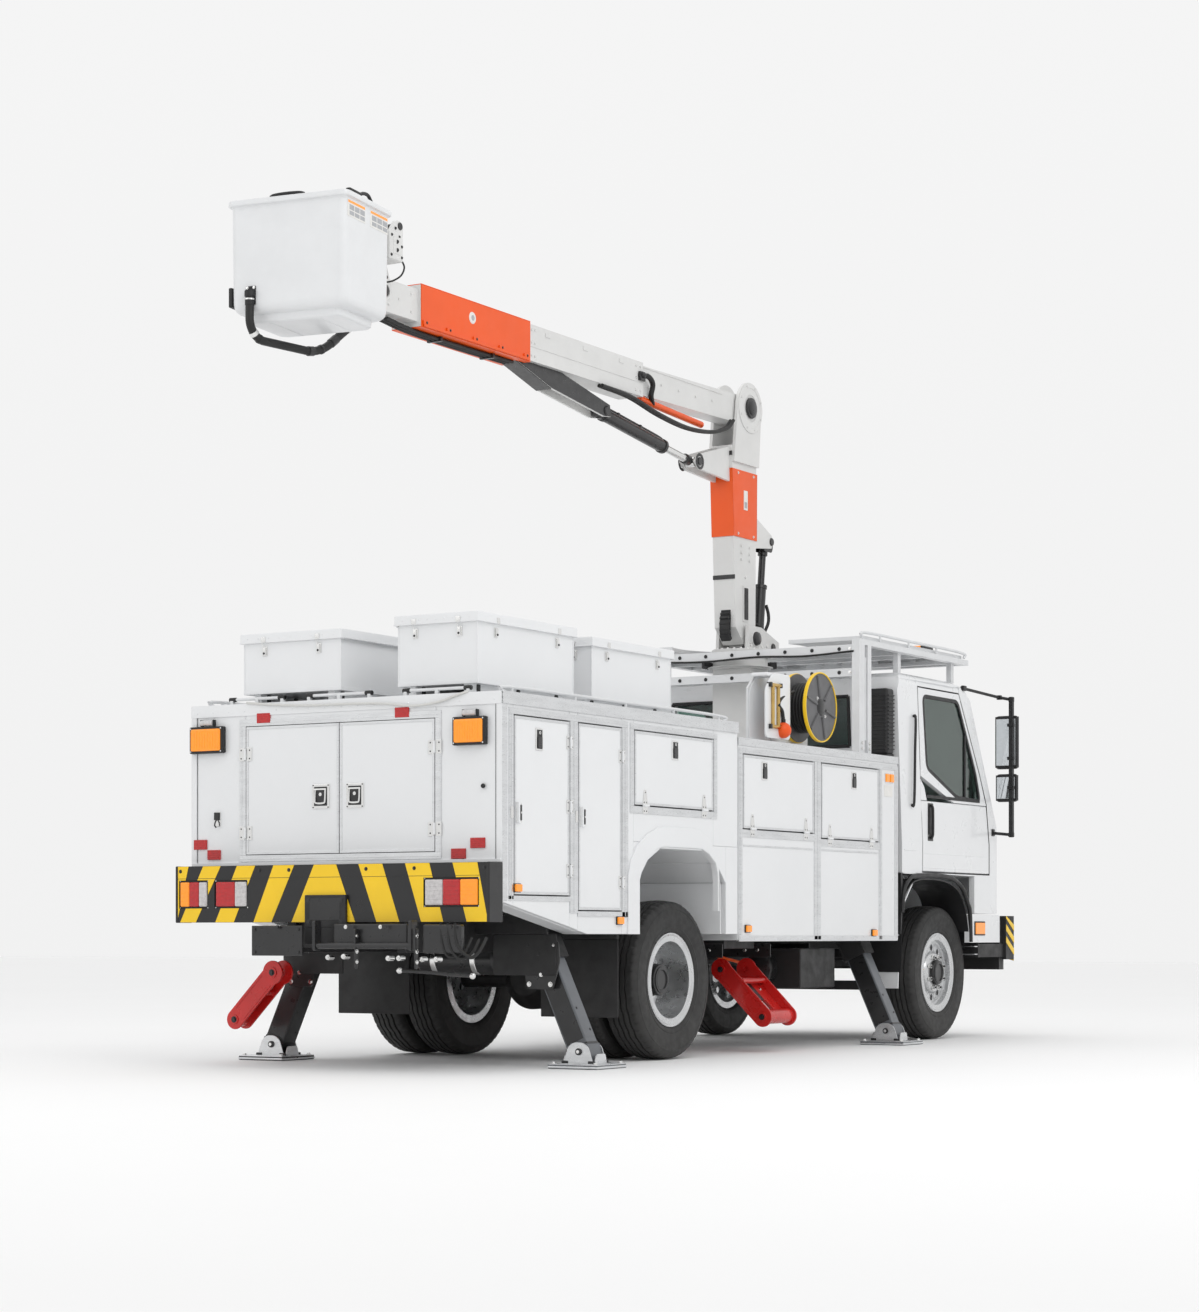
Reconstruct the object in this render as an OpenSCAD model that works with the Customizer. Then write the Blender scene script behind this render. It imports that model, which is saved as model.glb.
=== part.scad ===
/* [Truck] */
// Overall width of the service body
body_w = 2254; // [2150:1:2350]
// Wall thickness of the service body
wall_t = 35; // [30:1:40]
// Height of the cab roof above the ground
cab_roof = 2740; // [2700:1:2780]

/* [Wheels] */
// Tyre outside radius
tyre_r = 508; // [490:1:512]
// Tyre section width
tyre_w = 250; // [220:1:256]

/* [Boom] */
// Height of the elbow pin
elbow_z = 4725; // [4700:1:4750]
// Half width of the lower boom box
boom_hw = 88; // [70:1:95]

/* [Bucket] */
// Bucket rim width across the truck
bucket_w = 794; // [700:1:820]
// Bucket rim length along the boom
bucket_l = 597; // [520:1:620]
// Bucket wall thickness
bucket_t = 14; // [10:1:20]

/* [Outriggers] */
// Foot pad edge length
pad_w = 345; // [300:1:380]

/* [Hidden] */
$fn = 64;
Y = 1298.5;            // rear axle to the middle of the overall length
hw = body_w / 2;
xb = 100;            // boom centre plane
slew_y = -3030;
wheelbase = 4132;
z_ax = tyre_r;
top_z = 2185;        // roof of the rear body
low_z = 2090;        // top of the low boxes
g = 7;               // gap round doors
boom_y = -2980;      // elbow pin
base_y = -3014; base_z = 3007;
up_z = 4675;         // upper boom centre height
rot_y = 1977;        // bucket rotator axis
yaw = 8.2;
lean = 24.5;         // outrigger legs
e = 0.2;             // joint line between welded plates

white = [0.93, 0.94, 0.95]; black = [0.06, 0.06, 0.065]; orange = [1.0, 0.34, 0.05];
red = [0.80, 0.05, 0.03]; steel = [0.72, 0.73, 0.74]; greyp = [0.33, 0.36, 0.38];

// ---- helpers -------------------------------------------------------------
module bx(x0, x1, y0, y1, z0, z1)
  translate([min(x0,x1), min(y0,y1), min(z0,z1)]) cube([abs(x1-x0), abs(y1-y0), abs(z1-z0)]);
module both() { children(); mirror([1,0,0]) children(); }
// prism with its outline in the side plane (y,z), from x0 to x1
module side(x0, x1, pts)
  translate([x0,0,0]) rotate([90,0,90]) linear_extrude(x1-x0) polygon(pts);
// prism with its outline in the cross plane (x,z), from y0 to y1
module cross(y0, y1, pts)
  translate([0,y1,0]) rotate([90,0,0]) linear_extrude(y1-y0) polygon(pts);
module cyx(x0, x1, y, z, r) translate([x0,y,z]) rotate([0,90,0]) cylinder(h=x1-x0, r=r);
module cyy(y0, y1, x, z, r) translate([x,y1,z]) rotate([90,0,0]) cylinder(h=y1-y0, r=r);
module cyz(z0, z1, x, y, r) translate([x,y,z0]) cylinder(h=z1-z0, r=r);
// straight round bar between two points
module bar(p, q, r) {
  d = q - p; L = norm(d);
  translate(p) rotate([0, acos(d[2]/L), atan2(d[1], d[0])]) cylinder(h=L, r=r);
}
// square bar in the side plane from (y,z) p to q, height h, from x0 to x1
module beam(x0, x1, p, q, h, ext=0) {
  a = atan2(q[1]-p[1], q[0]-p[0]); L = norm(q-p);
  translate([0,p[0],p[1]]) rotate([a,0,0]) translate([x0,-ext,-h/2]) cube([x1-x0, L+2*ext, h]);
}
module place() translate([0, Y, 0]) children();

// ---- chassis -------------------------------------------------------------
module chassis_frame() color(black) place() {
  both() {
    bx(370, 430, -5000, 2120, 690, 930);
    // outrigger brackets: two plates and a square sleeve with a slanted way
    for (y = [1275, -3000]) translate([0,y,0]) {
      for (a = [-110, 82+e]) bx(430+e, 940, a, a+28-e, 800, 925);
      translate([900, 0, 630]) rotate([0, -lean, 0]) {
        for (a = [-92, 78]) bx(a, a+14, -82, 82, 0, 330);
        for (a = [-82, 68]) bx(-78+e, 78-e, a, a+14, 0, 330);
      }
    }
    bx(560, 1010, 1372, 1384, 552, 800-e);
    // mud flaps behind the rear wheels
    bx(500, 1060, 735, 745, 285, 770-e);
    bx(430+e, 1060, 730, 760, 770, 800);
    // body sills
    bx(480, 560, -2870, -560, 935, 1000);
  }
  for (y = [-4950, -3300, -1900, -700, 650, 2050]) bx(-370+e, 370-e, y-35, y+35, 720, 900);
  // tow hitch
  bx(-148, 148, 2090, 2330, 740, 840-e);
  bx(-148, 148, 2306, 2330, 840, 1030);
  // support arm brackets
  bx(-760, -430-e, -1620, -1180, 701, 755);
  bx(430+e, 1000, 1480, 1640, 690, 760);
}
module powertrain() color([0.2,0.2,0.21]) place() {
  bx(-330, 330, -4850, -3900, 620, 1120);
  bx(-210, 210, -3890, -3345, 560, 855);
  bar([0,-3340,650], [0,-330,560], 45);
  // fuel tank and battery box
  bx(500, 900, -2500, -1700, 380, 700);
  bx(-900, -500, -2600, -2050, 420, 700);
}
module axles() color(black) place() {
  // rear axle with its differential
  both() cyx(200+e, 560, 0, z_ax, 60);
  translate([0,0,z_ax]) rotate([90,0,0]) rotate_extrude() polygon([[0,-150],[110,-150],[200,-60],[200,60],[110,150],[0,150]]);
  // front axle: dropped beam between the two king pins
  bx(-600+e, 600-e, -4182, -4082, 370, 440);
  both() {
    bx(600, 672, -4172, -4092, 370, 640);
    // leaf springs
    side(436, 468, [[-750,640],[-400,585],[-50-e,569],[-50-e,624],[-400,640],[-750,690]]);
    side(436, 468, [[-50,569],[300,585],[650,640],[650,690],[300,640],[-50,624]]);
    bx(360, 440, -4900, -3420, 560, 600);
    bx(370, 430, -4860, -4800, 600+e, 690-e);
    bx(370, 430, -3500, -3440, 600+e, 690-e);
    bx(370, 430, -4190, -4070, 440+e, 560-e);
  }
}

// ---- cab -----------------------------------------------------------------
cab_o = [[-3310,1255],[-3310,1440],[-3225,2600],[-3270,2700],[-3400,cab_roof],[-4250,cab_roof],
         [-4420,2700],[-4560,2600],[-5080,1640],[-5150,1420],[-5180,1000],[-5150,960],[-4640,960],[-4640,1250]];
cab_i = [[-3355,1300],[-3355,1440],[-3272,2590],[-3310,2660],[-3410,cab_roof-45],[-4240,cab_roof-45],
         [-4400,2660],[-4515,2580],[-5030,1625],[-5105,1410],[-5125,1300]];
door_o = [[-3675,1270],[-3680,1480],[-3630,2085],[-3585,2640],[-4330,2640],[-4740,2030],[-4868,1810],[-4925,1500],[-4925,1270]];
door_i = [[-3668,1263],[-3673,1480],[-3623,2085],[-3577,2648],[-4335,2648],[-4747,2034],[-4875,1812],[-4932,1500],[-4932,1263]];
win = [[-3745,2050],[-3675,2580],[-4310,2580],[-4655,2040],[-4740,1835],[-4300,1850]];
// rounded rectangle outline
module rrect(x0, x1, y0, y1, r) {
  translate([x0+r,y0]) square([x1-x0-2*r, y1-y0]);
  translate([x0,y0+r]) square([x1-x0, y1-y0-2*r]);
  for (x = [x0+r, x1-r], y = [y0+r, y1-r]) translate([x,y]) circle(r=r);
}
module cab_round() intersection() {
  side(-1100, 1100, cab_o);
  translate([0,0,500]) linear_extrude(2500) rrect(-1100, 1100, -5180, -3100, 120);
  translate([0,-3000,0]) rotate([90,0,0]) linear_extrude(2500) rrect(-1100, 1100, 300, cab_roof, 95);
}
module cab_shell() color(white) place() difference() {
  cab_round();
  side(-1055, 1055, cab_i);
  side(-1055, 1055, [[-5120,900],[-5140,1245],[-4600,1245],[-4600,900]]);
  // door openings through both sides
  side(-1200, -1040, door_i);
  side(1040, 1200, door_i);
  // windscreen opening
  side(-960, 960, [[-4590,2470],[-5030,1660],[-5300,1660],[-5000,2600],[-4640,2640]]);
  // rear window
  bx(-690, 780, -3400, -3200, 2200, 2560);
  // wheel arches
  both() side(800, 1200, [[-4530,700],[-4520,1000],[-4380,1160],[-4100,1235],[-3800,1240],[-3300,1240],[-3300,700]]);
}
module cab_glass() color([0.35,0.55,0.5,0.5]) place() {
  side(-950, 950, [[-4603,2464],[-5037,1668],[-5043,1671],[-4609,2467]]);
  side(-680, 770, [[-3300,2208],[-3276,2552],[-3271,2552],[-3295,2208]]);
}
module cab_door(s) color(white) place() {
  x0 = s > 0 ? 1060 : -1102; x1 = s > 0 ? 1102 : -1060;
  difference() {
    side(x0, x1, door_o);
    side(x0-10, x1+10, win);
  }
  // glass pane
  side(s > 0 ? 1078 : -1084, s > 0 ? 1084 : -1078, win);
  // pull handle
  bx(s*1100, s*1125, -3825, -3795, 1530, 1750);
}
module cab_interior() color([0.22,0.22,0.23]) place() {
  for (x = [-620, 130]) {
    bx(x, x+490, -4150, -3650, 1330, 1560);
    bx(x+10, x+480, -3640, -3500, 1560, 2200);
    bx(x+30, x+460, -3640, -3470, 1330, 1545);
  }
  bx(-1000, 1000, -4960, -4700, 1301, 1640);
  // steering wheel and column
  bar([-375,-4690,1600], [-375,-4440,1790], 30);
  translate([-375,-4430,1798]) rotate([-53,0,0]) rotate_extrude() translate([190,0]) circle(r=14, $fn=24);
  translate([-375,-4430,1798]) rotate([-53,0,0]) cube([370,40,14], center=true);
}
module mirrors() color(black) place() both() {
  bar([1075,-4440,2700], [1165,-4978,2660], 12, $fn = 8);
  bx(1149, 1181, -4994, -4962, 2643, 2677);
  bar([1165,-4978,2660], [1262,-4990,2640], 12, $fn = 8);
  bx(1246, 1278, -5006, -4974, 1563, 2657);
  bar([1262,-4990,1580], [1060,-5000,1600], 12, $fn = 8);
  bx(1120, 1300, -5052, -5004, 2110, 2510);
  bx(1125, 1295, -5052, -5004, 1850, 2050);
  for (z = [2440, 2180, 1950]) bx(1236, 1288, -5020, -4965, z-12, z+12);
}
module front_bumper() color(black) place() {
  translate([0,0,520]) linear_extrude(420) difference() { rrect(-1090, 1090, -5330, -4900, 110); translate([-1100,-5150]) square([2200,400]); }
  both() bx(1000, 1105, -5330, -4700, 620, 725);
  // striped corner guards
  both() bx(1070, 1125, -5370, -5210, 600, 945);
  both() bx(380, 420, -5150, -5001, 720, 900);
}
module fenders() color(white) place() both() {
  // white corner panel behind the bumper, with the step
  bx(1060, 1100, -5140, -4540, 735, 952);
  // rear cab quarter panel under the door line
  bx(1080, 1102, -3560, -3330, 1248, 1254);
  // mud guard behind the front wheel
  side(760, 1070, [[-3560,1190],[-3330,960+e],[-3340,955+e],[-3570,1180]]);
  side(760, 1070, [[-3330,960],[-3300,400],[-3310,400],[-3340,955]]);
  // fixings to the frame
  bx(430, 770, -3420, -3320, 930, 960);
  bx(430, 1060, -5120, -5060, 870, 900);
}

// ---- service body --------------------------------------------------------
// right-hand wall openings of the high section: [y0, y1, z0, z1]
d1 = [1431, 2036, 1030, 2058];
d2 = [822, 1326, 945, 2058];
d3 = [-349, 661, 1600, 2055];
d4 = [-1798, -763, 1500, 1985];
d5 = [-2842, -1918, 1470, 1985];
module hole(d) bx(hw-60, hw+20, d[0]-g, d[1]+g, d[2]-g, d[3]+g);
module side_wall() {
  x0 = hw-wall_t;
  // rear post with the rising corner, posts between the doors
  side(x0, hw, [[d1[1]+g,963],[2160,985],[2160,top_z-30-e],[d1[1]+g,top_z-30-e]]);
  side(x0, hw, [[d2[1]+g,824],[d1[0]-g,843],[d1[0]-g,top_z-30-e],[d2[1]+g,top_z-30-e]]);
  bx(x0, hw, d3[1]+g, d2[0]-g, 800, top_z-30-e);
  bx(x0, hw, -690, d3[0]-g-e, 1371, top_z-30-e);
  bx(x0, hw, -690, -530, 800, 1371-e);
  // rails over the doors
  bx(x0, hw, d1[0]-g+e, d1[1]+g-e, d1[3]+g, top_z-30-e);
  bx(x0, hw, d2[0]-g+e, d2[1]+g-e, d2[3]+g, top_z-30-e);
  bx(x0, hw, d3[0]-g, d3[1]+g-e, d3[3]+g, top_z-30-e);
  // sills under the doors
  side(x0, hw, [[d1[0]-g+e,843],[d1[1]+g-e,963],[d1[1]+g-e,d1[2]-g],[d1[0]-g+e,d1[2]-g]]);
  side(x0, hw, [[d2[0]-g+e,800],[1220,800],[d2[1]+g-e,822],[d2[1]+g-e,d2[2]-g],[d2[0]-g+e,d2[2]-g]]);
  // panel over the arch and its two corners
  bx(x0, hw, d3[0]-g, d3[1]+g-e, 1371, d3[2]-g);
  side(x0, hw, [[-530+e,1130],[-400,1260],[-240,1331],[-240,1371-e],[-530+e,1371-e]]);
  side(x0, hw, [[340,1331],[490,1260],[610-e,1130],[d3[1]+g-e,1130],[d3[1]+g-e,1371-e],[340,1371-e]]);
  bx(x0, hw, -240+e, 340-e, 1336, 1371-e);
  side(x0, hw, [[600,800],[d3[1]+g-e,800],[d3[1]+g-e,1130-e],[600,1130-e]]);
}
module service_body() color(white) place() {
  bx(-hw, hw, -690, 2160, top_z-30, top_z);
  both() {
    side_wall();
    // wheel wells
    bx(465+e, hw-wall_t-e, -240+e, 340-e, 1336, 1356);
    side(465+e, hw-wall_t-e, [[-400+e,1262],[-240,1336],[-240,1356],[-415,1277]]);
    side(465+e, hw-wall_t-e, [[340,1336],[490,1262],[505,1277],[340,1356]]);
    side(465+e, hw-wall_t-e, [[-520,1135],[-400,1261-e],[-415,1276-e],[-540,1141]]);
    side(465+e, hw-wall_t-e, [[490+e,1261-e],[600,1135],[620,1141],[505+e,1276-e]]);
    bx(465+e, hw-wall_t-e, -540, -520, 800, 1135-e);
    bx(465+e, hw-wall_t-e, 600, 620, 830, 1135-e);
    bx(445, 465, -655+e, 637-e, 940, 1370);
    // low compartments behind the rear wheels
    bx(hw-190, hw-172, 640, 2125-e, 935, 1160);
    side(hw-172+e, hw-wall_t-e, [[640,800],[1220,800],[1220,830],[640,830]]);
    side(hw-172+e, hw-wall_t-e, [[1220+e,800],[2125-e,977],[2125-e,1007],[1220+e,830]]);
  }
  // front wall, rear frame
  bx(-hw+wall_t+e, hw-wall_t-e, -690, -655, 1130, top_z-30-e);
  bx(715, hw-wall_t-e, 2125, 2160, 1130, top_z-30-e);
  bx(-hw+wall_t+e, -672, 2125, 2160, 1130, top_z-30-e);
  bx(-672+e, 715-e, 2125, 2160, 2057, top_z-30-e);
  bx(-672+e, 715-e, 2125, 2160, 1130, 1273);
  both() side(hw-172+e, hw-wall_t-e, [[2125,978],[2160,985],[2160,1130-e],[2125,1130-e]]);
  // floor
  bx(-445+e, 445-e, -655+e, 637-e, 1130, 1160);
  bx(-(hw-190)+e, hw-190-e, 637+1, 2125-e, 1130, 1160);
}
module side_boxes() color(white) place() {
  // deck floor between the boxes
  bx(-(hw-520), hw-520, -2850, -700, 1003, 1020);
  both() side_box();
}
module side_box() difference() {
  bx(hw-520, hw, -3170, -700, 760, low_z);
  bx(hw-495, hw-wall_t, -2860, -730, 790, low_z-25);
  hole(d4); hole(d5);
  // way for the front leg
  bx(hw-600, 950, -3125, -2880, 700, 1220);
}
module panel_x(d, s) {
  x0 = s > 0 ? hw-30 : -hw-3; x1 = s > 0 ? hw+3 : -hw+30;
  bx(x0, x1, d[0], d[1], d[2], d[3]);
}
module door1(s) color(white) place() {
  panel_x(d1, s);
  bx(s*hw, s*(hw+22), 1990, 2015, 1440, 1560);
  for (z = [1140, 1520, 1900]) cyz(z, z+70, s*(hw+14), 1431-g/2, 8);
}
module door2(s) color(white) place() {
  panel_x(d2, s);
  bx(s*hw, s*(hw+22), 1280, 1305, 1440, 1560);
  for (z = [1080, 1850]) cyz(z, z+70, s*(hw+14), 822-g/2, 8);
}
module drop(d, s) color(white) place() {
  panel_x(d, s);
  for (y = [d[0]+90, d[1]-160]) cyy(y, y+70, s*(hw+14), d[2]-g/2, 8);
}
module rear_door(s) color(white) place() {
  if (s > 0) { bx(18, 708, 2130, 2163, 1280, 2050); for (z=[1375,1850]) cyz(z, z+70, 708+g/2, 2174, 8); }
  else { bx(-665, 12, 2130, 2163, 1280, 2050); for (z=[1375,1850]) cyz(z, z+70, -665-g/2, 2174, 8); }
}

// ---- roof boxes ----------------------------------------------------------
// [x0, x1, y0, y1, top]
b1 = [-900, -345, 1010, 2070, 2640];
b2 = [60, 780, 1350, 2090, 2590];
b3 = [-880, -330, -230, 760, 2610];
module rbox(b) difference() {
  union() {
    bx(b[0], b[1], b[2], b[3], 2255, b[4]);
    for (x=[b[0]+60, b[1]-110]) bx(x, x+50, b[2]+20, b[3]-20, top_z, 2256);
  }
  bx(b[0]+15, b[1]-15, b[2]+15, b[3]-15, 2270, b[4]+10);
}
module roof_boxes() color(white) place() { rbox(b1); rbox(b2); rbox(b3); }
module lid(b) color(white) place() difference() {
  bx(b[0]-20, b[1]+20, b[2]-20, b[3]+20, b[4]-30, b[4]+28);
  bx(b[0]-8, b[1]+8, b[2]-8, b[3]+8, b[4]-40, b[4]+8);
}

// ---- rack, reel, pedestal --------------------------------------------------
module rack() color(steel) place() {
  difference() {
    union() {
      for (z = [2660, 2830]) bx(-1040, 1040, -2780, -2710, z, z+60);
      both() {
        bx(985, 1045, -2790, -2700, low_z, 2910);
        bx(985, 1045, -2900, -2840, low_z, 2910);
        bx(985, 1045, -4650, -2700, 2890, 2930);
        bx(960, 1000, -4470, -4420, cab_roof, 2895);
        bx(960, 1000, -3500, -3450, cab_roof, 2895);
      }
      bx(-1045, 1045, -4650, -4600, 2890, 2930);
      // platform deck
      difference() {
        bx(-1000, 1000, -4620, -2860, 2935, 2965);
        translate([xb, slew_y, 2900]) cylinder(h=100, r=520);
      }
      for (y = [-4440, -3900, -3600]) bx(-1040, 1040, y-20, y+20, 2890, 2936);
    }
    for (x = [-920:160:960], y = [-4540:170:-3600]) bx(x-60, x+60, y-62, y+62, 2920, 2980);
  }
  // reel bracket on the right low box
  bx(-860, -780, -1760, -1340, low_z, 2120);
  difference() {
    side(-860, -845, [[-2240,2120],[-1340,2120],[-1340,2480],[-1460,2590],[-1750,2590],[-1840,2420],[-2240,2420]]);
  }
  cyx(-1075, -850, -2030, 2385, 22);
}
module hose_reel() color([0.3,0.3,0.3]) place() difference() {
  union() {
    cyx(-1070, -1055, -2030, 2385, 240);
    cyx(-900, -885, -2030, 2385, 240);
    cyx(-1060, -890, -2030, 2385, 110);
  }
  cyx(-1100, -800, -2030, 2385, 22.06);
}
module pedestal() color(white) place() {
  difference() {
    bx(xb-160, xb+160, slew_y-140, slew_y+140, 1010, 2780);
    bx(xb-148, xb+148, slew_y-128, slew_y+128, 1000, 2765);
  }
  bx(-480, 480, slew_y-170, slew_y+170, 931, 1010);
  cyz(2780, 2858, xb, slew_y, 205);
}

// ---- rear bumper and lamps -------------------------------------------------
module rear_bumper() color(black) place() {
  difference() {
    bx(-1135, 1135, 2166, 2306, 870, 1210);
    // inner relief
    bx(-1110, 1110, 2150, 2286, 890, 1190);
    for (o = [[888,1131-20],[586,839],[-1066,-684]]) bx(o[0], o[1], 2270, 2320, 955, 1125);
  }
  both() bx(380, 440, 2121, 2286, 880, 925);
}
module lamps() color([1.0,0.6,0.1]) place() {
  // tail lamps in the bumper
  bx(893, 1106, 2262, 2298, 960, 1120);
  bx(591, 834, 2262, 2298, 960, 1120);
  bx(-1061, -689, 2262, 2298, 960, 1120);
  for (x = [1000, 712, -875]) bx(x-40, x+40, 2161, 2262, 1000, 1080);
  // rear indicators
  bx(874, 1112, 2161, 2215, 1900, 2054);
  bx(-1025, -816, 2161, 2215, 1894, 2042);
  // light bars on the platform
  bx(-790, -360, -4560, -4330, 2968, 3040);
  bx(290, 640, -4560, -4330, 2968, 3040);
}

// ---- wheels ----------------------------------------------------------------
module tyre() rotate([0,90,0]) rotate_extrude() polygon([
  [300,-tyre_w/2+28],[330,-tyre_w/2+8],[420,-tyre_w/2],[475,-tyre_w/2+6],[tyre_r-10,-tyre_w/2+22],[tyre_r,-tyre_w/2+40],
  [tyre_r,tyre_w/2-40],[tyre_r-10,tyre_w/2-22],[475,tyre_w/2-6],[420,tyre_w/2],[330,tyre_w/2-8],[300,tyre_w/2-28]]);
module rim2(d) rotate([0,90,0]) difference() {
  union() {
    // barrel with its two flanges
    rotate_extrude() polygon([[246,-tyre_w/2+22],[299.5,-tyre_w/2+22],[299.5,-tyre_w/2+32],[262,-tyre_w/2+44],[262,tyre_w/2-44],[299.5,tyre_w/2-32],[299.5,tyre_w/2-22],[246,tyre_w/2-22]]);
    translate([0,0,d-8]) cylinder(h=16, r=250);
    translate([0,0,d-50]) cylinder(h=90, r=95);
  }
  for (a = [0:36:359]) rotate(a) translate([190,0,d-30]) cylinder(h=60, r=24);
  // shaft bore
  translate([0,0,d-60]) cylinder(h=70, r=40.06);
}
module tyre_f(s) color(black) place() translate([s*907.5, -wheelbase, z_ax]) tyre();
module rim_f(s) color(steel) place() translate([s*907.5, -wheelbase, z_ax]) mirror([s>0?0:1,0,0]) rim2(50);
module knuckle(s) color(greyp) place() mirror([s>0?0:1,0,0]) {
  cyx(740, 967, -wheelbase, z_ax, 40);
  difference() {
    union() {
      bx(698, 745, -wheelbase-75, -wheelbase+75, 400, 620);
      cyz(640+6, 690, 715-70, -wheelbase, 42);
      cyz(320, 370-6, 715-70, -wheelbase, 42);
      bx(645, 745, -wheelbase-42, -wheelbase+42, 646, 690);
      bx(645, 745, -wheelbase-42, -wheelbase+42, 320, 364);
      bx(700, 745, -wheelbase-60, -wheelbase+60, 320, 690);
    }
  }
}
module tyres_r(s) color(black) place() for (x = [907.5, 607.5]) translate([s*x, 0, z_ax]) tyre();
module rims_r(s) color(steel) place() mirror([s>0?0:1,0,0]) {
  translate([907.5,0,z_ax]) rotate([0,90,0]) difference() {
    union() {
      rotate_extrude() polygon([[246,-103],[299.5,-103],[299.5,-93],[262,-81],[262,81],[299.5,93],[299.5,103],[246,103]]);
      translate([0,0,-118]) cylinder(h=16, r=250);
      translate([0,0,-118]) cylinder(h=150, r=100);
    }
    for (a = [0:36:359]) rotate(a) translate([190,0,-150]) cylinder(h=80, r=26);
    translate([0,0,-160]) cylinder(h=130, r=48.06);
  }
  translate([607.5,0,z_ax]) rotate([0,90,0]) difference() {
    union() {
      rotate_extrude() polygon([[246,-103],[299.5,-103],[299.5,-93],[262,-81],[262,81],[299.5,93],[299.5,103],[246,103]]);
      translate([0,0,102]) cylinder(h=16, r=250);
    }
    for (a = [0:36:359]) rotate(a) translate([190,0,60]) cylinder(h=80, r=26);
    translate([0,0,60]) cylinder(h=130, r=120);
  }
  // joins the two discs
  translate([607.5,0,z_ax]) rotate([0,90,0]) difference() { translate([0,0,117]) cylinder(h=66, r=150); translate([0,0,100]) cylinder(h=100, r=125); }
}

// ---- outriggers and arms ----------------------------------------------------
module leg(s, y, c) color(c) place() {
  translate([s*900, y, 630]) rotate([0, -s*lean, 0]) translate([-72,-62,-570]) cube([144,124,740]);
  translate([s*1160, y, 0]) {
    bx(-pad_w/2, pad_w/2, -pad_w/2, pad_w/2, 0, 26);
    translate([-s*15,0,0]) cross(-74, 74, [[-90,20],[-60,150],[60,150],[90,20]]);
  }
}
module support_arm_right() color(red) place() translate([-720,-1590,560]) rotate([0,135,0]) {
  for (y = [0, 366]) translate([0,y,0]) rotate([-90,0,0]) difference() {
    union() { cylinder(h=14, r=75); translate([0,-68,0]) cube([450,136,14]); translate([450,0,0]) cylinder(h=14, r=68); }
    translate([0,0,-5]) cylinder(h=30, r=20.06);
  }
  cyy(0, 380, 450, 0, 50);
  cyy(0, 380, 150, -40, 20);
}
module support_arm_left() color(red) place() translate([930,1500,560]) rotate([0,45,0]) {
  for (y = [0, 106]) translate([0,y,0]) rotate([-90,0,0]) difference() {
    union() { cylinder(h=14, r=75); translate([0,-62,0]) cube([420,124,14]); translate([420,0,0]) cylinder(h=14, r=62); }
    translate([0,0,-5]) cylinder(h=30, r=20.06);
  }
  cyy(0, 120, 420, 0, 46);
  cyy(0, 120, 150, -30, 18);
}

// ---- boom --------------------------------------------------------------------
module turret() color(white) place() {
  cyz(2864, 2925, xb, slew_y, 215);
  difference() {
    union() for (x = [xb-135, xb+110])
      side(x, x+25, [[slew_y+140,2920],[base_y+110,3100],[base_y-100,3100],[-3400,3010],[-3400,2930],[slew_y-140,2920]]);
    cyx(xb-300, xb+300, base_y, base_z, 30.06);
    cyx(xb-300, xb+300, -3300, 2965, 20.06);
  }
}
module lower_boom() color(white) place() {
  difference() {
    union() {
      side(xb-boom_hw, xb+boom_hw, [[-2920,2960],[-2790,3080],[-2725,4420],[-3120,4420],[-3105,3080],[-3070,2965]]);
      // head plates
      for (x = [xb-110, xb+86]) {
        side(x, x+24, [[-2730,4300],[-2790,4760],[-3160,4760],[-3125,4300]]);
        cyx(x, x+24, boom_y, elbow_z, 190);
      }
      // lug for the upper cylinder
      side(xb-70, xb-46, [[-2760,4420],[-2760,4150],[-2290,4180],[-2210,4230],[-2290,4290]]);
      side(xb+46, xb+70, [[-2760,4420],[-2760,4150],[-2290,4180],[-2210,4230],[-2290,4290]]);
      // bracket for the lift cylinder
      side(xb-70, xb-46, [[-3110,3700],[-3110,3950],[-3400,3830],[-3440,3780],[-3400,3730]]);
      side(xb+46, xb+70, [[-3110,3700],[-3110,3950],[-3400,3830],[-3440,3780],[-3400,3730]]);
    }
    // box section, open at the head
    side(xb-boom_hw+8, xb+boom_hw-8, [[-2885,3110],[-2737,4440],[-3112,4440],[-3097,3110]]);
    cyx(xb-200, xb+200, boom_y, elbow_z, 35.06);
  }
  cyx(xb-150, xb+150, base_y, base_z, 30);
}
module upper_boom() color(white) place() {
  difference() {
    union() {
  side(xb-75, xb+75, [[-3090,4780],[-2900,4810],[-1400,4780],[-1400,4575],[-2850,4600],[-3080,4640]]);
  cyx(xb-130, xb+130, boom_y, elbow_z, 35);
  bx(xb-100, xb+100, -1400, 90, 4555, 4795);
  bx(xb-106, xb+106, 90, 1350, 4545, 4802);
  bx(xb-85, xb+85, 1350, 1860, 4575, 4775);
    }
    // box section, open at the tip
    bx(xb-92, xb+92, -1392, 86, 4563, 4787);
    bx(xb-98, xb+98, 80, 1342, 4553, 4794);
    bx(xb-77, xb+77, 1340, 1870, 4583, 4767);
  }
  // cylinder bracket
  difference() {
    union() for (x=[xb-62, xb+46]) side(x, x+16, [[250,4560],[-350,4560],[-1010,4440],[-1020,4360],[-930,4350],[-250,4430]]);
  }
  cyx(xb-62, xb+62, -960, 4392, 20);
}
module bucket_bracket() color(white) place() {
  for (x = [xb-130, xb+92]) side(x, x+38, [[1700,4640],[1700,4730],[1800,4960],[1905,4960],[1905,4640]]);
  bx(xb-130, xb+130, 1868, 1905, 4790, 4960);
  bx(xb-75, xb+75, 1800, 1905, 4900, 5090);
  bx(xb-52, xb+52, 1900, rot_y, 4832, 5058);
  cyz(4832, 5058, xb, rot_y, 60);
  cyx(xb-92, xb-86, 1760, 4680, 40);
  cyx(xb+86, xb+92, 1760, 4680, 40);
}
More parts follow.
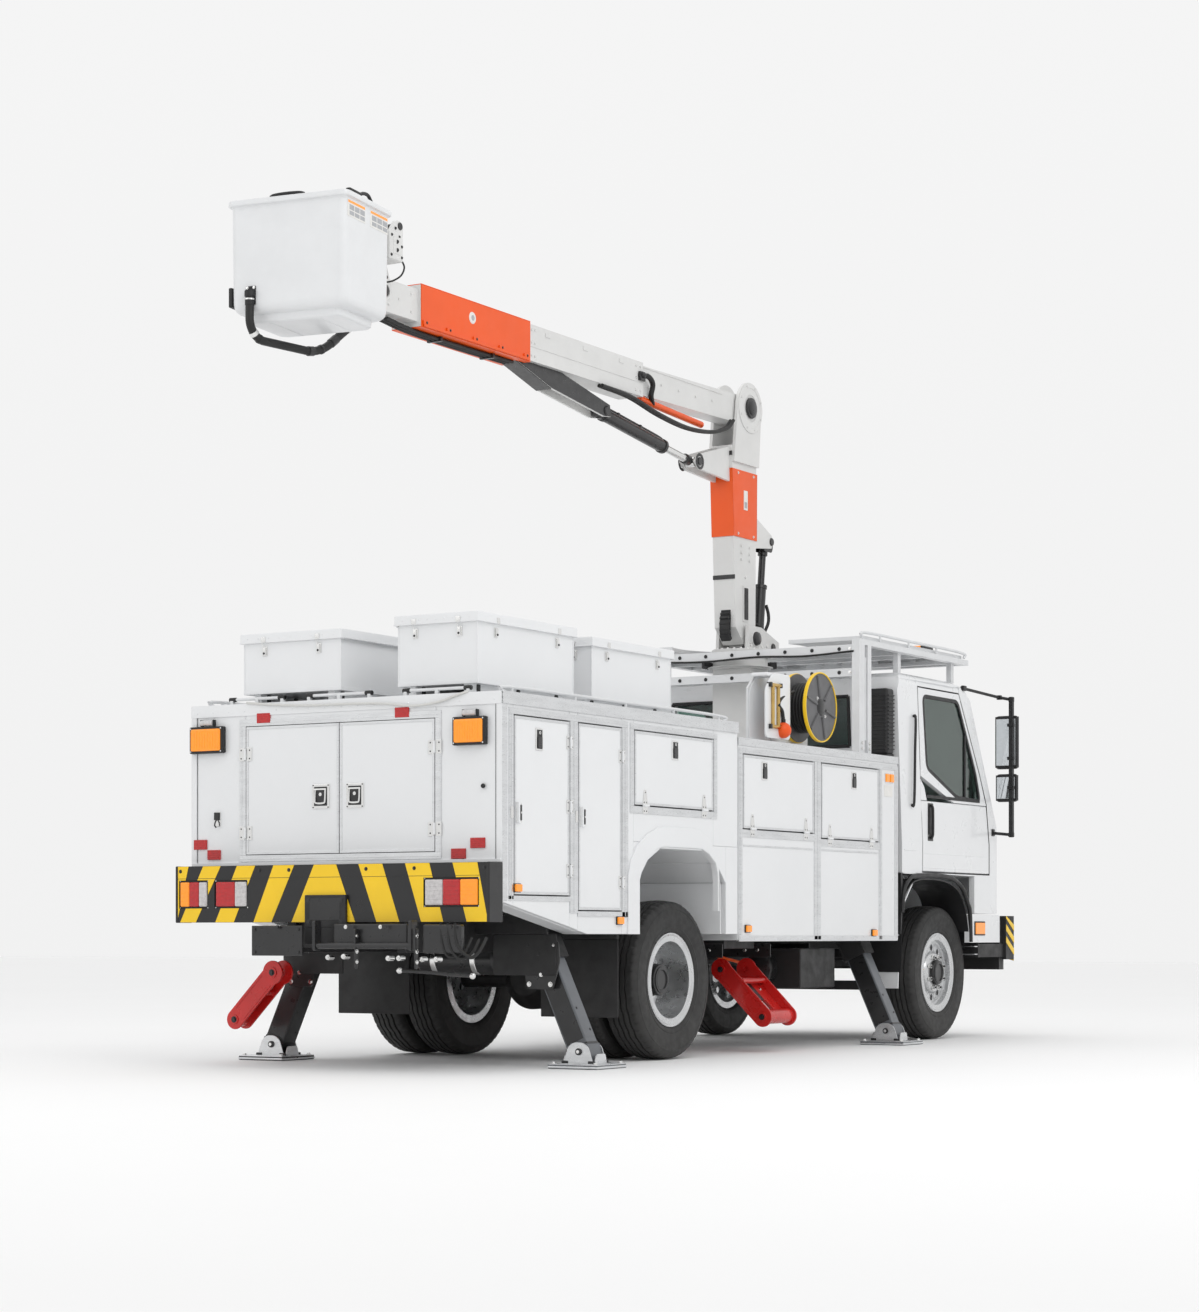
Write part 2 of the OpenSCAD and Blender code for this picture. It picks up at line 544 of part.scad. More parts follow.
module bucket() color(white) place() translate([xb, rot_y, 0]) rotate(yaw) translate([0, 150, 0]) difference() {
  union() {
    bx(-bucket_w/2+20, bucket_w/2-20, 20, bucket_l-20, 4395, 5050);
    bx(-bucket_w/2, bucket_w/2, 0, bucket_l, 5015, 5050);
    bx(-bucket_w/2+90, bucket_w/2-90, 80, bucket_l-80, 4345, 4400);
    for (z = [4800, 5065]) { bx(-55, 55, -150, 25, z, z+25); cyz(z, z+25, 0, -150, 55); }
    bx(-180, 180, 0, 25, 4780, 5100);
  }
  bx(-bucket_w/2+20+bucket_t, bucket_w/2-20-bucket_t, 20+bucket_t, bucket_l-20-bucket_t, 4409, 5060);
  bx(-bucket_w/2+90+bucket_t, bucket_w/2-90-bucket_t, 80+bucket_t, bucket_l-80-bucket_t, 4359, 4420);
}
// cylinders: foot at p, eye at q, in the side plane
module barrel(p, q, L, r, r0) {
  a = atan2(q[1]-p[1], q[0]-p[0]);
  translate([xb, p[0], p[1]]) rotate([a,0,0]) difference() {
    union() { rotate([-90,0,0]) difference() { cylinder(h=L, r=r); translate([0,0,60]) cylinder(h=L, r=r0+0.06); } rotate([0,90,0]) cylinder(h=76, r=38, center=true); }
    rotate([0,90,0]) cylinder(h=100, r=20.06, center=true);
  }
}
module rod(p, q, L, r) {
  a = atan2(q[1]-p[1], q[0]-p[0]); D = norm(q-p);
  translate([xb, p[0], p[1]]) rotate([a,0,0]) {
    rotate([-90,0,0]) translate([0,0,L]) cylinder(h=D-L-10, r=r);
    // eye with its pin
    translate([0,D,0]) rotate([0,90,0]) { cylinder(h=70, r=36, center=true); cylinder(h=86, r=20, center=true); }
  }
}
lf = [-3300, 2965]; lt = [-3400, 3780];
ef = [-960, 4392]; et = [-2270, 4232];
module lift_barrel() color(black) place() barrel(lf, lt, 490, 42, 26);
module lift_rod() color(steel) place() rod(lf, lt, 420, 26);
module elbow_barrel() color(black) place() barrel(ef, et, 900, 45, 28);
module elbow_rod() color(steel) place() rod(ef, et, 700, 28);
// hose from the fitting on the bucket's outer wall, down and under it to the boom tip
module bucket_hose() color(black) place() translate([230, 2746, 0]) rotate(-98.04) {
  cyz(4360, 4500, 0, 0, 26);
  translate([115, 0, 4360]) rotate([90,0,0]) rotate(180) rotate_extrude(angle=90) translate([115,0]) circle(r=26);
  cyx(115, 450, 0, 4245, 26);
  translate([450, 0, 4595]) rotate([90,0,0]) rotate(270) rotate_extrude(angle=38) translate([350,0]) circle(r=26);
  translate([450+350*sin(38), 0, 4595-350*cos(38)]) rotate([0,52,0]) cylinder(h=330, r=26);
}

chassis_frame();
powertrain();
axles();
cab_shell();
cab_glass();
cab_interior();
mirrors();
front_bumper();
fenders();
service_body();
side_boxes();
rack();
pedestal();
roof_boxes();
rear_bumper();
lamps();
knuckle(1);  // knuckle_left
knuckle(-1);  // knuckle_right
tyre_f(1);  // tyre_front_left
rim_f(1);  // rim_front_left
tyre_f(-1);  // tyre_front_right
rim_f(-1);  // rim_front_right
tyres_r(1);  // tyres_rear_left
rims_r(1);  // rims_rear_left
tyres_r(-1);  // tyres_rear_right
rims_r(-1);  // rims_rear_right
cab_door(1);  // cab_door_left
cab_door(-1);  // cab_door_right
rear_door(1);  // rear_door_left
rear_door(-1);  // rear_door_right
door1(-1);  // door_right_1
door2(-1);  // door_right_2
drop(d3, -1);  // door_right_3
drop(d4, -1);  // door_right_4
drop(d5, -1);  // door_right_5
door1(1);  // door_left_1
door2(1);  // door_left_2
drop(d3, 1);  // door_left_3
drop(d4, 1);  // door_left_4
drop(d5, 1);  // door_left_5
lid(b1);  // lid_right
lid(b2);  // lid_left
lid(b3);  // lid_front
hose_reel();
leg(-1, 1275, greyp);  // leg_rear_right
leg(1, 1275, black);  // leg_rear_left
leg(-1, -3000, greyp);  // leg_front_right
leg(1, -3000, greyp);  // leg_front_left
support_arm_right();
support_arm_left();
turret();
lower_boom();
upper_boom();
bucket_bracket();
bucket();
lift_barrel();
lift_rod();
elbow_barrel();
elbow_rod();
bucket_hose();
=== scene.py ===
import bpy, bmesh, math
from mathutils import Vector, Matrix, noise


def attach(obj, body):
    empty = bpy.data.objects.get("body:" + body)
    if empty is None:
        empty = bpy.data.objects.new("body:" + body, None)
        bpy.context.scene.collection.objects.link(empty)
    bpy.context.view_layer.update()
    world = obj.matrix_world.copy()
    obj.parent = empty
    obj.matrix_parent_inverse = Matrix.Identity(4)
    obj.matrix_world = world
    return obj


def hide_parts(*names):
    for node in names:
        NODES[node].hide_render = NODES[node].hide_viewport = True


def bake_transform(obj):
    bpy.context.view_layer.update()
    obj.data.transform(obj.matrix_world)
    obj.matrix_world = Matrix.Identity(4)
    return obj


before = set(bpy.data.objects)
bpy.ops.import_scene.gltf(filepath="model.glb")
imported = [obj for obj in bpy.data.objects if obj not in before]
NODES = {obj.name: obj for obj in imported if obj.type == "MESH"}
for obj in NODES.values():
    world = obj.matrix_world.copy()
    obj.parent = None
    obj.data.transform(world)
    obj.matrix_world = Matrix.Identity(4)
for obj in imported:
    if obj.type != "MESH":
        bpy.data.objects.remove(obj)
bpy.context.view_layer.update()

scene = bpy.context.scene
Y0 = 1.2985                      # rear axle to the frame's origin
OFF = Vector((0.0, Y0, 0.0))
HW = 1.127                       # half width of the service body
XB = 0.100                       # boom centre plane

# ------------------------------------------------------------------ camera
cam_data = bpy.data.cameras.new("camera")
cam = bpy.data.objects.new("camera", cam_data)
scene.collection.objects.link(cam)
cam.location = (-9.9296, 17.0806, 0.7993)
cam.rotation_mode = "QUATERNION"
cam.rotation_quaternion = Vector((0.5136, -0.8580, 0.0)).to_track_quat("-Z", "Y")
cam_data.sensor_fit = "AUTO"
cam_data.sensor_width = 36.0
cam_data.lens = 77.89
cam_data.shift_x = 0.0
cam_data.shift_y = 0.2121
cam_data.clip_end = 200.0
scene.camera = cam

# ------------------------------------------------------------------ light and floor
scene.view_settings.view_transform = "Standard"
scene.view_settings.look = "None"
scene.view_settings.exposure = 0.0
world = bpy.data.worlds.new("studio")
scene.world = world
world.use_nodes = True
wn = world.node_tree
bg = wn.nodes["Background"]
wtc = wn.nodes.new("ShaderNodeTexCoord")
wsep = wn.nodes.new("ShaderNodeSeparateXYZ")
wramp = wn.nodes.new("ShaderNodeValToRGB")
wn.links.new(wtc.outputs["Generated"], wsep.inputs[0])
wmap = wn.nodes.new("ShaderNodeMapRange")
wmap.inputs["From Min"].default_value = -1.0
wmap.inputs["From Max"].default_value = 1.0
wn.links.new(wsep.outputs["Z"], wmap.inputs["Value"])
wn.links.new(wmap.outputs[0], wramp.inputs["Fac"])
wramp.color_ramp.elements[0].position = 0.40
wramp.color_ramp.elements[0].color = (0.93, 0.93, 0.93, 1)
wramp.color_ramp.elements[1].position = 0.75
wramp.color_ramp.elements[1].color = (1.0, 1.0, 1.0, 1)
wn.links.new(wramp.outputs["Color"], bg.inputs["Color"])
bg.inputs["Strength"].default_value = 0.93


def area(name, loc, target, size, power, size_y=None):
    d = bpy.data.lights.new(name, "AREA")
    d.energy = power
    d.size = size
    if size_y:
        d.shape = "RECTANGLE"
        d.size_y = size_y
    o = bpy.data.objects.new(name, d)
    scene.collection.objects.link(o)
    o.location = loc
    o.rotation_mode = "QUATERNION"
    o.rotation_quaternion = (Vector(target) - Vector(loc)).to_track_quat("-Z", "Y")
    return o


area("key", (-9.0, 6.0, 9.5), (0, 0, 1.5), 7.0, 230, 5.0)
area("fill", (5.0, 12.0, 6.5), (0, 0, 1.5), 7.0, 60, 5.0)
area("top", (0.0, 0.0, 12.0), (0, 0, 0), 10.0, 120, 10.0)


# ------------------------------------------------------------------ materials
def node(nt, kind, **kw):
    n = nt.nodes.new(kind)
    for k, v in kw.items():
        if k in n.inputs:
            n.inputs[k].default_value = v
        else:
            setattr(n, k, v)
    return n


def pbr(name, col, rough=0.4, metal=0.0, coat=0.0, var=0.05, vscale=2.5, rvar=0.08, rscale=9.0,
        bump=0.0, bscale=120.0, bdist=0.002, dust=0.0, dust_col=(0.30, 0.28, 0.25), dust_z=1.0,
        tint=None, spec=0.5, alpha=1.0, trans=0.0, ior=1.45, emit=0.0, stretch=None, aniso=0.0):
    m = bpy.data.materials.new(name)
    m.use_nodes = True
    nt = m.node_tree
    b = nt.nodes["Principled BSDF"]
    b.inputs["Metallic"].default_value = metal
    b.inputs["Coat Weight"].default_value = coat
    b.inputs["Coat Roughness"].default_value = 0.06
    b.inputs["IOR"].default_value = ior
    b.inputs["Specular IOR Level"].default_value = spec
    b.inputs["Transmission Weight"].default_value = trans
    b.inputs["Alpha"].default_value = alpha
    b.inputs["Anisotropic"].default_value = aniso
    tc = nt.nodes.new("ShaderNodeTexCoord")
    src = tc.outputs["Object"]
    if stretch:
        mp = nt.nodes.new("ShaderNodeMapping")
        mp.inputs["Scale"].default_value = stretch
        nt.links.new(src, mp.inputs["Vector"])
        src = mp.outputs[0]
    n1 = node(nt, "ShaderNodeTexNoise", Scale=vscale, Detail=5.0, Roughness=0.6)
    nt.links.new(src, n1.inputs["Vector"])
    mix = nt.nodes.new("ShaderNodeMix")
    mix.data_type = "RGBA"
    c2 = tint if tint else tuple(max(0.0, c * (1.0 - 2.0 * var)) for c in col)
    mix.inputs["A"].default_value = (*col, 1)
    mix.inputs["B"].default_value = (*c2, 1)
    r1 = nt.nodes.new("ShaderNodeMapRange")
    r1.inputs["From Min"].default_value = 0.38
    r1.inputs["From Max"].default_value = 0.66
    nt.links.new(n1.outputs["Fac"], r1.inputs["Value"])
    nt.links.new(r1.outputs[0], mix.inputs["Factor"])
    colour = mix.outputs["Result"]
    if dust > 0:
        geo = nt.nodes.new("ShaderNodeTexCoord")
        sep = nt.nodes.new("ShaderNodeSeparateXYZ")
        nt.links.new(geo.outputs["Object"], sep.inputs[0])
        mr = nt.nodes.new("ShaderNodeMapRange")
        mr.inputs["From Min"].default_value = 0.0
        mr.inputs["From Max"].default_value = dust_z
        mr.inputs["To Min"].default_value = 1.0
        mr.inputs["To Max"].default_value = 0.0
        nt.links.new(sep.outputs["Z"], mr.inputs["Value"])
        n3 = node(nt, "ShaderNodeTexNoise", Scale=7.0, Detail=6.0, Roughness=0.7)
        nt.links.new(geo.outputs["Object"], n3.inputs["Vector"])
        mul = node(nt, "ShaderNodeMath", operation="MULTIPLY")
        nt.links.new(mr.outputs[0], mul.inputs[0])
        nt.links.new(n3.outputs["Fac"], mul.inputs[1])
        mul2 = node(nt, "ShaderNodeMath", operation="MULTIPLY")
        nt.links.new(mul.outputs[0], mul2.inputs[0])
        mul2.inputs[1].default_value = dust
        mix2 = nt.nodes.new("ShaderNodeMix")
        mix2.data_type = "RGBA"
        nt.links.new(colour, mix2.inputs["A"])
        mix2.inputs["B"].default_value = (*dust_col, 1)
        nt.links.new(mul2.outputs[0], mix2.inputs["Factor"])
        colour = mix2.outputs["Result"]
    nt.links.new(colour, b.inputs["Base Color"])
    n2 = node(nt, "ShaderNodeTexNoise", Scale=rscale, Detail=4.0, Roughness=0.6)
    nt.links.new(src, n2.inputs["Vector"])
    r2 = nt.nodes.new("ShaderNodeMapRange")
    r2.inputs["From Min"].default_value = 0.3
    r2.inputs["From Max"].default_value = 0.7
    r2.inputs["To Min"].default_value = max(0.02, rough - rvar)
    r2.inputs["To Max"].default_value = min(1.0, rough + rvar)
    nt.links.new(n2.outputs["Fac"], r2.inputs["Value"])
    nt.links.new(r2.outputs[0], b.inputs["Roughness"])
    if bump > 0:
        n4 = node(nt, "ShaderNodeTexNoise", Scale=bscale, Detail=3.0, Roughness=0.6)
        nt.links.new(src, n4.inputs["Vector"])
        bp = nt.nodes.new("ShaderNodeBump")
        bp.inputs["Strength"].default_value = bump
        bp.inputs["Distance"].default_value = bdist
        nt.links.new(n4.outputs["Fac"], bp.inputs["Height"])
        nt.links.new(bp.outputs["Normal"], b.inputs["Normal"])
    if emit > 0:
        nt.links.new(colour, b.inputs["Emission Color"])
        b.inputs["Emission Strength"].default_value = emit
    m.diffuse_color = (*col, 1)
    return m


WHITE = pbr("white_paint", (0.80, 0.81, 0.82), 0.30, coat=0.35, var=0.012, vscale=1.2, rvar=0.05, rscale=5, bump=0.05, bscale=60, bdist=0.001,
            dust=0.22, dust_col=(0.52, 0.50, 0.47), dust_z=1.15)
BODYW = pbr("body_paint", (0.79, 0.80, 0.81), 0.34, coat=0.30, var=0.014, vscale=1.0, rvar=0.06, rscale=4, bump=0.08, bscale=18, bdist=0.0012,
            dust=0.20, dust_col=(0.52, 0.50, 0.47), dust_z=1.35)
BOOMW = pbr("boom_paint", (0.70, 0.70, 0.69), 0.42, coat=0.15, var=0.03, vscale=3, rvar=0.08, bump=0.10, bscale=140, bdist=0.001)
SHELL = pbr("bucket_shell", (0.76, 0.77, 0.78), 0.38, coat=0.2, var=0.02, vscale=4, rvar=0.07, bump=0.12, bscale=70, bdist=0.001)
ALU = pbr("aluminium", (0.74, 0.75, 0.76), 0.33, metal=1.0, var=0.05, vscale=6, rvar=0.10, rscale=30, stretch=(1, 1, 6), bump=0.04, bscale=300)
RACKM = pbr("rack_white", (0.72, 0.73, 0.74), 0.36, metal=0.15, coat=0.1, var=0.03, vscale=5, rvar=0.08, bump=0.05, bscale=150)
CHROME = pbr("bright_steel", (0.80, 0.80, 0.79), 0.16, metal=1.0, var=0.03, vscale=9, rvar=0.07, rscale=25)
SILVER = pbr("wheel_silver", (0.66, 0.67, 0.68), 0.30, metal=0.85, coat=0.15, var=0.05, vscale=8, rvar=0.09, rscale=22,
             dust=0.35, dust_col=(0.34, 0.32, 0.30), dust_z=1.1, bump=0.05, bscale=180)
PADM = pbr("pad_galvanised", (0.60, 0.62, 0.63), 0.42, metal=0.9, var=0.10, vscale=22, rvar=0.14, rscale=30, bump=0.15, bscale=90,
           dust=0.3, dust_z=0.3)
BLACKP = pbr("chassis_black", (0.018, 0.018, 0.019), 0.50, var=0.10, vscale=6, rvar=0.14, rscale=12, bump=0.12, bscale=90,
             dust=0.16, dust_col=(0.16, 0.15, 0.14), dust_z=1.1)
PLAST = pbr("black_plastic", (0.016, 0.016, 0.017), 0.46, var=0.08, vscale=9, rvar=0.10, rscale=18, bump=0.22, bscale=420, bdist=0.0006)
BSTEEL = pbr("black_steel", (0.020, 0.020, 0.021), 0.34, coat=0.25, var=0.08, vscale=8, rvar=0.10, rscale=20, bump=0.05, bscale=120)
RUBBER = pbr("tyre_rubber", (0.021, 0.021, 0.021), 0.62, var=0.12, vscale=9, rvar=0.10, rscale=24, bump=0.25, bscale=260, bdist=0.0008,
             dust=0.22, dust_col=(0.17, 0.16, 0.15), dust_z=1.0)
HOSE = pbr("hose_black", (0.015, 0.015, 0.015), 0.50, var=0.10, vscale=12, rvar=0.10, bump=0.2, bscale=300, bdist=0.0006)
ORANGE = pbr("orange_paint", (0.86, 0.092, 0.0), 0.42, coat=0.15, var=0.03, vscale=2, rvar=0.07, bump=0.05, bscale=90)
YELLOW = pbr("hazard_yellow", (0.93, 0.60, 0.010), 0.36, coat=0.20, var=0.03, vscale=4, rvar=0.08, bump=0.04, bscale=200)
HBLACK = pbr("hazard_black", (0.012, 0.012, 0.013), 0.36, coat=0.2, var=0.08, vscale=5, rvar=0.09, bump=0.04, bscale=200)
RED = pbr("red_paint", (0.62, 0.012, 0.010), 0.30, coat=0.35, var=0.06, vscale=5, rvar=0.08, bump=0.06, bscale=90,
          dust=0.18, dust_col=(0.22, 0.14, 0.12), dust_z=0.7)
GREY = pbr("grey_paint", (0.115, 0.125, 0.140), 0.38, coat=0.2, var=0.07, vscale=7, rvar=0.10, bump=0.08, bscale=110,
           dust=0.20, dust_col=(0.25, 0.24, 0.23), dust_z=0.7)
LEGK = pbr("leg_black", (0.020, 0.020, 0.021), 0.42, coat=0.15, var=0.08, vscale=8, rvar=0.10, bump=0.08, bscale=110)
REELG = pbr("reel_grey", (0.13, 0.13, 0.135), 0.45, var=0.10, vscale=10, rvar=0.10, bump=0.12, bscale=150)
BRASS = pbr("brass", (0.62, 0.42, 0.15), 0.28, metal=1.0, var=0.08, vscale=12, rvar=0.10)
AMBER = pbr("amber_lens", (0.95, 0.30, 0.010), 0.16, coat=0.6, var=0.05, vscale=60, rvar=0.05, bump=0.35, bscale=260, bdist=0.001, emit=0.22)
REDL = pbr("red_lens", (0.50, 0.008, 0.012), 0.16, coat=0.6, var=0.10, vscale=60, rvar=0.05, bump=0.35, bscale=260, bdist=0.001, emit=0.04)
CLEARL = pbr("clear_lens", (0.62, 0.60, 0.60), 0.14, coat=0.6, var=0.10, vscale=60, rvar=0.05, bump=0.35, bscale=260, bdist=0.001)
REDREF = pbr("red_reflector", (0.55, 0.010, 0.012), 0.22, coat=0.5, var=0.12, vscale=90, rvar=0.05, bump=0.3, bscale=500, bdist=0.0008)
LABEL = pbr("blank_label", (0.80, 0.79, 0.76), 0.40, var=0.03, vscale=20, rvar=0.05)
GSTICK = pbr("grey_label", (0.42, 0.43, 0.45), 0.42, var=0.05, vscale=30, rvar=0.06)
GAP = pbr("gap_dark", (0.05, 0.05, 0.052), 0.7, var=0.1, vscale=9)
TRIM = pbr("cab_trim", (0.055, 0.056, 0.060), 0.62, var=0.10, vscale=20, rvar=0.08, bump=0.25, bscale=300, bdist=0.0008)
SEAT = pbr("seat_cloth", (0.045, 0.048, 0.055), 0.85, var=0.25, vscale=160, rvar=0.06, bump=0.5, bscale=420, bdist=0.0012)
BELT = pbr("strap_web", (0.66, 0.66, 0.64), 0.70, var=0.06, vscale=150, rvar=0.06, bump=0.4, bscale=700, bdist=0.0006)


def glass(name, col, rough=0.02):
    m = bpy.data.materials.new(name)
    m.use_nodes = True
    nt = m.node_tree
    b = nt.nodes["Principled BSDF"]
    b.inputs["Transmission Weight"].default_value = 1.0
    b.inputs["IOR"].default_value = 1.45
    tc = nt.nodes.new("ShaderNodeTexCoord")
    n = node(nt, "ShaderNodeTexNoise", Scale=3.0, Detail=3.0)
    nt.links.new(tc.outputs["Object"], n.inputs["Vector"])
    mix = nt.nodes.new("ShaderNodeMix")
    mix.data_type = "RGBA"
    mix.inputs["A"].default_value = (*col, 1)
    mix.inputs["B"].default_value = (*[c * 0.93 for c in col], 1)
    nt.links.new(n.outputs["Fac"], mix.inputs["Factor"])
    nt.links.new(mix.outputs["Result"], b.inputs["Base Color"])
    r = nt.nodes.new("ShaderNodeMapRange")
    r.inputs["To Min"].default_value = rough
    r.inputs["To Max"].default_value = rough + 0.04
    nt.links.new(n.outputs["Fac"], r.inputs["Value"])
    nt.links.new(r.outputs[0], b.inputs["Roughness"])
    return m


GLASS = glass("tinted_glass", (0.42, 0.56, 0.50))
GLASSR = glass("rear_glass", (0.30, 0.40, 0.38))
MIRRORG = pbr("mirror_glass", (0.75, 0.78, 0.80), 0.05, metal=1.0, var=0.02, vscale=4, rvar=0.02)

# ------------------------------------------------------------------ floor
fm = bpy.data.meshes.new("floor")
fm.from_pydata([(-60, -60, 0), (60, -60, 0), (60, 60, 0), (-60, 60, 0)], [], [(0, 1, 2, 3)])
floor = bpy.data.objects.new("floor", fm)
floor.location = (0, 0, -0.001)
scene.collection.objects.link(floor)
FLOORM = pbr("floor_pale", (0.93, 0.93, 0.93), 0.70, var=0.004, vscale=0.3, rvar=0.05, spec=0.2)
fm.materials.append(FLOORM)


# ------------------------------------------------------------------ mesh building
class Part:
    """One piece, made of many bevelled primitives, in rear-axle coordinates."""

    def __init__(self, name, body, slot=None):
        self.name, self.body, self.slot = name, body, slot
        self.v, self.f, self.m, self.mats = [], [], [], []

    def put(self, bm, mat, M=None):
        bmesh.ops.recalc_face_normals(bm, faces=bm.faces[:])
        if mat not in self.mats:
            self.mats.append(mat)
        i, o = self.mats.index(mat), len(self.v)
        bm.verts.index_update()
        for v in bm.verts:
            c = (M @ v.co) if M is not None else v.co
            self.v.append((c[0], c[1] + Y0, c[2]))
        flip = M is not None and M.determinant() < 0
        for f in bm.faces:
            ids = [o + v.index for v in f.verts]
            self.f.append(ids[::-1] if flip else ids)
            self.m.append(i)
        bm.free()
        return self

    def box(self, x0, x1, y0, y1, z0, z1, mat, b=0.003, seg=2, M=None):
        bm = bmesh.new()
        bmesh.ops.create_cube(bm, size=1.0)
        dx, dy, dz = abs(x1 - x0), abs(y1 - y0), abs(z1 - z0)
        for v in bm.verts:
            v.co = Vector(((x0 + x1) / 2 + v.co.x * dx, (y0 + y1) / 2 + v.co.y * dy, (z0 + z1) / 2 + v.co.z * dz))
        b = min(b, 0.45 * min(dx, dy, dz))
        if b > 0:
            bmesh.ops.bevel(bm, geom=bm.edges[:], offset=b, segments=seg, profile=0.5, affect="EDGES", clamp_overlap=True)
        return self.put(bm, mat, M)

    def prism(self, plane, pts, d0, d1, mat, b=0.003, seg=2, M=None, caps_only=False):
        def P(a, c, d):
            return {"x": (d, a, c), "y": (a, d, c), "z": (a, c, d)}[plane]
        bm = bmesh.new()
        lo = [bm.verts.new(P(a, c, d0)) for a, c in pts]
        hi = [bm.verts.new(P(a, c, d1)) for a, c in pts]
        n = len(pts)
        f0 = bm.faces.new(lo)
        f1 = bm.faces.new(hi[::-1])
        for i in range(n):
            j = (i + 1) % n
            bm.faces.new((lo[i], hi[i], hi[j], lo[j]))
        if b > 0:
            bmesh.ops.recalc_face_normals(bm, faces=bm.faces[:])
            es = [e for e in bm.edges if e.calc_face_angle(0) > math.radians(20)]
            bmesh.ops.bevel(bm, geom=es, offset=b, segments=seg, profile=0.5, affect="EDGES", clamp_overlap=True)
        return self.put(bm, mat, M)

    def cyl(self, p, q, r, mat, seg=24, b=0.0, r2=None, M=None):
        p, q = Vector(p), Vector(q)
        d = q - p
        bm = bmesh.new()
        bmesh.ops.create_cone(bm, cap_ends=True, segments=seg, radius1=r, radius2=r if r2 is None else r2, depth=d.length)
        if b > 0:
            es = [e for e in bm.edges if e.calc_face_angle(0) > math.radians(50)]
            bmesh.ops.bevel(bm, geom=es, offset=min(b, d.length * 0.45, r * 0.45), segments=2, profile=0.5, affect="EDGES", clamp_overlap=True)
        R = d.to_track_quat("Z", "Y").to_matrix().to_4x4()
        T = Matrix.Translation((p + q) / 2) @ R
        for v in bm.verts:
            v.co = T @ v.co
        return self.put(bm, mat, M)

    def hexbolt(self, p, n, r, mat, h=None, washer=True, M=None):
        p, n = Vector(p), Vector(n).normalized()
        h = h or r * 0.75
        if washer:
            self.cyl(p, p + n * (h * 0.25), r * 1.45, mat, seg=16, b=h * 0.06, M=M)
        self.cyl(p + n * (h * 0.2), p + n * h, r, mat, seg=6, b=r * 0.10, M=M)
        return self

    def ball(self, c, r, mat, seg=20, sc=(1, 1, 1), M=None):
        bm = bmesh.new()
        bmesh.ops.create_uvsphere(bm, u_segments=seg, v_segments=max(6, seg // 2), radius=r)
        for v in bm.verts:
            v.co = Vector((c[0] + v.co.x * sc[0], c[1] + v.co.y * sc[1], c[2] + v.co.z * sc[2]))
        return self.put(bm, mat, M)

    def lathe(self, prof, origin, axis, mat, seg=48, closed=False, M=None, mod=None):
        """prof: (r, t) pairs, turned about axis through origin; mod(k, r, t) may shift a point."""
        axis = Vector(axis).normalized()
        R = axis.to_track_quat("Z", "Y").to_matrix()
        o = Vector(origin)
        bm = bmesh.new()
        rings = []
        for k in range(seg):
            a = 2 * math.pi * k / seg
            row = []
            for r, t in prof:
                if mod:
                    r, t = mod(k, r, t)
                row.append(bm.verts.new(o + R @ Vector((r * math.cos(a), r * math.sin(a), t))))
            rings.append(row)
        n = len(prof)
        for k in range(seg):
            A, B = rings[k], rings[(k + 1) % seg]
            for i in range(n if closed else n - 1):
                j = (i + 1) % n
                bm.faces.new((A[i], A[j], B[j], B[i]))
        bmesh.ops.remove_doubles(bm, verts=bm.verts[:], dist=1e-6)
        return self.put(bm, mat, M)

    def tube(self, pts, r, mat, seg=10, smooth=8, ends=True, M=None, rib=0.0, rib_n=0):
        path = spline(pts, smooth) if smooth else [Vector(p) for p in pts]
        bm = bmesh.new()
        n = len(path)
        T = [(path[min(i + 1, n - 1)] - path[max(i - 1, 0)]).normalized() for i in range(n)]
        up = Vector((0, 0, 1)) if abs(T[0].z) < 0.9 else Vector((1, 0, 0))
        U = (up - T[0] * up.dot(T[0])).normalized()
        rings = []
        for i in range(n):
            U = (U - T[i] * U.dot(T[i])).normalized()
            V = T[i].cross(U)
            rr = r + (rib if (i % 2 and rib) else 0.0)
            rings.append([bm.verts.new(path[i] + (U * math.cos(2 * math.pi * k / seg) + V * math.sin(2 * math.pi * k / seg)) * rr) for k in range(seg)])
        for i in range(n - 1):
            for k in range(seg):
                l = (k + 1) % seg
                bm.faces.new((rings[i][k], rings[i][l], rings[i + 1][l], rings[i + 1][k]))
        if ends:
            bm.faces.new(rings[0][::-1])
            bm.faces.new(rings[-1])
        return self.put(bm, mat, M)

    def sheet(self, quad, mat, t=0.0015, M=None):
        """A thin plate on four or more coplanar corner points, raised by t along their normal."""
        pts = [Vector(p) for p in quad]
        nrm = (pts[1] - pts[0]).cross(pts[2] - pts[0]).normalized()
        bm = bmesh.new()
        lo = [bm.verts.new(p - nrm * 0.0005) for p in pts]
        hi = [bm.verts.new(p + nrm * t) for p in pts]
        n = len(pts)
        bm.faces.new(lo[::-1])
        bm.faces.new(hi)
        for i in range(n):
            j = (i + 1) % n
            bm.faces.new((lo[i], lo[j], hi[j], hi[i]))
        return self.put(bm, mat, M)

    def done(self, sharp=32.0, replaces=(), wn=True, ride=True):
        me = bpy.data.meshes.new(self.name)
        me.from_pydata(self.v, [], self.f)
        for m in self.mats:
            me.materials.append(m)
        me.polygons.foreach_set("material_index", self.m)
        me.shade_smooth()
        me.set_sharp_from_angle(angle=math.radians(sharp))
        me.update()
        o = bpy.data.objects.new(self.name, me)
        scene.collection.objects.link(o)
        if wn:
            w = o.modifiers.new("weighted", "WEIGHTED_NORMAL")
            w.keep_sharp = True
            w.weight = 60
        if ride:
            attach(o, self.body)
        if replaces:
            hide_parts(*replaces)
        return o


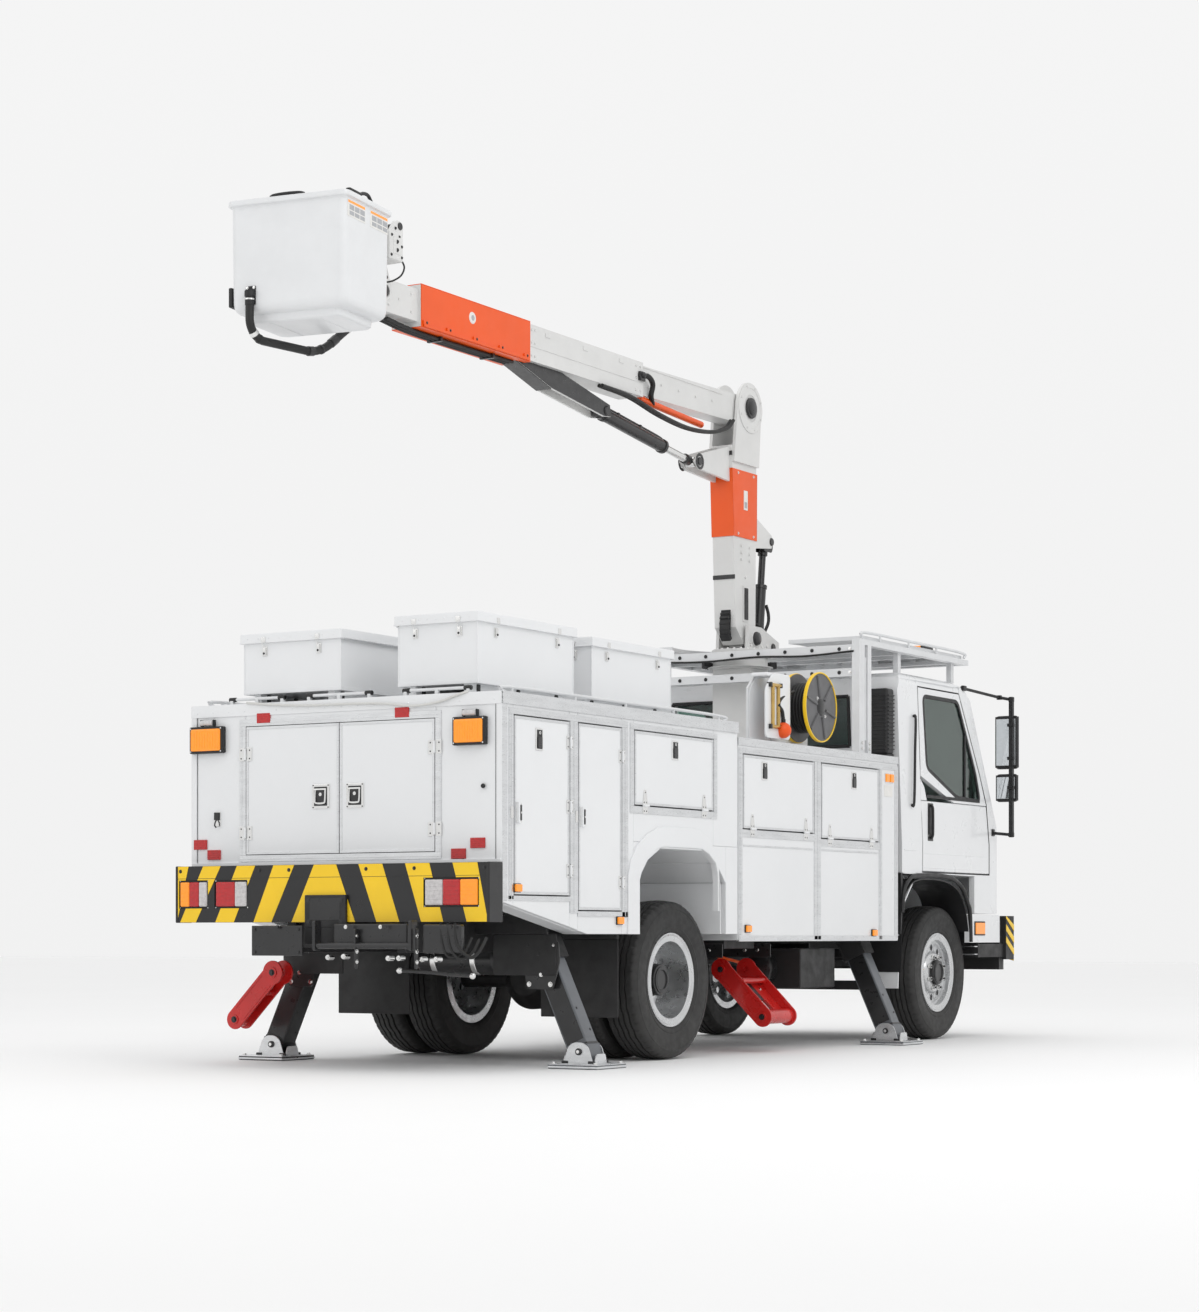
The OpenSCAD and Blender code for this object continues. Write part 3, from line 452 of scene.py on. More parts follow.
def spline(pts, n=8):
    pts = [Vector(p) for p in pts]
    if len(pts) == 2:
        return [pts[0].lerp(pts[1], i / n) for i in range(n + 1)]
    P = [pts[0] * 2 - pts[1]] + pts + [pts[-1] * 2 - pts[-2]]
    out = []
    for i in range(1, len(P) - 2):
        a, b, c, d = P[i - 1], P[i], P[i + 1], P[i + 2]
        for k in range(n):
            t = k / n
            out.append(0.5 * ((2 * b) + (c - a) * t + (2 * a - 5 * b + 4 * c - d) * t * t + (3 * b - a - 3 * c + d) * t * t * t))
    out.append(pts[-1])
    return out


def MX(s):
    """Mirror for the left side: s = -1 keeps the right side as built, s = +1 mirrors it."""
    return Matrix.Scale(-1 if s > 0 else 1, 4, Vector((1, 0, 0)))


def dress(name, mat, bevel=0.004, seg=2, angle=40.0, weld=True, dissolve=True):
    o = NODES[name]
    o.data.materials.clear()
    o.data.materials.append(mat)
    for s in o.material_slots:
        s.material = mat
    o.data.shade_smooth()
    if weld:
        w = o.modifiers.new("weld", "WELD")
        w.merge_threshold = 0.00005
    if dissolve:
        d = o.modifiers.new("planar", "DECIMATE")
        d.decimate_type = "DISSOLVE"
        d.angle_limit = math.radians(1.0)
    if bevel > 0:
        b = o.modifiers.new("bevel", "BEVEL")
        b.width = bevel
        b.segments = seg
        b.limit_method = "ANGLE"
        b.angle_limit = math.radians(angle)
        b.use_clamp_overlap = True
        b.harden_normals = False
    w = o.modifiers.new("weighted", "WEIGHTED_NORMAL")
    w.keep_sharp = True
    w.weight = 60
    return o


# ------------------------------------------------------------------ CAD nodes that stay
for n, m, b in [
    ("chassis_frame", BLACKP, 0.004), ("powertrain", BLACKP, 0.010), ("axles", BLACKP, 0.005),
    ("cab_shell", WHITE, 0.012), ("cab_glass", GLASSR, 0.0), ("cab_interior", TRIM, 0.020),
    ("mirrors", PLAST, 0.012), ("front_bumper", BLACKP, 0.010), ("fenders", WHITE, 0.006),
    ("service_body", BODYW, 0.005), ("side_boxes", BODYW, 0.005), ("rack", RACKM, 0.003), ("pedestal", BOOMW, 0.006),
    ("roof_boxes", BODYW, 0.006), ("rear_bumper", HBLACK, 0.006),
    ("knuckle_left", BLACKP, 0.004), ("knuckle_right", BLACKP, 0.004),
    ("rim_front_left", SILVER, 0.004), ("rim_front_right", SILVER, 0.004),
    ("rims_rear_left", SILVER, 0.004), ("rims_rear_right", SILVER, 0.004),
    ("rear_door_left", BODYW, 0.003), ("rear_door_right", BODYW, 0.003),
    ("lid_right", BODYW, 0.008), ("lid_left", BODYW, 0.008), ("lid_front", BODYW, 0.008),
    ("hose_reel", REELG, 0.003),
    ("leg_rear_right", GREY, 0.006), ("leg_rear_left", LEGK, 0.006), ("leg_front_right", GREY, 0.006), ("leg_front_left", GREY, 0.006),
    ("support_arm_right", RED, 0.003), ("support_arm_left", RED, 0.003),
    ("turret", BOOMW, 0.004), ("lower_boom", BOOMW, 0.006), ("upper_boom", BOOMW, 0.006), ("bucket_bracket", BOOMW, 0.006),
    ("lift_barrel", BSTEEL, 0.004), ("lift_rod", BSTEEL, 0.002), ("elbow_barrel", BSTEEL, 0.004), ("elbow_rod", CHROME, 0.002),
]:
    dress(n, m, b)
for k in range(1, 6):
    for sd in ("right", "left"):
        dress(f"door_{sd}_{k}", BODYW, 0.003)


# ------------------------------------------------------------------ wheels
WB = 4.132
AX = 0.508


def tyre(part, cx, cy, s, front):
    """A tyre with ribs, zigzag grooves and shoulder sipes."""
    half = [(0.2985, 0.096), (0.306, 0.106), (0.318, 0.114), (0.333, 0.1165), (0.3345, 0.1185), (0.341, 0.1185), (0.3425, 0.1175),
            (0.372, 0.1232), (0.400, 0.1248), (0.425, 0.1250), (0.448, 0.1240), (0.449, 0.1255), (0.455, 0.1253), (0.456, 0.1232),
            (0.474, 0.1192), (0.486, 0.1130), (0.4930, 0.1075), (0.4985, 0.1000), (0.5010, 0.0920), (0.5025, 0.0780),
            (0.5035, 0.0640), (0.4920, 0.0610), (0.4920, 0.0545), (0.5050, 0.0520), (0.5065, 0.0380), (0.5073, 0.0245),
            (0.4940, 0.0220), (0.4940, 0.0150), (0.5078, 0.0125), (0.5080, 0.0)]
    prof = half + [(r, -t) for r, t in half[-2::-1]]

    def mod(k, r, t):
        a = abs(t)
        if 0.010 < a < 0.068 and r > 0.48:
            ph = (k % 8) / 8.0
            tri = abs(ph * 2 - 1) * 2 - 1
            t += 0.0032 * tri * (0.6 if front else 1.0)
        if k % 4 == 0 and r > 0.478 and a > 0.070:
            r -= 0.007 if a < 0.104 else 0.0045
        if k % 8 == 4 and 0.4925 < r and a < 0.052 and r > 0.5:
            r -= 0.0022
        return r, t

    part.lathe(prof, (cx, cy, AX), (s, 0, 0), RUBBER, seg=224, mod=mod)


for sname, s in (("right", -1), ("left", 1)):
    p = Part(f"tread_front_{sname}", f"wheel_front_{sname}", "tyre")
    tyre(p, s * 0.9075, -WB, s, True)
    p.done(sharp=38, replaces=(f"tyre_front_{sname}",), wn=False)
    p = Part(f"tread_rear_{sname}", f"wheels_rear_{sname}", "tyre")
    tyre(p, s * 0.9075, 0, s, False)
    tyre(p, s * 0.6075, 0, s, False)
    p.done(sharp=38, replaces=(f"tyres_rear_{sname}",), wn=False)

    # front wheel trim: raised disc rings, hub, studs
    p = Part(f"hub_front_{sname}", f"wheel_front_{sname}", "wheel_silver")
    c = (s * 0.9075, -WB, AX)
    ax = (s, 0, 0)
    p.lathe([(0.262, 0.060), (0.292, 0.093), (0.3005, 0.1035), (0.3010, 0.1080), (0.2960, 0.1100), (0.2850, 0.1060), (0.272, 0.0930), (0.252, 0.066), (0.236, 0.0600), (0.232, 0.0585)],
            c, ax, SILVER, seg=96)
    # convex centre between the hub and the hand holes
    p.lathe([(0.1620, 0.0585), (0.158, 0.0680), (0.150, 0.0800), (0.139, 0.0860), (0.112, 0.0890), (0.098, 0.0900)], c, ax, SILVER, seg=96)
    p.lathe([(0.099, 0.0885), (0.098, 0.1050), (0.0925, 0.1150), (0.085, 0.1170), (0.0845, 0.1220), (0.070, 0.1255), (0.0665, 0.1240), (0.0640, 0.1165), (0.045, 0.1150), (0.0, 0.1145)],
            c, ax, BSTEEL, seg=64)
    for k in range(8):
        a = 2 * math.pi * (k + 0.5) / 8
        b = Vector((c[0] + s * 0.0865, c[1] + 0.122 * math.cos(a), c[2] + 0.122 * math.sin(a)))
        p.hexbolt(b, ax, 0.0155, CHROME, h=0.024)
        p.cyl(b + Vector(ax) * 0.022, b + Vector(ax) * 0.034, 0.008, BSTEEL, seg=12, b=0.001)
    for k in range(10):
        a = 2 * math.pi * k / 10
        q = Vector((c[0] + s * 0.0588, c[1] + 0.190 * math.cos(a), c[2] + 0.190 * math.sin(a)))
        p.lathe([(0.0238, -0.010), (0.0240, 0.0015), (0.0262, 0.0030), (0.0290, 0.0005)], q, ax, SILVER, seg=24)
    p.tube([(c[0] + s * 0.060, c[1] + 0.215, c[2] + 0.02), (c[0] + s * 0.085, c[1] + 0.222, c[2] + 0.022), (c[0] + s * 0.100, c[1] + 0.243, c[2] + 0.026)], 0.0045, BRASS, seg=8)
    p.done()

    # rear wheels: outer dish ring, hub with studs
    p = Part(f"hub_rear_{sname}", f"wheels_rear_{sname}", "wheel_silver")
    c = (s * 0.9075, 0, AX)
    p.lathe([(0.262, 0.074), (0.290, 0.090), (0.3005, 0.1035), (0.3010, 0.1080), (0.2960, 0.1100), (0.2850, 0.1060), (0.272, 0.0900), (0.250, 0.0760), (0.2485, 0.0700)],
            c, ax, SILVER, seg=96)
    # conical dish down to the disc
    p.lathe([(0.2465, 0.070), (0.2440, 0.010), (0.2360, -0.060), (0.2240, -0.092), (0.2200, -0.1005)], c, ax, SILVER, seg=96)
    p.lathe([(0.160, -0.1015), (0.156, -0.0940), (0.148, -0.0880), (0.104, -0.0860), (0.1015, -0.0855)], c, ax, SILVER, seg=96)
    p.lathe([(0.1015, -0.060), (0.1020, 0.0290), (0.0985, 0.0350), (0.086, 0.0370), (0.085, 0.0430), (0.066, 0.0460), (0.062, 0.0430), (0.060, 0.0370), (0.0, 0.0360)],
            c, ax, BSTEEL, seg=64)
    p.lathe([(0.1345, -0.0872), (0.1345, -0.0740), (0.1325, -0.0720), (0.1010, -0.0715)], c, ax, BLACKP, seg=64)
    for k in range(10):
        a = 2 * math.pi * (k + 0.5) / 10
        b = Vector((c[0] - s * 0.0720, c[1] + 0.1180 * math.cos(a), c[2] + 0.1180 * math.sin(a)))
        p.hexbolt(b, ax, 0.0140, CHROME, h=0.022)
        p.cyl(b + Vector(ax) * 0.020, b + Vector(ax) * 0.034, 0.008, BSTEEL, seg=12, b=0.001)
        q = Vector((c[0] + s * 0.0362, c[1] + 0.0760 * math.cos(a), c[2] + 0.0760 * math.sin(a)))
        p.hexbolt(q, ax, 0.0070, BSTEEL, h=0.008)
    p.tube([(c[0] - s * 0.100, c[1] + 0.205, c[2] - 0.02), (c[0] - s * 0.02, c[1] + 0.214, c[2] - 0.02), (c[0] + s * 0.045, c[1] + 0.226, c[2] - 0.022)], 0.0045, BRASS, seg=8)
    p.done()


# ------------------------------------------------------------------ service body sides
G = 0.007
D = {1: (1.431, 2.036, 1.030, 2.058), 2: (0.822, 1.326, 0.945, 2.058), 3: (-0.349, 0.661, 1.600, 2.055),
     4: (-1.798, -0.763, 1.500, 1.985), 5: (-2.842, -1.918, 1.470, 1.985)}


def strip(p, x, y0, y1, z0, z1, mat=ALU, t=0.0045, b=0.0012):
    """A flat profile on the right side plane at x (negative side), standing out by t."""
    p.box(x - t, x + 0.002, y0, y1, z0, z1, mat, b=b)


def ring(p, x, y0, y1, z0, z1, w, mat=ALU, t=0.0045):
    strip(p, x, y0, y1, z1 - w, z1, mat, t)
    strip(p, x, y0, y1, z0, z0 + w, mat, t)
    strip(p, x, y0, y0 + w, z0 + w, z1 - w, mat, t)
    strip(p, x, y1 - w, y1, z0 + w, z1 - w, mat, t)


def paddle(p, x, y, z, w=0.078, h=0.118, M=None):
    """A recessed paddle latch: dark dish, bright frame and paddle."""
    p.box(x - 0.0060, x + 0.001, y - w / 2, y + w / 2, z - h / 2, z + h / 2, CHROME, b=0.0030, M=M)
    p.box(x - 0.0068, x - 0.0030, y - w / 2 + 0.009, y + w / 2 - 0.009, z - h / 2 + 0.009, z + h / 2 - 0.009, PLAST, b=0.0020, M=M)
    p.box(x - 0.0125, x - 0.0050, y - w / 2 + 0.015, y + w / 2 - 0.015, z - h / 2 + 0.014, z + h * 0.12, BSTEEL, b=0.0030, M=M)
    p.cyl((x - 0.0065, y, z + h * 0.30), (x - 0.0100, y, z + h * 0.30), 0.010, CHROME, seg=20, b=0.001, M=M)
    p.box(x - 0.0110, x - 0.0095, y - 0.0012, y + 0.0012, z + h * 0.30 - 0.006, z + h * 0.30 + 0.006, PLAST, b=0, M=M)


def thandle(p, x, y, z, M=None):
    """A T-handle with its oval plate and locking hasp."""
    p.box(x - 0.0055, x + 0.001, y - 0.028, y + 0.028, z - 0.058, z + 0.058, CHROME, b=0.0030, M=M)
    p.box(x - 0.0075, x - 0.0045, y - 0.021, y + 0.021, z - 0.050, z + 0.050, PLAST, b=0.0015, M=M)
    p.cyl((x - 0.004, y, z), (x - 0.0135, y, z), 0.013, BSTEEL, seg=20, b=0.0015, M=M)
    p.box(x - 0.0215, x - 0.0125, y - 0.010, y + 0.010, z - 0.046, z + 0.046, BSTEEL, b=0.0040, M=M)
    p.cyl((x - 0.0215, y, z), (x - 0.0225, y, z), 0.006, CHROME, seg=16, M=M)


def hinge_v(p_body, p_door, x, y, z, side, M=None):
    """Leaves of a hinge with an upright pin at y; the door lies on the +y side if side is +1."""
    for q, d, dz in ((p_door, side, 1), (p_body, -side, 1)):
        a, b = sorted((y + d * 0.006, y + d * 0.036))
        q.box(x - 0.0060, x + 0.001, a, b, z - 0.005, z + 0.075, CHROME, b=0.0015, M=M)
        for zz in (z + 0.010, z + 0.060):
            q.ball((x - 0.0060, (a + b) / 2 + d * 0.004, zz), 0.0045, BSTEEL, seg=10, sc=(0.5, 1, 1), M=M)


def hinge_h(p_body, p_door, x, y, z, M=None):
    """Strap hinge with a level pin, the door above it."""
    p_door.prism("x", [(y + 0.005, z + 0.004), (y + 0.065, z + 0.004), (y + 0.056, z + 0.060), (y + 0.046, z + 0.098), (y + 0.024, z + 0.098), (y + 0.014, z + 0.060)],
                 x - 0.0058, x + 0.001, CHROME, b=0.0012, M=M)
    for yy, zz in ((y + 0.020, z + 0.020), (y + 0.050, z + 0.020), (y + 0.035, z + 0.082)):
        p_door.ball((x - 0.0056, yy, zz), 0.0048, BSTEEL, seg=10, sc=(0.5, 1, 1), M=M)
    p_body.box(x - 0.0055, x + 0.001, y + 0.004, y + 0.066, z - 0.050, z - 0.006, CHROME, b=0.0015, M=M)
    for yy in (y + 0.020, y + 0.050):
        p_body.ball((x - 0.0056, yy, z - 0.034), 0.0048, BSTEEL, seg=10, sc=(0.5, 1, 1), M=M)


def marker(p, x, y, z, w=0.076, h=0.052, M=None):
    """Amber side marker on a black base."""
    p.box(x - 0.006, x + 0.001, y - w / 2, y + w / 2, z - h / 2, z + h / 2, PLAST, b=0.002, M=M)
    p.box(x - 0.020, x - 0.004, y - w / 2 + 0.004, y + w / 2 - 0.004, z - h / 2 + 0.004, z + h / 2 - 0.004, AMBER, b=0.006, M=M)


for sname, s in (("right", -1), ("left", 1)):
    M = MX(s)
    X = -HW
    XD = -HW - 0.003
    body = Part(f"body_frames_{sname}", "chassis", "aluminium_rack")
    P = lambda *a, **k: None
    # frames round the openings on the body
    y0, y1, z0, z1 = D[1]
    for (a, b, c, d) in ((1.355, 2.082, 0.985, 2.104), (0.748, 1.398, 0.900, 2.104)):
        pass
    T = 0.0052
    # rear high section: top rail, posts, lower rails
    body.box(X - T, X + 0.002, 0.740, 2.092, 2.066, 2.104, ALU, b=0.0015, M=M)
    body.box(X - T, X + 0.002, 2.045, 2.092, 1.000, 2.066, ALU, b=0.0015, M=M)
    body.box(X - T, X + 0.002, 1.334, 1.422, 0.925, 2.066, ALU, b=0.0015, M=M)
    body.box(X - T, X + 0.002, 0.740, 0.814, 0.905, 2.066, ALU, b=0.0015, M=M)
    body.prism("x", [(1.420, 0.993), (2.092, 0.993), (2.092, 1.022), (1.420, 1.022)], X - T, X + 0.002, ALU, b=0.0015, M=M)
    body.prism("x", [(0.740, 0.905), (1.334, 0.905), (1.334, 0.937), (0.740, 0.937)], X - T, X + 0.002, ALU, b=0.0015, M=M)
    # drop door over the arch
    for a, b, c, d in ((-0.404, 0.716, 2.064, 2.100), (-0.404, 0.716, 1.546, 1.591), (-0.404, -0.358, 1.591, 2.064), (0.670, 0.716, 1.591, 2.064)):
        body.box(X - T, X + 0.002, a, b, c, d, ALU, b=0.0015, M=M)
    # low section: rails and posts
    for a, b, c, d in ((-3.168, -0.704, 1.994, 2.030), (-0.752, -0.704, 0.760, 1.994), (-1.908, -1.808, 0.760, 1.994), (-2.900, -2.852, 0.760, 1.994),
                       (-3.168, -3.120, 0.760, 1.994), (-1.808, -0.752, 1.440, 1.491), (-2.852, -1.908, 1.410, 1.461), (-3.120, -0.752, 0.762, 0.790)):
        body.box(X - T, X + 0.002, a, b, c, d, ALU, b=0.0015, M=M)
    # narrow bead lines along the rails
    for a, b, z in ((0.740, 2.092, 2.085), (-0.404, 0.716, 2.082), (-3.168, -0.704, 2.012), (-1.808, -0.752, 1.465), (-2.852, -1.908, 1.436)):
        body.box(X - T - 0.0018, X - T + 0.001, a + 0.002, b - 0.002, z - 0.004, z + 0.004, ALU, b=0.0008, M=M)
    for y, a, b in ((2.068, 1.000, 2.064), (1.378, 0.930, 2.064), (0.777, 0.910, 2.064), (-1.858, 0.765, 1.992), (-2.876, 0.765, 1.992), (-0.728, 0.765, 1.992), (-3.144, 0.765, 1.992)):
        body.box(X - T - 0.0018, X - T + 0.001, y - 0.004, y + 0.004, a, b, ALU, b=0.0008, M=M)
    # top corner caps and drip rail along the roof edge
    body.prism("y", [(X - 0.010, 2.120), (X - 0.010, 2.192), (X + 0.045, 2.192), (X + 0.045, 2.1865), (X - 0.0040, 2.1865), (X - 0.0040, 2.120)], -0.690, 2.158, ALU, b=0.0008, M=M)
    body.prism("y", [(X - 0.008, 2.044), (X - 0.008, 2.096), (X + 0.045, 2.096), (X + 0.045, 2.0905), (X - 0.0030, 2.0905), (X - 0.0030, 2.044)], -3.170, -0.692, ALU, b=0.0008, M=M)
    # rear corner post
    body.box(X - 0.006, X + 0.030, 2.110, 2.162, 0.992, 2.120, ALU, b=0.0030, M=M)
    # wheel arch flare: a flat lip round the opening
    outer = [(0.748, 0.800), (0.748, 1.160), (0.715, 1.255), (0.640, 1.345), (0.520, 1.418), (0.380, 1.466), (0.300, 1.473), (-0.060, 1.473), (-0.160, 1.462), (-0.285, 1.412), (-0.372, 1.330), (-0.414, 1.235), (-0.420, 1.150), (-0.420, 0.950)]
    inner = [(0.600, 0.800), (0.600, 1.135), (0.574, 1.190), (0.500, 1.270), (0.400, 1.325), (0.330, 1.341), (0.260, 1.344), (-0.120, 1.344), (-0.200, 1.341), (-0.290, 1.310), (-0.375, 1.255), (-0.398, 1.200), (-0.404, 1.130), (-0.404, 0.950)]
    so, si = [], []
    for q, out in ((outer, so), (inner, si)):
        for i in range(len(q) - 1):
            for k in range(3):
                t = k / 3
                out.append((q[i][0] * (1 - t) + q[i + 1][0] * t, q[i][1] * (1 - t) + q[i + 1][1] * t))
        out.append(q[-1])
    bm = bmesh.new()
    rows = []
    for (ya, za), (yb, zb) in zip(so, si):
        ny, nz = yb - ya, zb - za
        L = math.hypot(ny, nz)
        f = [(X + 0.002, 0.0), (X - 0.0100, 0.0), (X - 0.0125, min(0.010 / L, 0.2)), (X - 0.0125, 1 - min(0.020 / L, 0.3)), (X - 0.0090, 1 - min(0.006 / L, 0.1)), (X + 0.002, 1.0), (X + 0.030, 1.0)]
        rows.append([bm.verts.new((xx, ya + ny * t, za + nz * t)) for xx, t in f])
    for a, b in zip(rows, rows[1:]):
        for i in range(len(a) - 1):
            bm.faces.new((a[i], b[i], b[i + 1], a[i + 1]))
    body.put(bm, BODYW, M)
    # skirt edges
    body.box(X - 0.004, X + 0.020, -3.165, -0.705, 0.752, 0.766, ALU, b=0.002, M=M)
    # lower fixed panels: shallow press lines
    for a, b in ((-1.800, -0.760), (-2.845, -1.916)):
        for z in (1.385,):
            body.box(X - 0.0035, X + 0.001, a + 0.010, b - 0.010, z - 0.006, z + 0.006, ALU, b=0.001, M=M)
    # markers
    for y, z in ((2.008, 1.066), (0.847, 0.883), (-0.822, 0.836), (-2.760, 0.810)):
        marker(body, X - 0.003, y, z, M=M)
    # small orange lamp pair and blank plates on the end post
    for y in (-2.985, -3.060):
        body.box(X - 0.014, X + 0.001, y - 0.028, y + 0.028, 1.905, 1.965, AMBER, b=0.005, M=M)
        body.box(X - 0.005, X + 0.001, y - 0.033, y + 0.033, 1.900, 1.970, CHROME, b=0.002, M=M)
    body.box(X - 0.0035, X + 0.001, -3.08, -2.94, 1.800, 1.880, LABEL, b=0.001, M=M)
    for z in (1.20, 1.32, 1.46, 1.60, 1.74):
        body.ball((X, -3.09, z), 0.006, ALU, seg=10, sc=(0.5, 1, 1), M=M)
    # rivets along the high rail
    for i in range(17):
        body.ball((X - 0.004, 0.80 - 0.0 + i * 0.080, 2.150), 0.0042, ALU, seg=8, sc=(0.45, 1, 1), M=M)
    doors = {k: Part(f"door_trim_{sname}_{k}", f"door_{sname}_{k}", "aluminium_rack") for k in D}
    for k, (a, b, c, d) in D.items():
        q = doors[k]
        w = 0.016
        for e in ((a, b, d - w, d), (a, b, c, c + w), (a, a + w, c + w, d - w), (b - w, b, c + w, d - w)):
            q.box(XD - 0.0030, XD + 0.001, *e, ALU, b=0.0010, M=M)
        # weather seal in the gap
        for e in ((a - 0.004, b + 0.004, d + 0.000, d + 0.004), (a - 0.004, b + 0.004, c - 0.004, c), (a - 0.004, a, c, d), (b, b + 0.004, c, d)):
            q.box(X + 0.004, X + 0.020, *e, GAP, b=0.0, M=M)
    # doors 1 and 2: handles on the rear edge and hinges on the front edge
    thandle(doors[1], XD, 1.992, 1.500, M=M)
    paddle(doors[1], XD, 1.770, 1.935, w=0.078, h=0.130, M=M)
    thandle(doors[2], XD, 1.284, 1.500, M=M)
    for z in (1.14, 1.52, 1.90):
        hinge_v(body, doors[1], XD, 1.4275, z, 1, M=M)
    for z in (1.08, 1.85):
        hinge_v(body, doors[2], XD, 0.8185, z, 1, M=M)
    # striker plates for the handles
    body.box(X - 0.011, X - 0.002, 2.052, 2.078, 1.465, 1.535, CHROME, b=0.003, M=M)
    body.box(X - 0.011, X - 0.002, 1.342, 1.366, 1.465, 1.535, CHROME, b=0.003, M=M)
    for k in (3, 4, 5):
        a, b, c, d = D[k]
        for y in (a + 0.090, b - 0.160):
            hinge_h(body, doors[k], XD, y, c - 0.0035, M=M)
        paddle(doors[k], XD, (a + b) / 2 if k == 3 else (b - 0.30 if k == 4 else (a + b) / 2 - 0.05), d - 0.095, w=0.080, h=0.122, M=M)
    body.done()
    for q in doors.values():
        q.done()


# ------------------------------------------------------------------ rear face
YR = 2.160          # rear plane of the body
YD = 2.163          # outside of the rear doors


def ry(p, x0, x1, z0, z1, mat, t=0.0052, y=YR, b=0.0015):
    p.box(x0, x1, y - 0.002, y + t, z0, z1, mat, b=b)


rear = Part("rear_frame", "chassis", "aluminium_rack")
for a, b, c, d in ((-0.712, 0.760, 2.054, 2.096), (-0.712, 0.760, 1.236, 1.276), (-0.712, -0.6690, 1.276, 2.054), (0.7120, 0.760, 1.276, 2.054)):
    ry(rear, a, b, c, d, ALU)
for a, b, c, d in ((-0.710, 0.758, 2.072, 2.080), (-0.710, 0.758, 1.250, 1.258)):
    ry(rear, a, b, c, d, ALU, t=0.0072, b=0.0008)
for xx in (-0.700, 0.744):
    ry(rear, xx - 0.004, xx + 0.004, 1.278, 2.052, ALU, t=0.0072, b=0.0008)
# roof edge angle across the back and corner caps
rear.prism("x", [(YR + 0.0075, 2.118), (YR + 0.0075, 2.192), (YR - 0.050, 2.192), (YR - 0.050, 2.1865), (YR + 0.002, 2.1865), (YR + 0.002, 2.118)], -1.126, 1.126, BODYW, b=0.0008)
for i in range(19):
    rear.ball((-1.08 + i * 0.120, YR + 0.0075, 2.145), 0.0050, ALU, seg=8, sc=(1, 0.45, 1))
# corner posts
for s in (-1, 1):
    rear.box(s * 1.128, s * 1.090, YR - 0.010, YR + 0.005, 1.212, 2.120, BODYW, b=0.004)
    rear.box(s * 1.086, s * 1.0835, YR - 0.002, YR + 0.0022, 1.212, 2.120, GAP, b=0.0)
# lower ledge above the bumper
rear.box(-1.125, 1.125, YR - 0.010, YR + 0.012, 1.213, 1.232, BODYW, b=0.003)
# amber lamps in black housings, with the round marker above
for x0, x1, z0, z1 in ((0.874, 1.112, 1.907, 2.054), (-1.025, -0.816, 1.894, 2.042)):
    rear.box(x0 - 0.008, x1 + 0.008, YR, YR + 0.040, z0 - 0.008, z1 + 0.008, PLAST, b=0.008)
    n = 11
    rear.box(x0 + 0.006, x1 - 0.006, YR + 0.020, YR + 0.052, z0 + 0.006, z1 - 0.006, AMBER, b=0.012, seg=3)
    for k in range(n):
        xx = x0 + 0.018 + (x1 - x0 - 0.036) * k / (n - 1)
        rear.box(xx - 0.003, xx + 0.003, YR + 0.048, YR + 0.0540, z0 + 0.018, z1 - 0.018, AMBER, b=0.002)
    xm = (x0 + x1) / 2
    rear.cyl((xm - 0.045, YR + 0.026, z1 + 0.030), (xm + 0.045, YR + 0.026, z1 + 0.030), 0.0165, CLEARL, seg=24, b=0.003)
    for dx in (-0.050, 0.044):
        rear.box(xm + dx, xm + dx + 0.006, YR, YR + 0.030, z1 + 0.010, z1 + 0.050, PLAST, b=0.002)
    for dx in (x0 + 0.004, x1 - 0.004):
        for zz in (z0 + 0.004, z1 - 0.004):
            rear.cyl((dx, YR + 0.038, zz), (dx, YR + 0.0420, zz), 0.005, CHROME, seg=12, b=0.0008)
# red reflectors
for x, z in ((0.577, 2.10), (-0.436, 2.094), (1.060, 1.345), (0.955, 1.282), (-0.964, 1.324), (-0.831, 1.264)):
    rear.box(x - 0.050, x + 0.050, YR, YR + 0.010, z - 0.030, z + 0.030, REDREF, b=0.003)
    for k in range(5):
        rear.box(x - 0.046, x + 0.046, YR + 0.009, YR + 0.0112, z - 0.024 + k * 0.012 - 0.0035, z - 0.024 + k * 0.012 + 0.0035, REDREF, b=0.001)
# hook latch on the left corner post
rear.box(0.905, 0.955, YR, YR + 0.006, 1.455, 1.545, CHROME, b=0.003)
rear.box(0.912, 0.948, YR + 0.005, YR + 0.018, 1.492, 1.540, BSTEEL, b=0.004)
rear.tube([(0.930, YR + 0.012, 1.495), (0.930, YR + 0.026, 1.478), (0.930, YR + 0.030, 1.460), (0.928, YR + 0.020, 1.448)], 0.0045, BSTEEL, seg=10)
rear.ball((-1.005, YR + 0.012, 1.650), 0.014, PLAST, seg=16)
rear.cyl((-1.005, YR, 1.650), (-1.005, YR + 0.010, 1.650), 0.010, CHROME, seg=16, b=0.001)

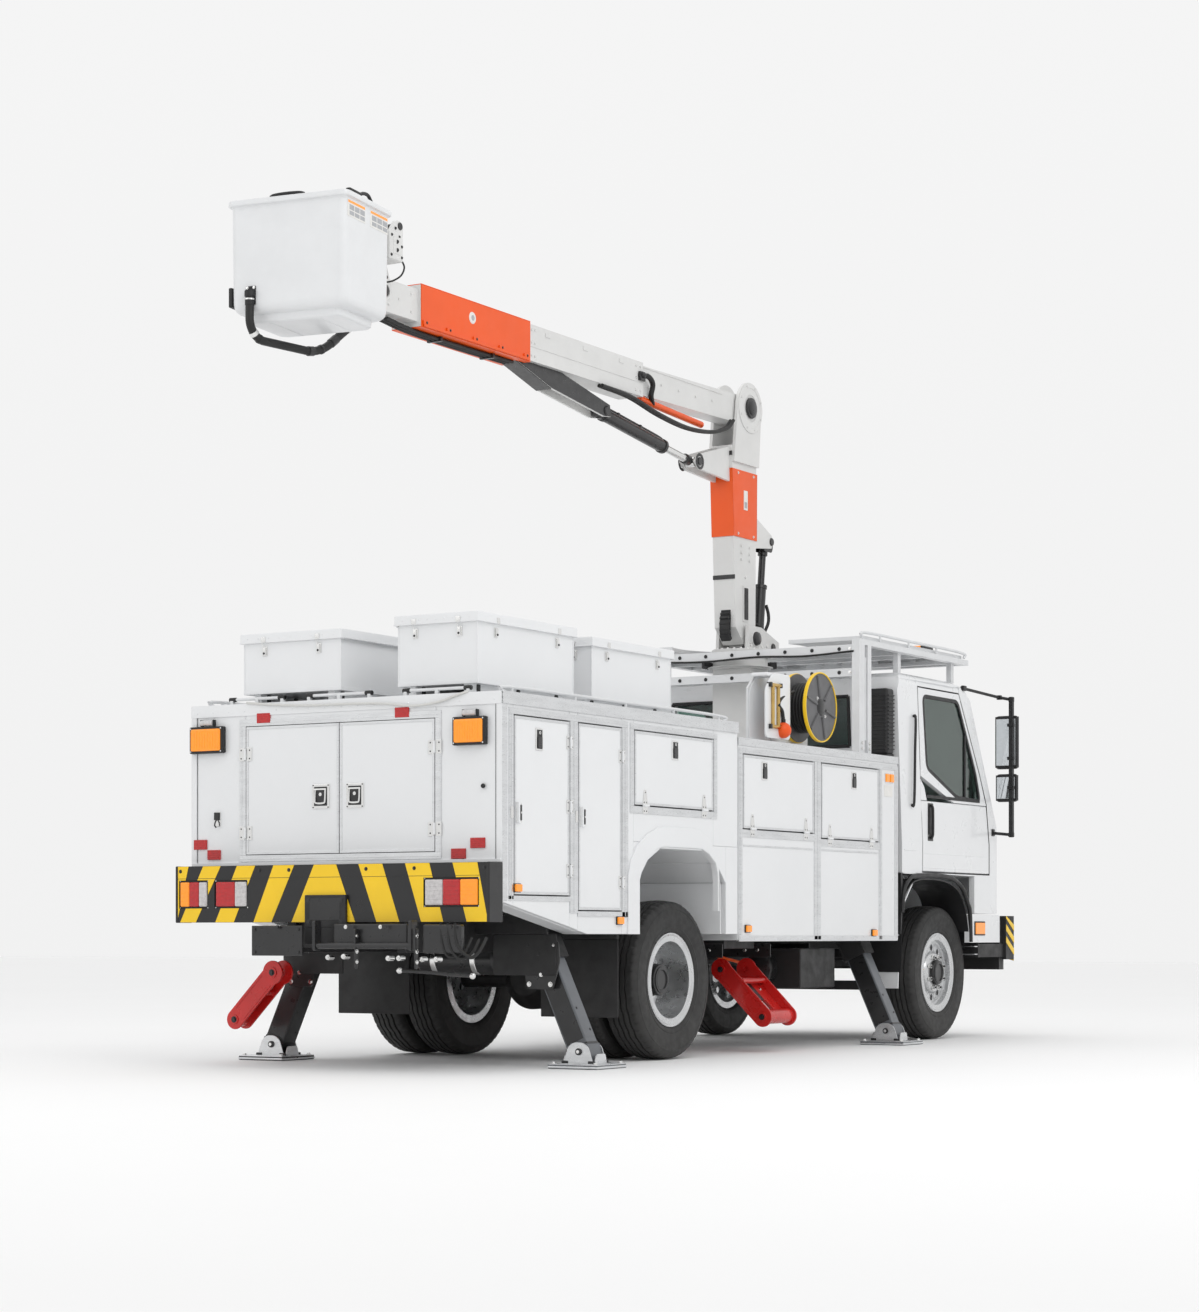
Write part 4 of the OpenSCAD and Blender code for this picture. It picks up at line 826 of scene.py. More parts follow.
# doors: trim, latches, hinges
for sname, x0, x1, hx, sgn in (("left", 0.018, 0.708, 0.7115, -1), ("right", -0.665, 0.012, -0.6685, 1)):
    q = Part(f"rear_door_trim_{sname}", f"rear_door_{sname}", "aluminium_rack")
    w = 0.016
    for a, b, c, d in ((x0, x1, 2.050 - w, 2.050), (x0, x1, 1.280, 1.280 + w), (x0, x0 + w, 1.280 + w, 2.050 - w), (x1 - w, x1, 1.280 + w, 2.050 - w)):
        ry(q, a, b, c, d, ALU, t=0.0032, y=YD, b=0.001)
    # weather strip behind the gap
    for a, b, c, d in ((x0 - 0.003, x0, 1.280, 2.050), (x1, x1 + 0.003, 1.280, 2.050), (x0, x1, 2.050, 2.0535), (x0, x1, 1.2765, 1.280)):
        q.box(a, b, YD - 0.022, YD - 0.006, c, d, GAP, b=0.0)
    # recessed folding ring latch
    lx0, lx1 = (0.085, 0.213) if sname == "left" else (-0.163, -0.037)
    q.box(lx0, lx1, YD - 0.002, YD + 0.0070, 1.545, 1.692, CHROME, b=0.006)
    q.box(lx0 + 0.014, lx1 - 0.014, YD, YD + 0.0078, 1.560, 1.677, BSTEEL, b=0.005)
    xm = (lx0 + lx1) / 2
    q.tube([(xm - 0.036, YD + 0.010, 1.660), (xm - 0.036, YD + 0.014, 1.592), (xm - 0.026, YD + 0.0150, 1.578), (xm + 0.026, YD + 0.0150, 1.578), (xm + 0.036, YD + 0.014, 1.592), (xm + 0.036, YD + 0.010, 1.660)],
           0.0055, CHROME, seg=10, smooth=6)
    q.cyl((xm - 0.044, YD + 0.010, 1.660), (xm + 0.044, YD + 0.010, 1.660), 0.0062, CHROME, seg=14, b=0.001)
    q.cyl((xm, YD + 0.006, 1.630), (xm, YD + 0.0115, 1.630), 0.011, CHROME, seg=20, b=0.001)
    for dx in (-1, 1):
        for zz in (1.553, 1.684):
            q.ball((xm + dx * (lx1 - lx0) * 0.43, YD + 0.0068, zz), 0.0048, BSTEEL, seg=10, sc=(1, 0.5, 1))
    # hinges
    for z in (1.375, 1.85):
        for part, d, yy in ((q, sgn, YD), (rear, -sgn, YR + 0.0050)):
            a, b = sorted((hx + d * 0.007, hx + d * 0.047))
            part.box(a, b, yy - 0.001, yy + 0.0062, z - 0.006, z + 0.076, CHROME, b=0.0018)
            for zz in (z + 0.010, z + 0.060):
                part.ball(((a + b) / 2 + d * 0.004, yy + 0.0062, zz), 0.0050, BSTEEL, seg=10, sc=(1, 0.5, 1))
    q.done()

# drooping white webbing strap and grip bars along the rear roof edge
rear.tube([(0.70, YR + 0.012, 2.196), (0.45, YR + 0.020, 2.172), (0.20, YR + 0.022, 2.160), (-0.05, YR + 0.022, 2.158), (-0.30, YR + 0.022, 2.150), (-0.52, YR + 0.022, 2.128), (-0.70, YR + 0.022, 2.142), (-0.82, YR + 0.018, 2.176), (-0.90, YR + 0.008, 2.196)],
          0.0075, BELT, seg=8, smooth=8)
for x0, x1 in ((0.44, 0.86), (-0.20, 0.28), (-0.90, -0.42)):
    rear.cyl((x0, YR - 0.030, 2.222), (x1, YR - 0.030, 2.222), 0.0095, RACKM, seg=14, b=0.002)
    for xx in (x0 + 0.02, (x0 + x1) / 2, x1 - 0.02):
        rear.box(xx - 0.012, xx + 0.012, YR - 0.042, YR - 0.018, 2.190, 2.224, RACKM, b=0.003)
    for xx in (x0, x1 - 0.05):
        rear.cyl((xx, YR - 0.030, 2.222), (xx + 0.05, YR - 0.030, 2.222), 0.0140, PLAST, seg=16, b=0.003)
rear.done()

# ------------------------------------------------------------------ rear bumper: stripes and lamps
YB = 2.306
bump = Part("bumper_stripes", "chassis", "hazard_paint")


def bx_(px):
    """Crop x to truck x on the bumper's outer face."""
    return 1.135 - 2.270 * (px - 70.0) / (1480.0 - 70.0)


HOLES = [(0.588, 0.839), (0.888, 1.111), (-1.066, -0.684)]
ZB0, ZB1, ZF = 0.871, 1.209, 1.135


def stripe(t0, t1, b0, b1):
    """A yellow stripe from the top edge (t0..t1) to the bottom edge (b0..b1), cut round the lamp openings."""
    def xat(z, which):
        k = (z - ZB0) / (ZB1 - ZB0)
        return (b0 + (t0 - b0) * k) if which == 0 else (b1 + (t1 - b1) * k)
    zs = [ZB0, 0.955, 1.125, ZB1]
    for za, zb in zip(zs, zs[1:]):
        segs = [[xat(za, 0), xat(za, 1), xat(zb, 1), xat(zb, 0)]]
        if za == 0.955:
            poly = [(xat(za, 0), za), (xat(za, 1), za), (xat(zb, 1), zb), (xat(zb, 0), zb)]
            outs = [poly]
            for h0, h1 in HOLES:
                nxt = []
                for q in outs:
                    nxt += [c for c in (clip(q, h0, -1), clip(q, h1, 1)) if c]
                outs = nxt
        else:
            outs = [[(xat(za, 0), za), (xat(za, 1), za), (xat(zb, 1), zb), (xat(zb, 0), zb)]]
        for q in outs:
            q = clip(clip(q, -1.134, 1) or [], 1.134, -1)
            if q and len(q) > 2:
                bump.prism("y", q, YB - 0.0005, YB + 0.0014, YELLOW, b=0.0)


def clip(poly, x, side):
    """Keeps the part of the polygon with side * px >= side * x."""
    out = []
    n = len(poly)
    for i in range(n):
        a, b = poly[i], poly[(i + 1) % n]
        ia, ib = side * a[0] >= side * x, side * b[0] >= side * x
        if ia:
            out.append(a)
        if ia != ib:
            t = (x - a[0]) / (b[0] - a[0])
            out.append((x, a[1] + (b[1] - a[1]) * t))
    return out if len(out) > 2 else None


for t, b in (((75, 130), (60, 75)), ((200, 283), (90, 165)), ((360, 445), (258, 345)), ((530, 625), (437, 520)), ((715, 815), (613, 900)),
             ((915, 1020), (995, 1095)), ((1120, 1225), (1190, 1285)), ((1325, 1430), (1385, 1475))):
    stripe(bx_(t[0]), bx_(t[1]), bx_(b[0]), bx_(b[1]))
# fold line along the top fifth and end caps
bump.box(-1.133, 1.133, YB - 0.001, YB + 0.0020, ZF - 0.0012, ZF + 0.0012, HBLACK, b=0.0)
for s in (-1, 1):
    bump.box(s * 1.1385, s * 1.118, 2.168, YB + 0.004, 0.868, 1.212, HBLACK, b=0.006)
for x in (-1.10, -0.62, -0.28, 0.28, 0.50, 1.10):
    bump.hexbolt((x, YB + 0.001, 1.180), (0, 1, 0), 0.008, BSTEEL, h=0.006)
bump.done()

lampp = Part("tail_lamps", "chassis", "amber_lens")


def tail(x0, x1, z0, z1, cells):
    """A tail lamp in its rubber surround; cells are (share, material) from x0 to x1."""
    lampp.box(x0 - 0.004, x1 + 0.004, 2.262, 2.299, z0 - 0.004, z1 + 0.004, PLAST, b=0.004)
    w = (x1 - x0) - 0.016
    x = x0 + 0.008
    for f, m in cells:
        lampp.box(x, x + w * f - 0.001, 2.290, 2.3115, z0 + 0.008, z1 - 0.008, m, b=0.008, seg=3)
        for k in range(6):
            zz = z0 + 0.020 + (z1 - z0 - 0.040) * k / 5
            lampp.box(x + 0.006, x + w * f - 0.007, 2.310, 2.3128, zz - 0.0035, zz + 0.0035, m, b=0.0012)
        x += w * f
    for xx in (x0 + 0.002, x1 - 0.002):
        for zz in (z0 + 0.002, z1 - 0.002):
            lampp.cyl((xx, 2.298, zz), (xx, 2.301, zz), 0.0045, CHROME, seg=10)


tail(0.890, 1.110, 0.958, 1.122, [(0.30, CLEARL), (0.36, REDL), (0.34, AMBER)])
tail(0.590, 0.836, 0.958, 1.122, [(0.38, CLEARL), (0.62, REDL)])
tail(-1.064, -0.686, 0.958, 1.122, [(0.33, AMBER), (0.33, REDL), (0.34, CLEARL)])
for x in (1.000, 0.712, -0.875):
    lampp.box(x - 0.04, x + 0.04, 2.165, 2.264, 1.000, 1.080, BLACKP, b=0.004)
# light bars on the deck
for x0, x1 in ((-0.790, -0.360), (0.290, 0.640)):
    ym = -4.445
    lampp.box(x0 - 0.002, x1 + 0.002, ym - 0.100, ym + 0.100, 2.967, 2.989, PLAST, b=0.006)
    lampp.box(x0, x1, ym - 0.108, ym + 0.108, 2.984, 3.036, AMBER, b=0.020, seg=4)
    lampp.box((x0 + x1) / 2 - 0.045, (x0 + x1) / 2 + 0.045, ym - 0.110, ym + 0.110, 2.986, 3.039, PLAST, b=0.018, seg=3)
    for xx in (x0 - 0.004, x1 - 0.018):
        lampp.box(xx, xx + 0.022, ym - 0.104, ym + 0.104, 2.984, 3.034, PLAST, b=0.008)
    k = x0 + 0.03
    while k < x1 - 0.03:
        lampp.box(k, k + 0.006, ym - 0.1100, ym + 0.1100, 2.996, 3.026, AMBER, b=0.002)
        k += 0.020
# beacon on the deck's front edge
lampp.cyl((-0.22, -4.40, 2.966), (-0.22, -4.40, 2.990), 0.058, PLAST, seg=32, b=0.004)
lampp.cyl((-0.22, -4.40, 2.990), (-0.22, -4.40, 3.040), 0.050, AMBER, seg=32, b=0.010)
lampp.done(replaces=("lamps",))
# hitch: jaw plate with bolts
hit = Part("hitch_jaw", "chassis", "chassis_black")
hit.box(-0.110, 0.110, 2.326, 2.3320, 0.880, 1.010, BSTEEL, b=0.003)
for x in (-0.118, 0.118):
    for z in (0.870, 1.000):
        hit.hexbolt((x, 2.330, z), (0, 1, 0), 0.012, BSTEEL, h=0.004)
hit.done()


# ------------------------------------------------------------------ cab
XC = 1.100
DOOR = [(-3.675, 1.270), (-3.680, 1.480), (-3.630, 2.085), (-3.585, 2.640), (-4.330, 2.640), (-4.740, 2.030), (-4.868, 1.810), (-4.925, 1.500), (-4.925, 1.270)]
WIN = [(-3.745, 2.050), (-3.675, 2.580), (-4.310, 2.580), (-4.655, 2.040), (-4.740, 1.835), (-4.300, 1.850)]


def inset(poly, d):
    """Polygon moved inwards by d (outwards if negative)."""
    n = len(poly)
    A = sum(poly[i][0] * poly[(i + 1) % n][1] - poly[(i + 1) % n][0] * poly[i][1] for i in range(n))
    sg = 1 if A > 0 else -1
    out = []
    for i in range(n):
        p0, p1, p2 = Vector(poly[i - 1]), Vector(poly[i]), Vector(poly[(i + 1) % n])
        e1, e2 = (p1 - p0).normalized(), (p2 - p1).normalized()
        n1, n2 = Vector((-e1.y, e1.x)) * sg, Vector((-e2.y, e2.x)) * sg
        m = (n1 + n2).normalized()
        k = d / max(0.35, m.dot(n1))
        q = p1 + m * k
        out.append((q.x, q.y))
    return out


def rounded(poly, r, n=5):
    """Rounds the corners of a polygon by radius r."""
    out = []
    m = len(poly)
    for i in range(m):
        p0, p1, p2 = Vector(poly[i - 1]), Vector(poly[i]), Vector(poly[(i + 1) % m])
        a, b = (p0 - p1), (p2 - p1)
        d = min(r, a.length * 0.45, b.length * 0.45)
        s, e = p1 + a.normalized() * d, p1 + b.normalized() * d
        for k in range(n + 1):
            t = k / n
            q = s * (1 - t) ** 2 + p1 * 2 * t * (1 - t) + e * t * t
            out.append((q.x, q.y))
    return out


def loop_plate(part, outer, inner, x0, x1, mat, M=None, b=0.003):
    """A plate with one hole: outer and inner are loops with the same count, in the side plane."""
    bm = bmesh.new()
    n = len(outer)
    L = {}
    for key, loop, xx in (("oa", outer, x0), ("ia", inner, x0), ("ob", outer, x1), ("ib", inner, x1)):
        L[key] = [bm.verts.new((xx, y, z)) for y, z in loop]
    for i in range(n):
        j = (i + 1) % n
        bm.faces.new((L["oa"][i], L["oa"][j], L["ia"][j], L["ia"][i]))
        bm.faces.new((L["ob"][i], L["ib"][i], L["ib"][j], L["ob"][j]))
        bm.faces.new((L["oa"][i], L["ob"][i], L["ob"][j], L["oa"][j]))
        bm.faces.new((L["ia"][i], L["ia"][j], L["ib"][j], L["ib"][i]))
    if b > 0:
        bmesh.ops.recalc_face_normals(bm, faces=bm.faces[:])
        es = [e for e in bm.edges if e.calc_face_angle(0) > math.radians(50)]
        bmesh.ops.bevel(bm, geom=es, offset=b, segments=2, profile=0.5, affect="EDGES", clamp_overlap=True)
    part.put(bm, mat, M)


def match(inner, outer):
    """Radial resampling of the outer loop, one point for each inner point."""
    c = Vector((sum(p[0] for p in inner) / len(inner), sum(p[1] for p in inner) / len(inner)))
    res = []
    for p in inner:
        d = (Vector(p) - c).normalized()
        best = None
        n = len(outer)
        for i in range(n):
            a, b = Vector(outer[i]), Vector(outer[(i + 1) % n])
            e = b - a
            det = d.x * (-e.y) + e.x * d.y
            if abs(det) < 1e-12:
                continue
            r = a - c
            t = (r.x * (-e.y) + e.x * r.y) / det
            u = (d.x * r.y - d.y * r.x) / det
            if t > 0 and -1e-6 <= u <= 1 + 1e-6 and (best is None or t > best):
                best = t
        q = c + d * best
        res.append((q.x, q.y))
    return res


for sname, s in (("right", -1), ("left", 1)):
    M = MX(s)
    body = f"cab_door_{sname}"
    q = Part(f"cab_door_panel_{sname}", body, "white_paint")
    win_r = rounded(WIN, 0.055, 6)
    win_in = inset(win_r, 0.0)
    # lower panel below the belt line, then the frame round the window
    low = [(-3.6750, 1.270), (-3.680, 1.480), (-3.634, 1.800), (-4.8675, 1.800), (-4.925, 1.500), (-4.925, 1.270)]
    q.prism("x", low, -XC - 0.002, -XC + 0.040, WHITE, b=0.010, seg=3, M=M)
    up = [(-3.6338, 1.803), (-3.630, 2.085), (-3.585, 2.640), (-4.330, 2.640), (-4.740, 2.030), (-4.866, 1.803)]
    upm = match(win_r, up)
    loop_plate(q, upm, win_r, -XC - 0.002, -XC + 0.040, WHITE, M=M, b=0.004)
    # corners that the radial resampling cuts off are filled with gussets
    for tri in ([(-3.6338, 1.803), (-3.745, 1.803), (-3.700, 1.900), (-3.632, 1.960)], [(-3.585, 2.640), (-3.588, 2.560), (-3.640, 2.585), (-3.660, 2.640)],
                [(-4.330, 2.640), (-4.250, 2.640), (-4.290, 2.600), (-4.365, 2.590)], [(-4.866, 1.803), (-4.835, 1.855), (-4.760, 1.835), (-4.740, 1.803)]):
        q.prism("x", tri, -XC - 0.0015, -XC + 0.039, WHITE, b=0.0, M=M)
    # rubber round the glass
    loop_plate(q, inset(win_r, -0.016), inset(win_r, 0.012), -XC - 0.0050, -XC + 0.010, PLAST, M=M, b=0.002)
    q.prism("x", inset(win_r, 0.006), -XC + 0.006, -XC + 0.011, GLASS, b=0.0, M=M)
    # belt moulding and division bar
    q.box(-XC - 0.0060, -XC + 0.002, -4.735, -3.735, 1.822, 1.846, PLAST, b=0.003, M=M)
    q.box(-XC - 0.0045, -XC + 0.014, -4.470, -4.445, 1.850, 2.330, PLAST, b=0.003, M=M)
    # pull handle with its dished seat and lock
    q.box(-XC - 0.0030, -XC + 0.004, -3.860, -3.760, 1.500, 1.785, BSTEEL, b=0.002, M=M)
    q.box(-XC - 0.0040, -XC - 0.001, -3.848, -3.772, 1.512, 1.773, PLAST, b=0.0015, M=M)
    q.tube([(-XC - 0.004, -3.810, 1.770), (-XC - 0.020, -3.810, 1.752), (-XC - 0.023, -3.810, 1.700), (-XC - 0.023, -3.810, 1.590), (-XC - 0.020, -3.810, 1.538), (-XC - 0.004, -3.810, 1.520)],
           0.0105, PLAST, seg=12, smooth=6, M=M)
    q.cyl((-XC - 0.003, -3.778, 1.540), (-XC - 0.008, -3.778, 1.540), 0.010, CHROME, seg=18, b=0.001, M=M)
    # pressed lines on the door
    q.box(-XC - 0.0040, -XC + 0.001, -4.880, -3.700, 1.402, 1.412, WHITE, b=0.003, M=M)
    q.box(-XC - 0.0034, -XC + 0.001, -4.870, -3.700, 1.296, 1.303, WHITE, b=0.002, M=M)
    q.box(-XC + 0.040, -XC + 0.052, -4.86, -3.72, 1.32, 1.76, TRIM, b=0.006, M=M)
    q.done(replaces=(body,))

cab = Part("cab_trim_outside", "chassis", "white_paint")
for s in (-1, 1):
    M = MX(s)
    # door gap shadow line and pillar trims
    loop_plate(cab, inset(DOOR, -0.010), inset(DOOR, -0.006), -XC - 0.0008, -XC + 0.030, GAP, M=M, b=0.0)
    cab.prism("x", [(-4.355, 2.694), (-4.790, 2.046), (-4.905, 1.842), (-4.878, 1.818), (-4.752, 2.040), (-4.336, 2.662)], -XC - 0.0035, -XC + 0.004, WHITE, b=0.002, M=M)
    # drip rail
    cab.tube([(-XC + 0.014, -3.260, 2.690), (-XC + 0.006, -3.60, 2.694), (-XC + 0.006, -4.20, 2.694), (-XC + 0.012, -4.40, 2.676), (-XC + 0.006, -4.60, 2.400), (-XC + 0.004, -4.86, 1.960)], 0.009, WHITE, seg=8, smooth=6, M=M)
    # quarter trim behind the door and a small vertical grab bar
    cab.box(-XC - 0.004, -XC + 0.002, -3.560, -3.345, 1.420, 1.432, WHITE, b=0.002, M=M)
    cab.tube([(-XC - 0.002, -3.500, 2.420), (-XC - 0.022, -3.500, 2.400), (-XC - 0.022, -3.490, 2.150), (-XC - 0.022, -3.475, 1.780), (-XC - 0.002, -3.470, 1.760)], 0.010, PLAST, seg=10, smooth=5, M=M)
    # wheel arch lip in black
    arch = [(-3.300, 0.960), (-3.330, 1.120), (-3.420, 1.205), (-3.560, 1.236), (-4.080, 1.238), (-4.360, 1.178), (-4.500, 1.040), (-4.545, 0.960), (-4.560, 0.740)]
    path = [(-XC - 0.004, y, z) for y, z in arch]
    cab.tube(path, 0.017, PLAST, seg=10, smooth=6, M=M)
    # liner over the front wheel
    lin = [(-3.300, 0.520), (-3.345, 0.980), (-3.430, 1.130), (-3.620, 1.200), (-4.060, 1.200), (-4.340, 1.130), (-4.480, 0.985), (-4.540, 0.820)]
    sp = [(p.y, p.z) for p in spline([Vector((0, a, b)) for a, b in lin], 4)]
    bm = bmesh.new()
    rows = [[bm.verts.new((xx, y, z + dz)) for xx, dz in ((-0.740, 0.0), (-1.094, 0.0), (-1.094, 0.010), (-0.740, 0.010))] for y, z in sp]
    for a, b in zip(rows, rows[1:]):
        for i in range(4):
            j = (i + 1) % 4
            bm.faces.new((a[i], b[i], b[j], a[j]))
    bm.faces.new(rows[0]); bm.faces.new(rows[-1][::-1])
    cab.put(bm, PLAST, M)
    # rear mudguard piece behind the wheel, in black plastic
    cab.prism("x", [(-3.330, 1.238), (-3.330, 1.020), (-3.300, 0.800), (-3.288, 0.800), (-3.300, 1.030), (-3.292, 1.250)], -XC + 0.002, -0.78, PLAST, b=0.002, M=M)
    # corner panel lamp, step plates
    cab.box(-XC - 0.012, -XC + 0.002, -4.830, -4.650, 0.800, 0.890, AMBER, b=0.008, M=M)
    cab.box(-XC - 0.006, -XC + 0.004, -4.842, -4.638, 0.790, 0.900, PLAST, b=0.004, M=M)
    for z in (0.640, 0.700):
        cab.box(-1.102, -0.90, -4.86, -4.64, z, z + 0.008, ALU, b=0.002, M=M)
    # louvred intake stack behind the cab
    if s < 0:
        cab.box(-1.085, -0.915, -3.205, -3.085, 2.120, 2.600, PLAST, b=0.020, seg=3)
        for k in range(15):
            z = 2.150 + k * 0.028
            cab.box(-1.094, -1.080, -3.195, -3.095, z, z + 0.011, PLAST, b=0.003)
            cab.box(-1.075, -0.925, -3.088, -3.078, z, z + 0.011, PLAST, b=0.003)
        cab.box(-1.080, -0.930, -3.225, -3.095, 1.250, 2.125, PLAST, b=0.016, seg=3)
        cab.tube([(-0.99, -3.17, 1.30), (-0.97, -3.15, 1.15), (-0.85, -3.13, 1.02), (-0.70, -3.12, 0.98)], 0.060, PLAST, seg=16, smooth=8)
    # striped corner guard on the front bumper
    gx = -1.1265
    for k in range(4):
        z0 = 0.600 + k * 0.095
        poly = [(-5.369, max(0.600, z0 - 0.06)), (-5.211, z0 + 0.040), (-5.211, min(0.945, z0 + 0.088)), (-5.369, min(0.945, z0 - 0.012))]
        if poly[0][1] < poly[3][1]:
            cab.prism("x", poly, gx - 0.001, gx + 0.004, YELLOW, b=0.0, M=M)
        polf = [(-1.124, max(0.601, z0 - 0.06)), (-1.071, max(0.601, z0 - 0.088)), (-1.071, max(0.602, z0 - 0.040)), (-1.124, min(0.944, z0 - 0.012))]
        cab.prism("y", polf, -5.3715, -5.3690, YELLOW, b=0.0, M=M)
    # headlamp set into the bumper and turn signal above it
    cab.box(-1.000, -0.640, -5.338, -5.300, 0.735, 0.905, PLAST, b=0.012, M=M)
    cab.lathe([(0.074, 0.0), (0.074, 0.014), (0.066, 0.020), (0.035, 0.026), (0.0, 0.028)], (-0.90, -5.330, 0.820), (0, -1, 0), CLEARL, seg=40, M=M)
    cab.lathe([(0.060, 0.0), (0.060, 0.012), (0.052, 0.018), (0.0, 0.024)], (-0.735, -5.330, 0.820), (0, -1, 0), CLEARL, seg=40, M=M)
    for cx, rr in ((-0.90, 0.077), (-0.735, 0.063)):
        cab.lathe([(rr - 0.004, 0.0), (rr, 0.004), (rr + 0.006, 0.004), (rr + 0.010, 0.0)], (cx, -5.336, 0.820), (0, -1, 0), CHROME, seg=40, M=M)
    cab.box(-1.060, -0.860, -5.178, -5.150, 1.020, 1.120, AMBER, b=0.010, M=M)
    # front wipers
    cab.tube([(-0.45, -5.085, 1.640), (-0.30, -5.070, 1.700), (-0.05, -5.050, 1.740)], 0.007, BSTEEL, seg=8, smooth=4, M=M)
    cab.tube([(-0.62, -5.052, 1.725), (-0.30, -5.052, 1.732), (0.02, -5.048, 1.742)], 0.008, PLAST, seg=8, smooth=4, M=M)
# grille: dark panel with bars
cab.box(-0.780, 0.780, -5.186, -5.160, 1.120, 1.360, PLAST, b=0.014, seg=3)
for k in range(6):
    z = 1.142 + k * 0.036
    cab.box(-0.750, 0.750, -5.194, -5.178, z, z + 0.016, SILVER, b=0.004)
cab.box(-0.98, 0.98, -5.176, -5.156, 1.420, 1.436, WHITE, b=0.004)
for s in (-1, 1):
    for k in range(3):
        cab.box(s * (0.40 + 0.02), s * (0.40 + 0.20), -5.338, -5.326, 0.600 + k * 0.035, 0.616 + k * 0.035, PLAST, b=0.003)
cab.box(-0.26, 0.26, -5.336, -5.328, 0.640, 0.760, LABEL, b=0.003)
# windscreen glass surround
ws = [(-0.960, 2.470, -4.590), (0.960, 2.470, -4.590), (0.960, 1.660, -5.030), (-0.960, 1.660, -5.030)]
cab.tube([(-0.955, -4.600, 2.462), (0.955, -4.600, 2.462)], 0.014, PLAST, seg=8, smooth=4)
cab.tube([(-0.955, -5.036, 1.664), (0.955, -5.036, 1.664)], 0.014, PLAST, seg=8, smooth=4)
for s in (-1, 1):
    cab.tube([(s * 0.957, -4.600, 2.462), (s * 0.957, -5.036, 1.664)], 0.014, PLAST, seg=8, smooth=4)
# rear window surround on the sloped back wall
yb = lambda z: -3.310 + 0.085 * (z - 1.440) / 1.160 + 0.002
cab.tube([(-0.700, yb(2.200), 2.196), (0.790, yb(2.200), 2.196)], 0.013, PLAST, seg=8, smooth=4)
cab.tube([(-0.700, yb(2.560), 2.564), (0.790, yb(2.560), 2.564)], 0.013, PLAST, seg=8, smooth=4)
for x in (-0.700, 0.790):
    cab.tube([(x, yb(2.196), 2.196), (x, yb(2.564), 2.564)], 0.013, PLAST, seg=8, smooth=4)
# ribs across the cab's back wall
for z in (1.560, 1.760, 1.960):
    cab.box(-0.96, 0.96, yb(z) - 0.004, yb(z) + 0.010, z, z + 0.050, WHITE, b=0.010)
cab.done()

# mirrors: shells and glass
mir = Part("mirror_shells", "chassis", "black_plastic")
for s in (-1, 1):
    M = MX(s)
    mir.box(-1.305, -1.115, -5.060, -5.000, 2.098, 2.518, PLAST, b=0.034, seg=4, M=M)
    mir.box(-1.300, -1.120, -5.060, -5.000, 1.840, 2.060, PLAST, b=0.030, seg=4, M=M)
    mir.box(-1.290, -1.130, -5.002, -4.9965, 2.125, 2.492, MIRRORG, b=0.012, M=M)
    mir.box(-1.285, -1.135, -5.002, -4.9965, 1.865, 2.035, MIRRORG, b=0.012, M=M)
    for z in (1.590, 2.650):
        mir.box(-1.282, -1.242, -5.010, -4.970, z - 0.030, z + 0.012, PLAST, b=0.008, M=M)
    mir.box(-1.112, -1.086, -4.470, -4.410, 2.676, 2.716, PLAST, b=0.006, M=M)
    mir.box(-1.108, -1.072, -5.030, -4.975, 1.572, 1.628, PLAST, b=0.006, M=M)
mir.done()
# seats seen through the glass
seat = Part("seat_covers", "chassis", "cab_trim")
for x in (-0.620, 0.130):
    seat.box(x - 0.006, x + 0.496, -4.160, -3.640, 1.480, 1.590, SEAT, b=0.045, seg=4)
    seat.box(x + 0.006, x + 0.484, -3.655, -3.500, 1.575, 2.100, SEAT, b=0.050, seg=4)
    seat.box(x + 0.130, x + 0.360, -3.640, -3.520, 2.090, 2.225, SEAT, b=0.035, seg=4)
    for k in range(3):
        seat.tube([(x + 0.05, -3.660, 1.70 + k * 0.12), (x + 0.44, -3.660, 1.70 + k * 0.12)], 0.005, TRIM, seg=6, smooth=2)
seat.done()


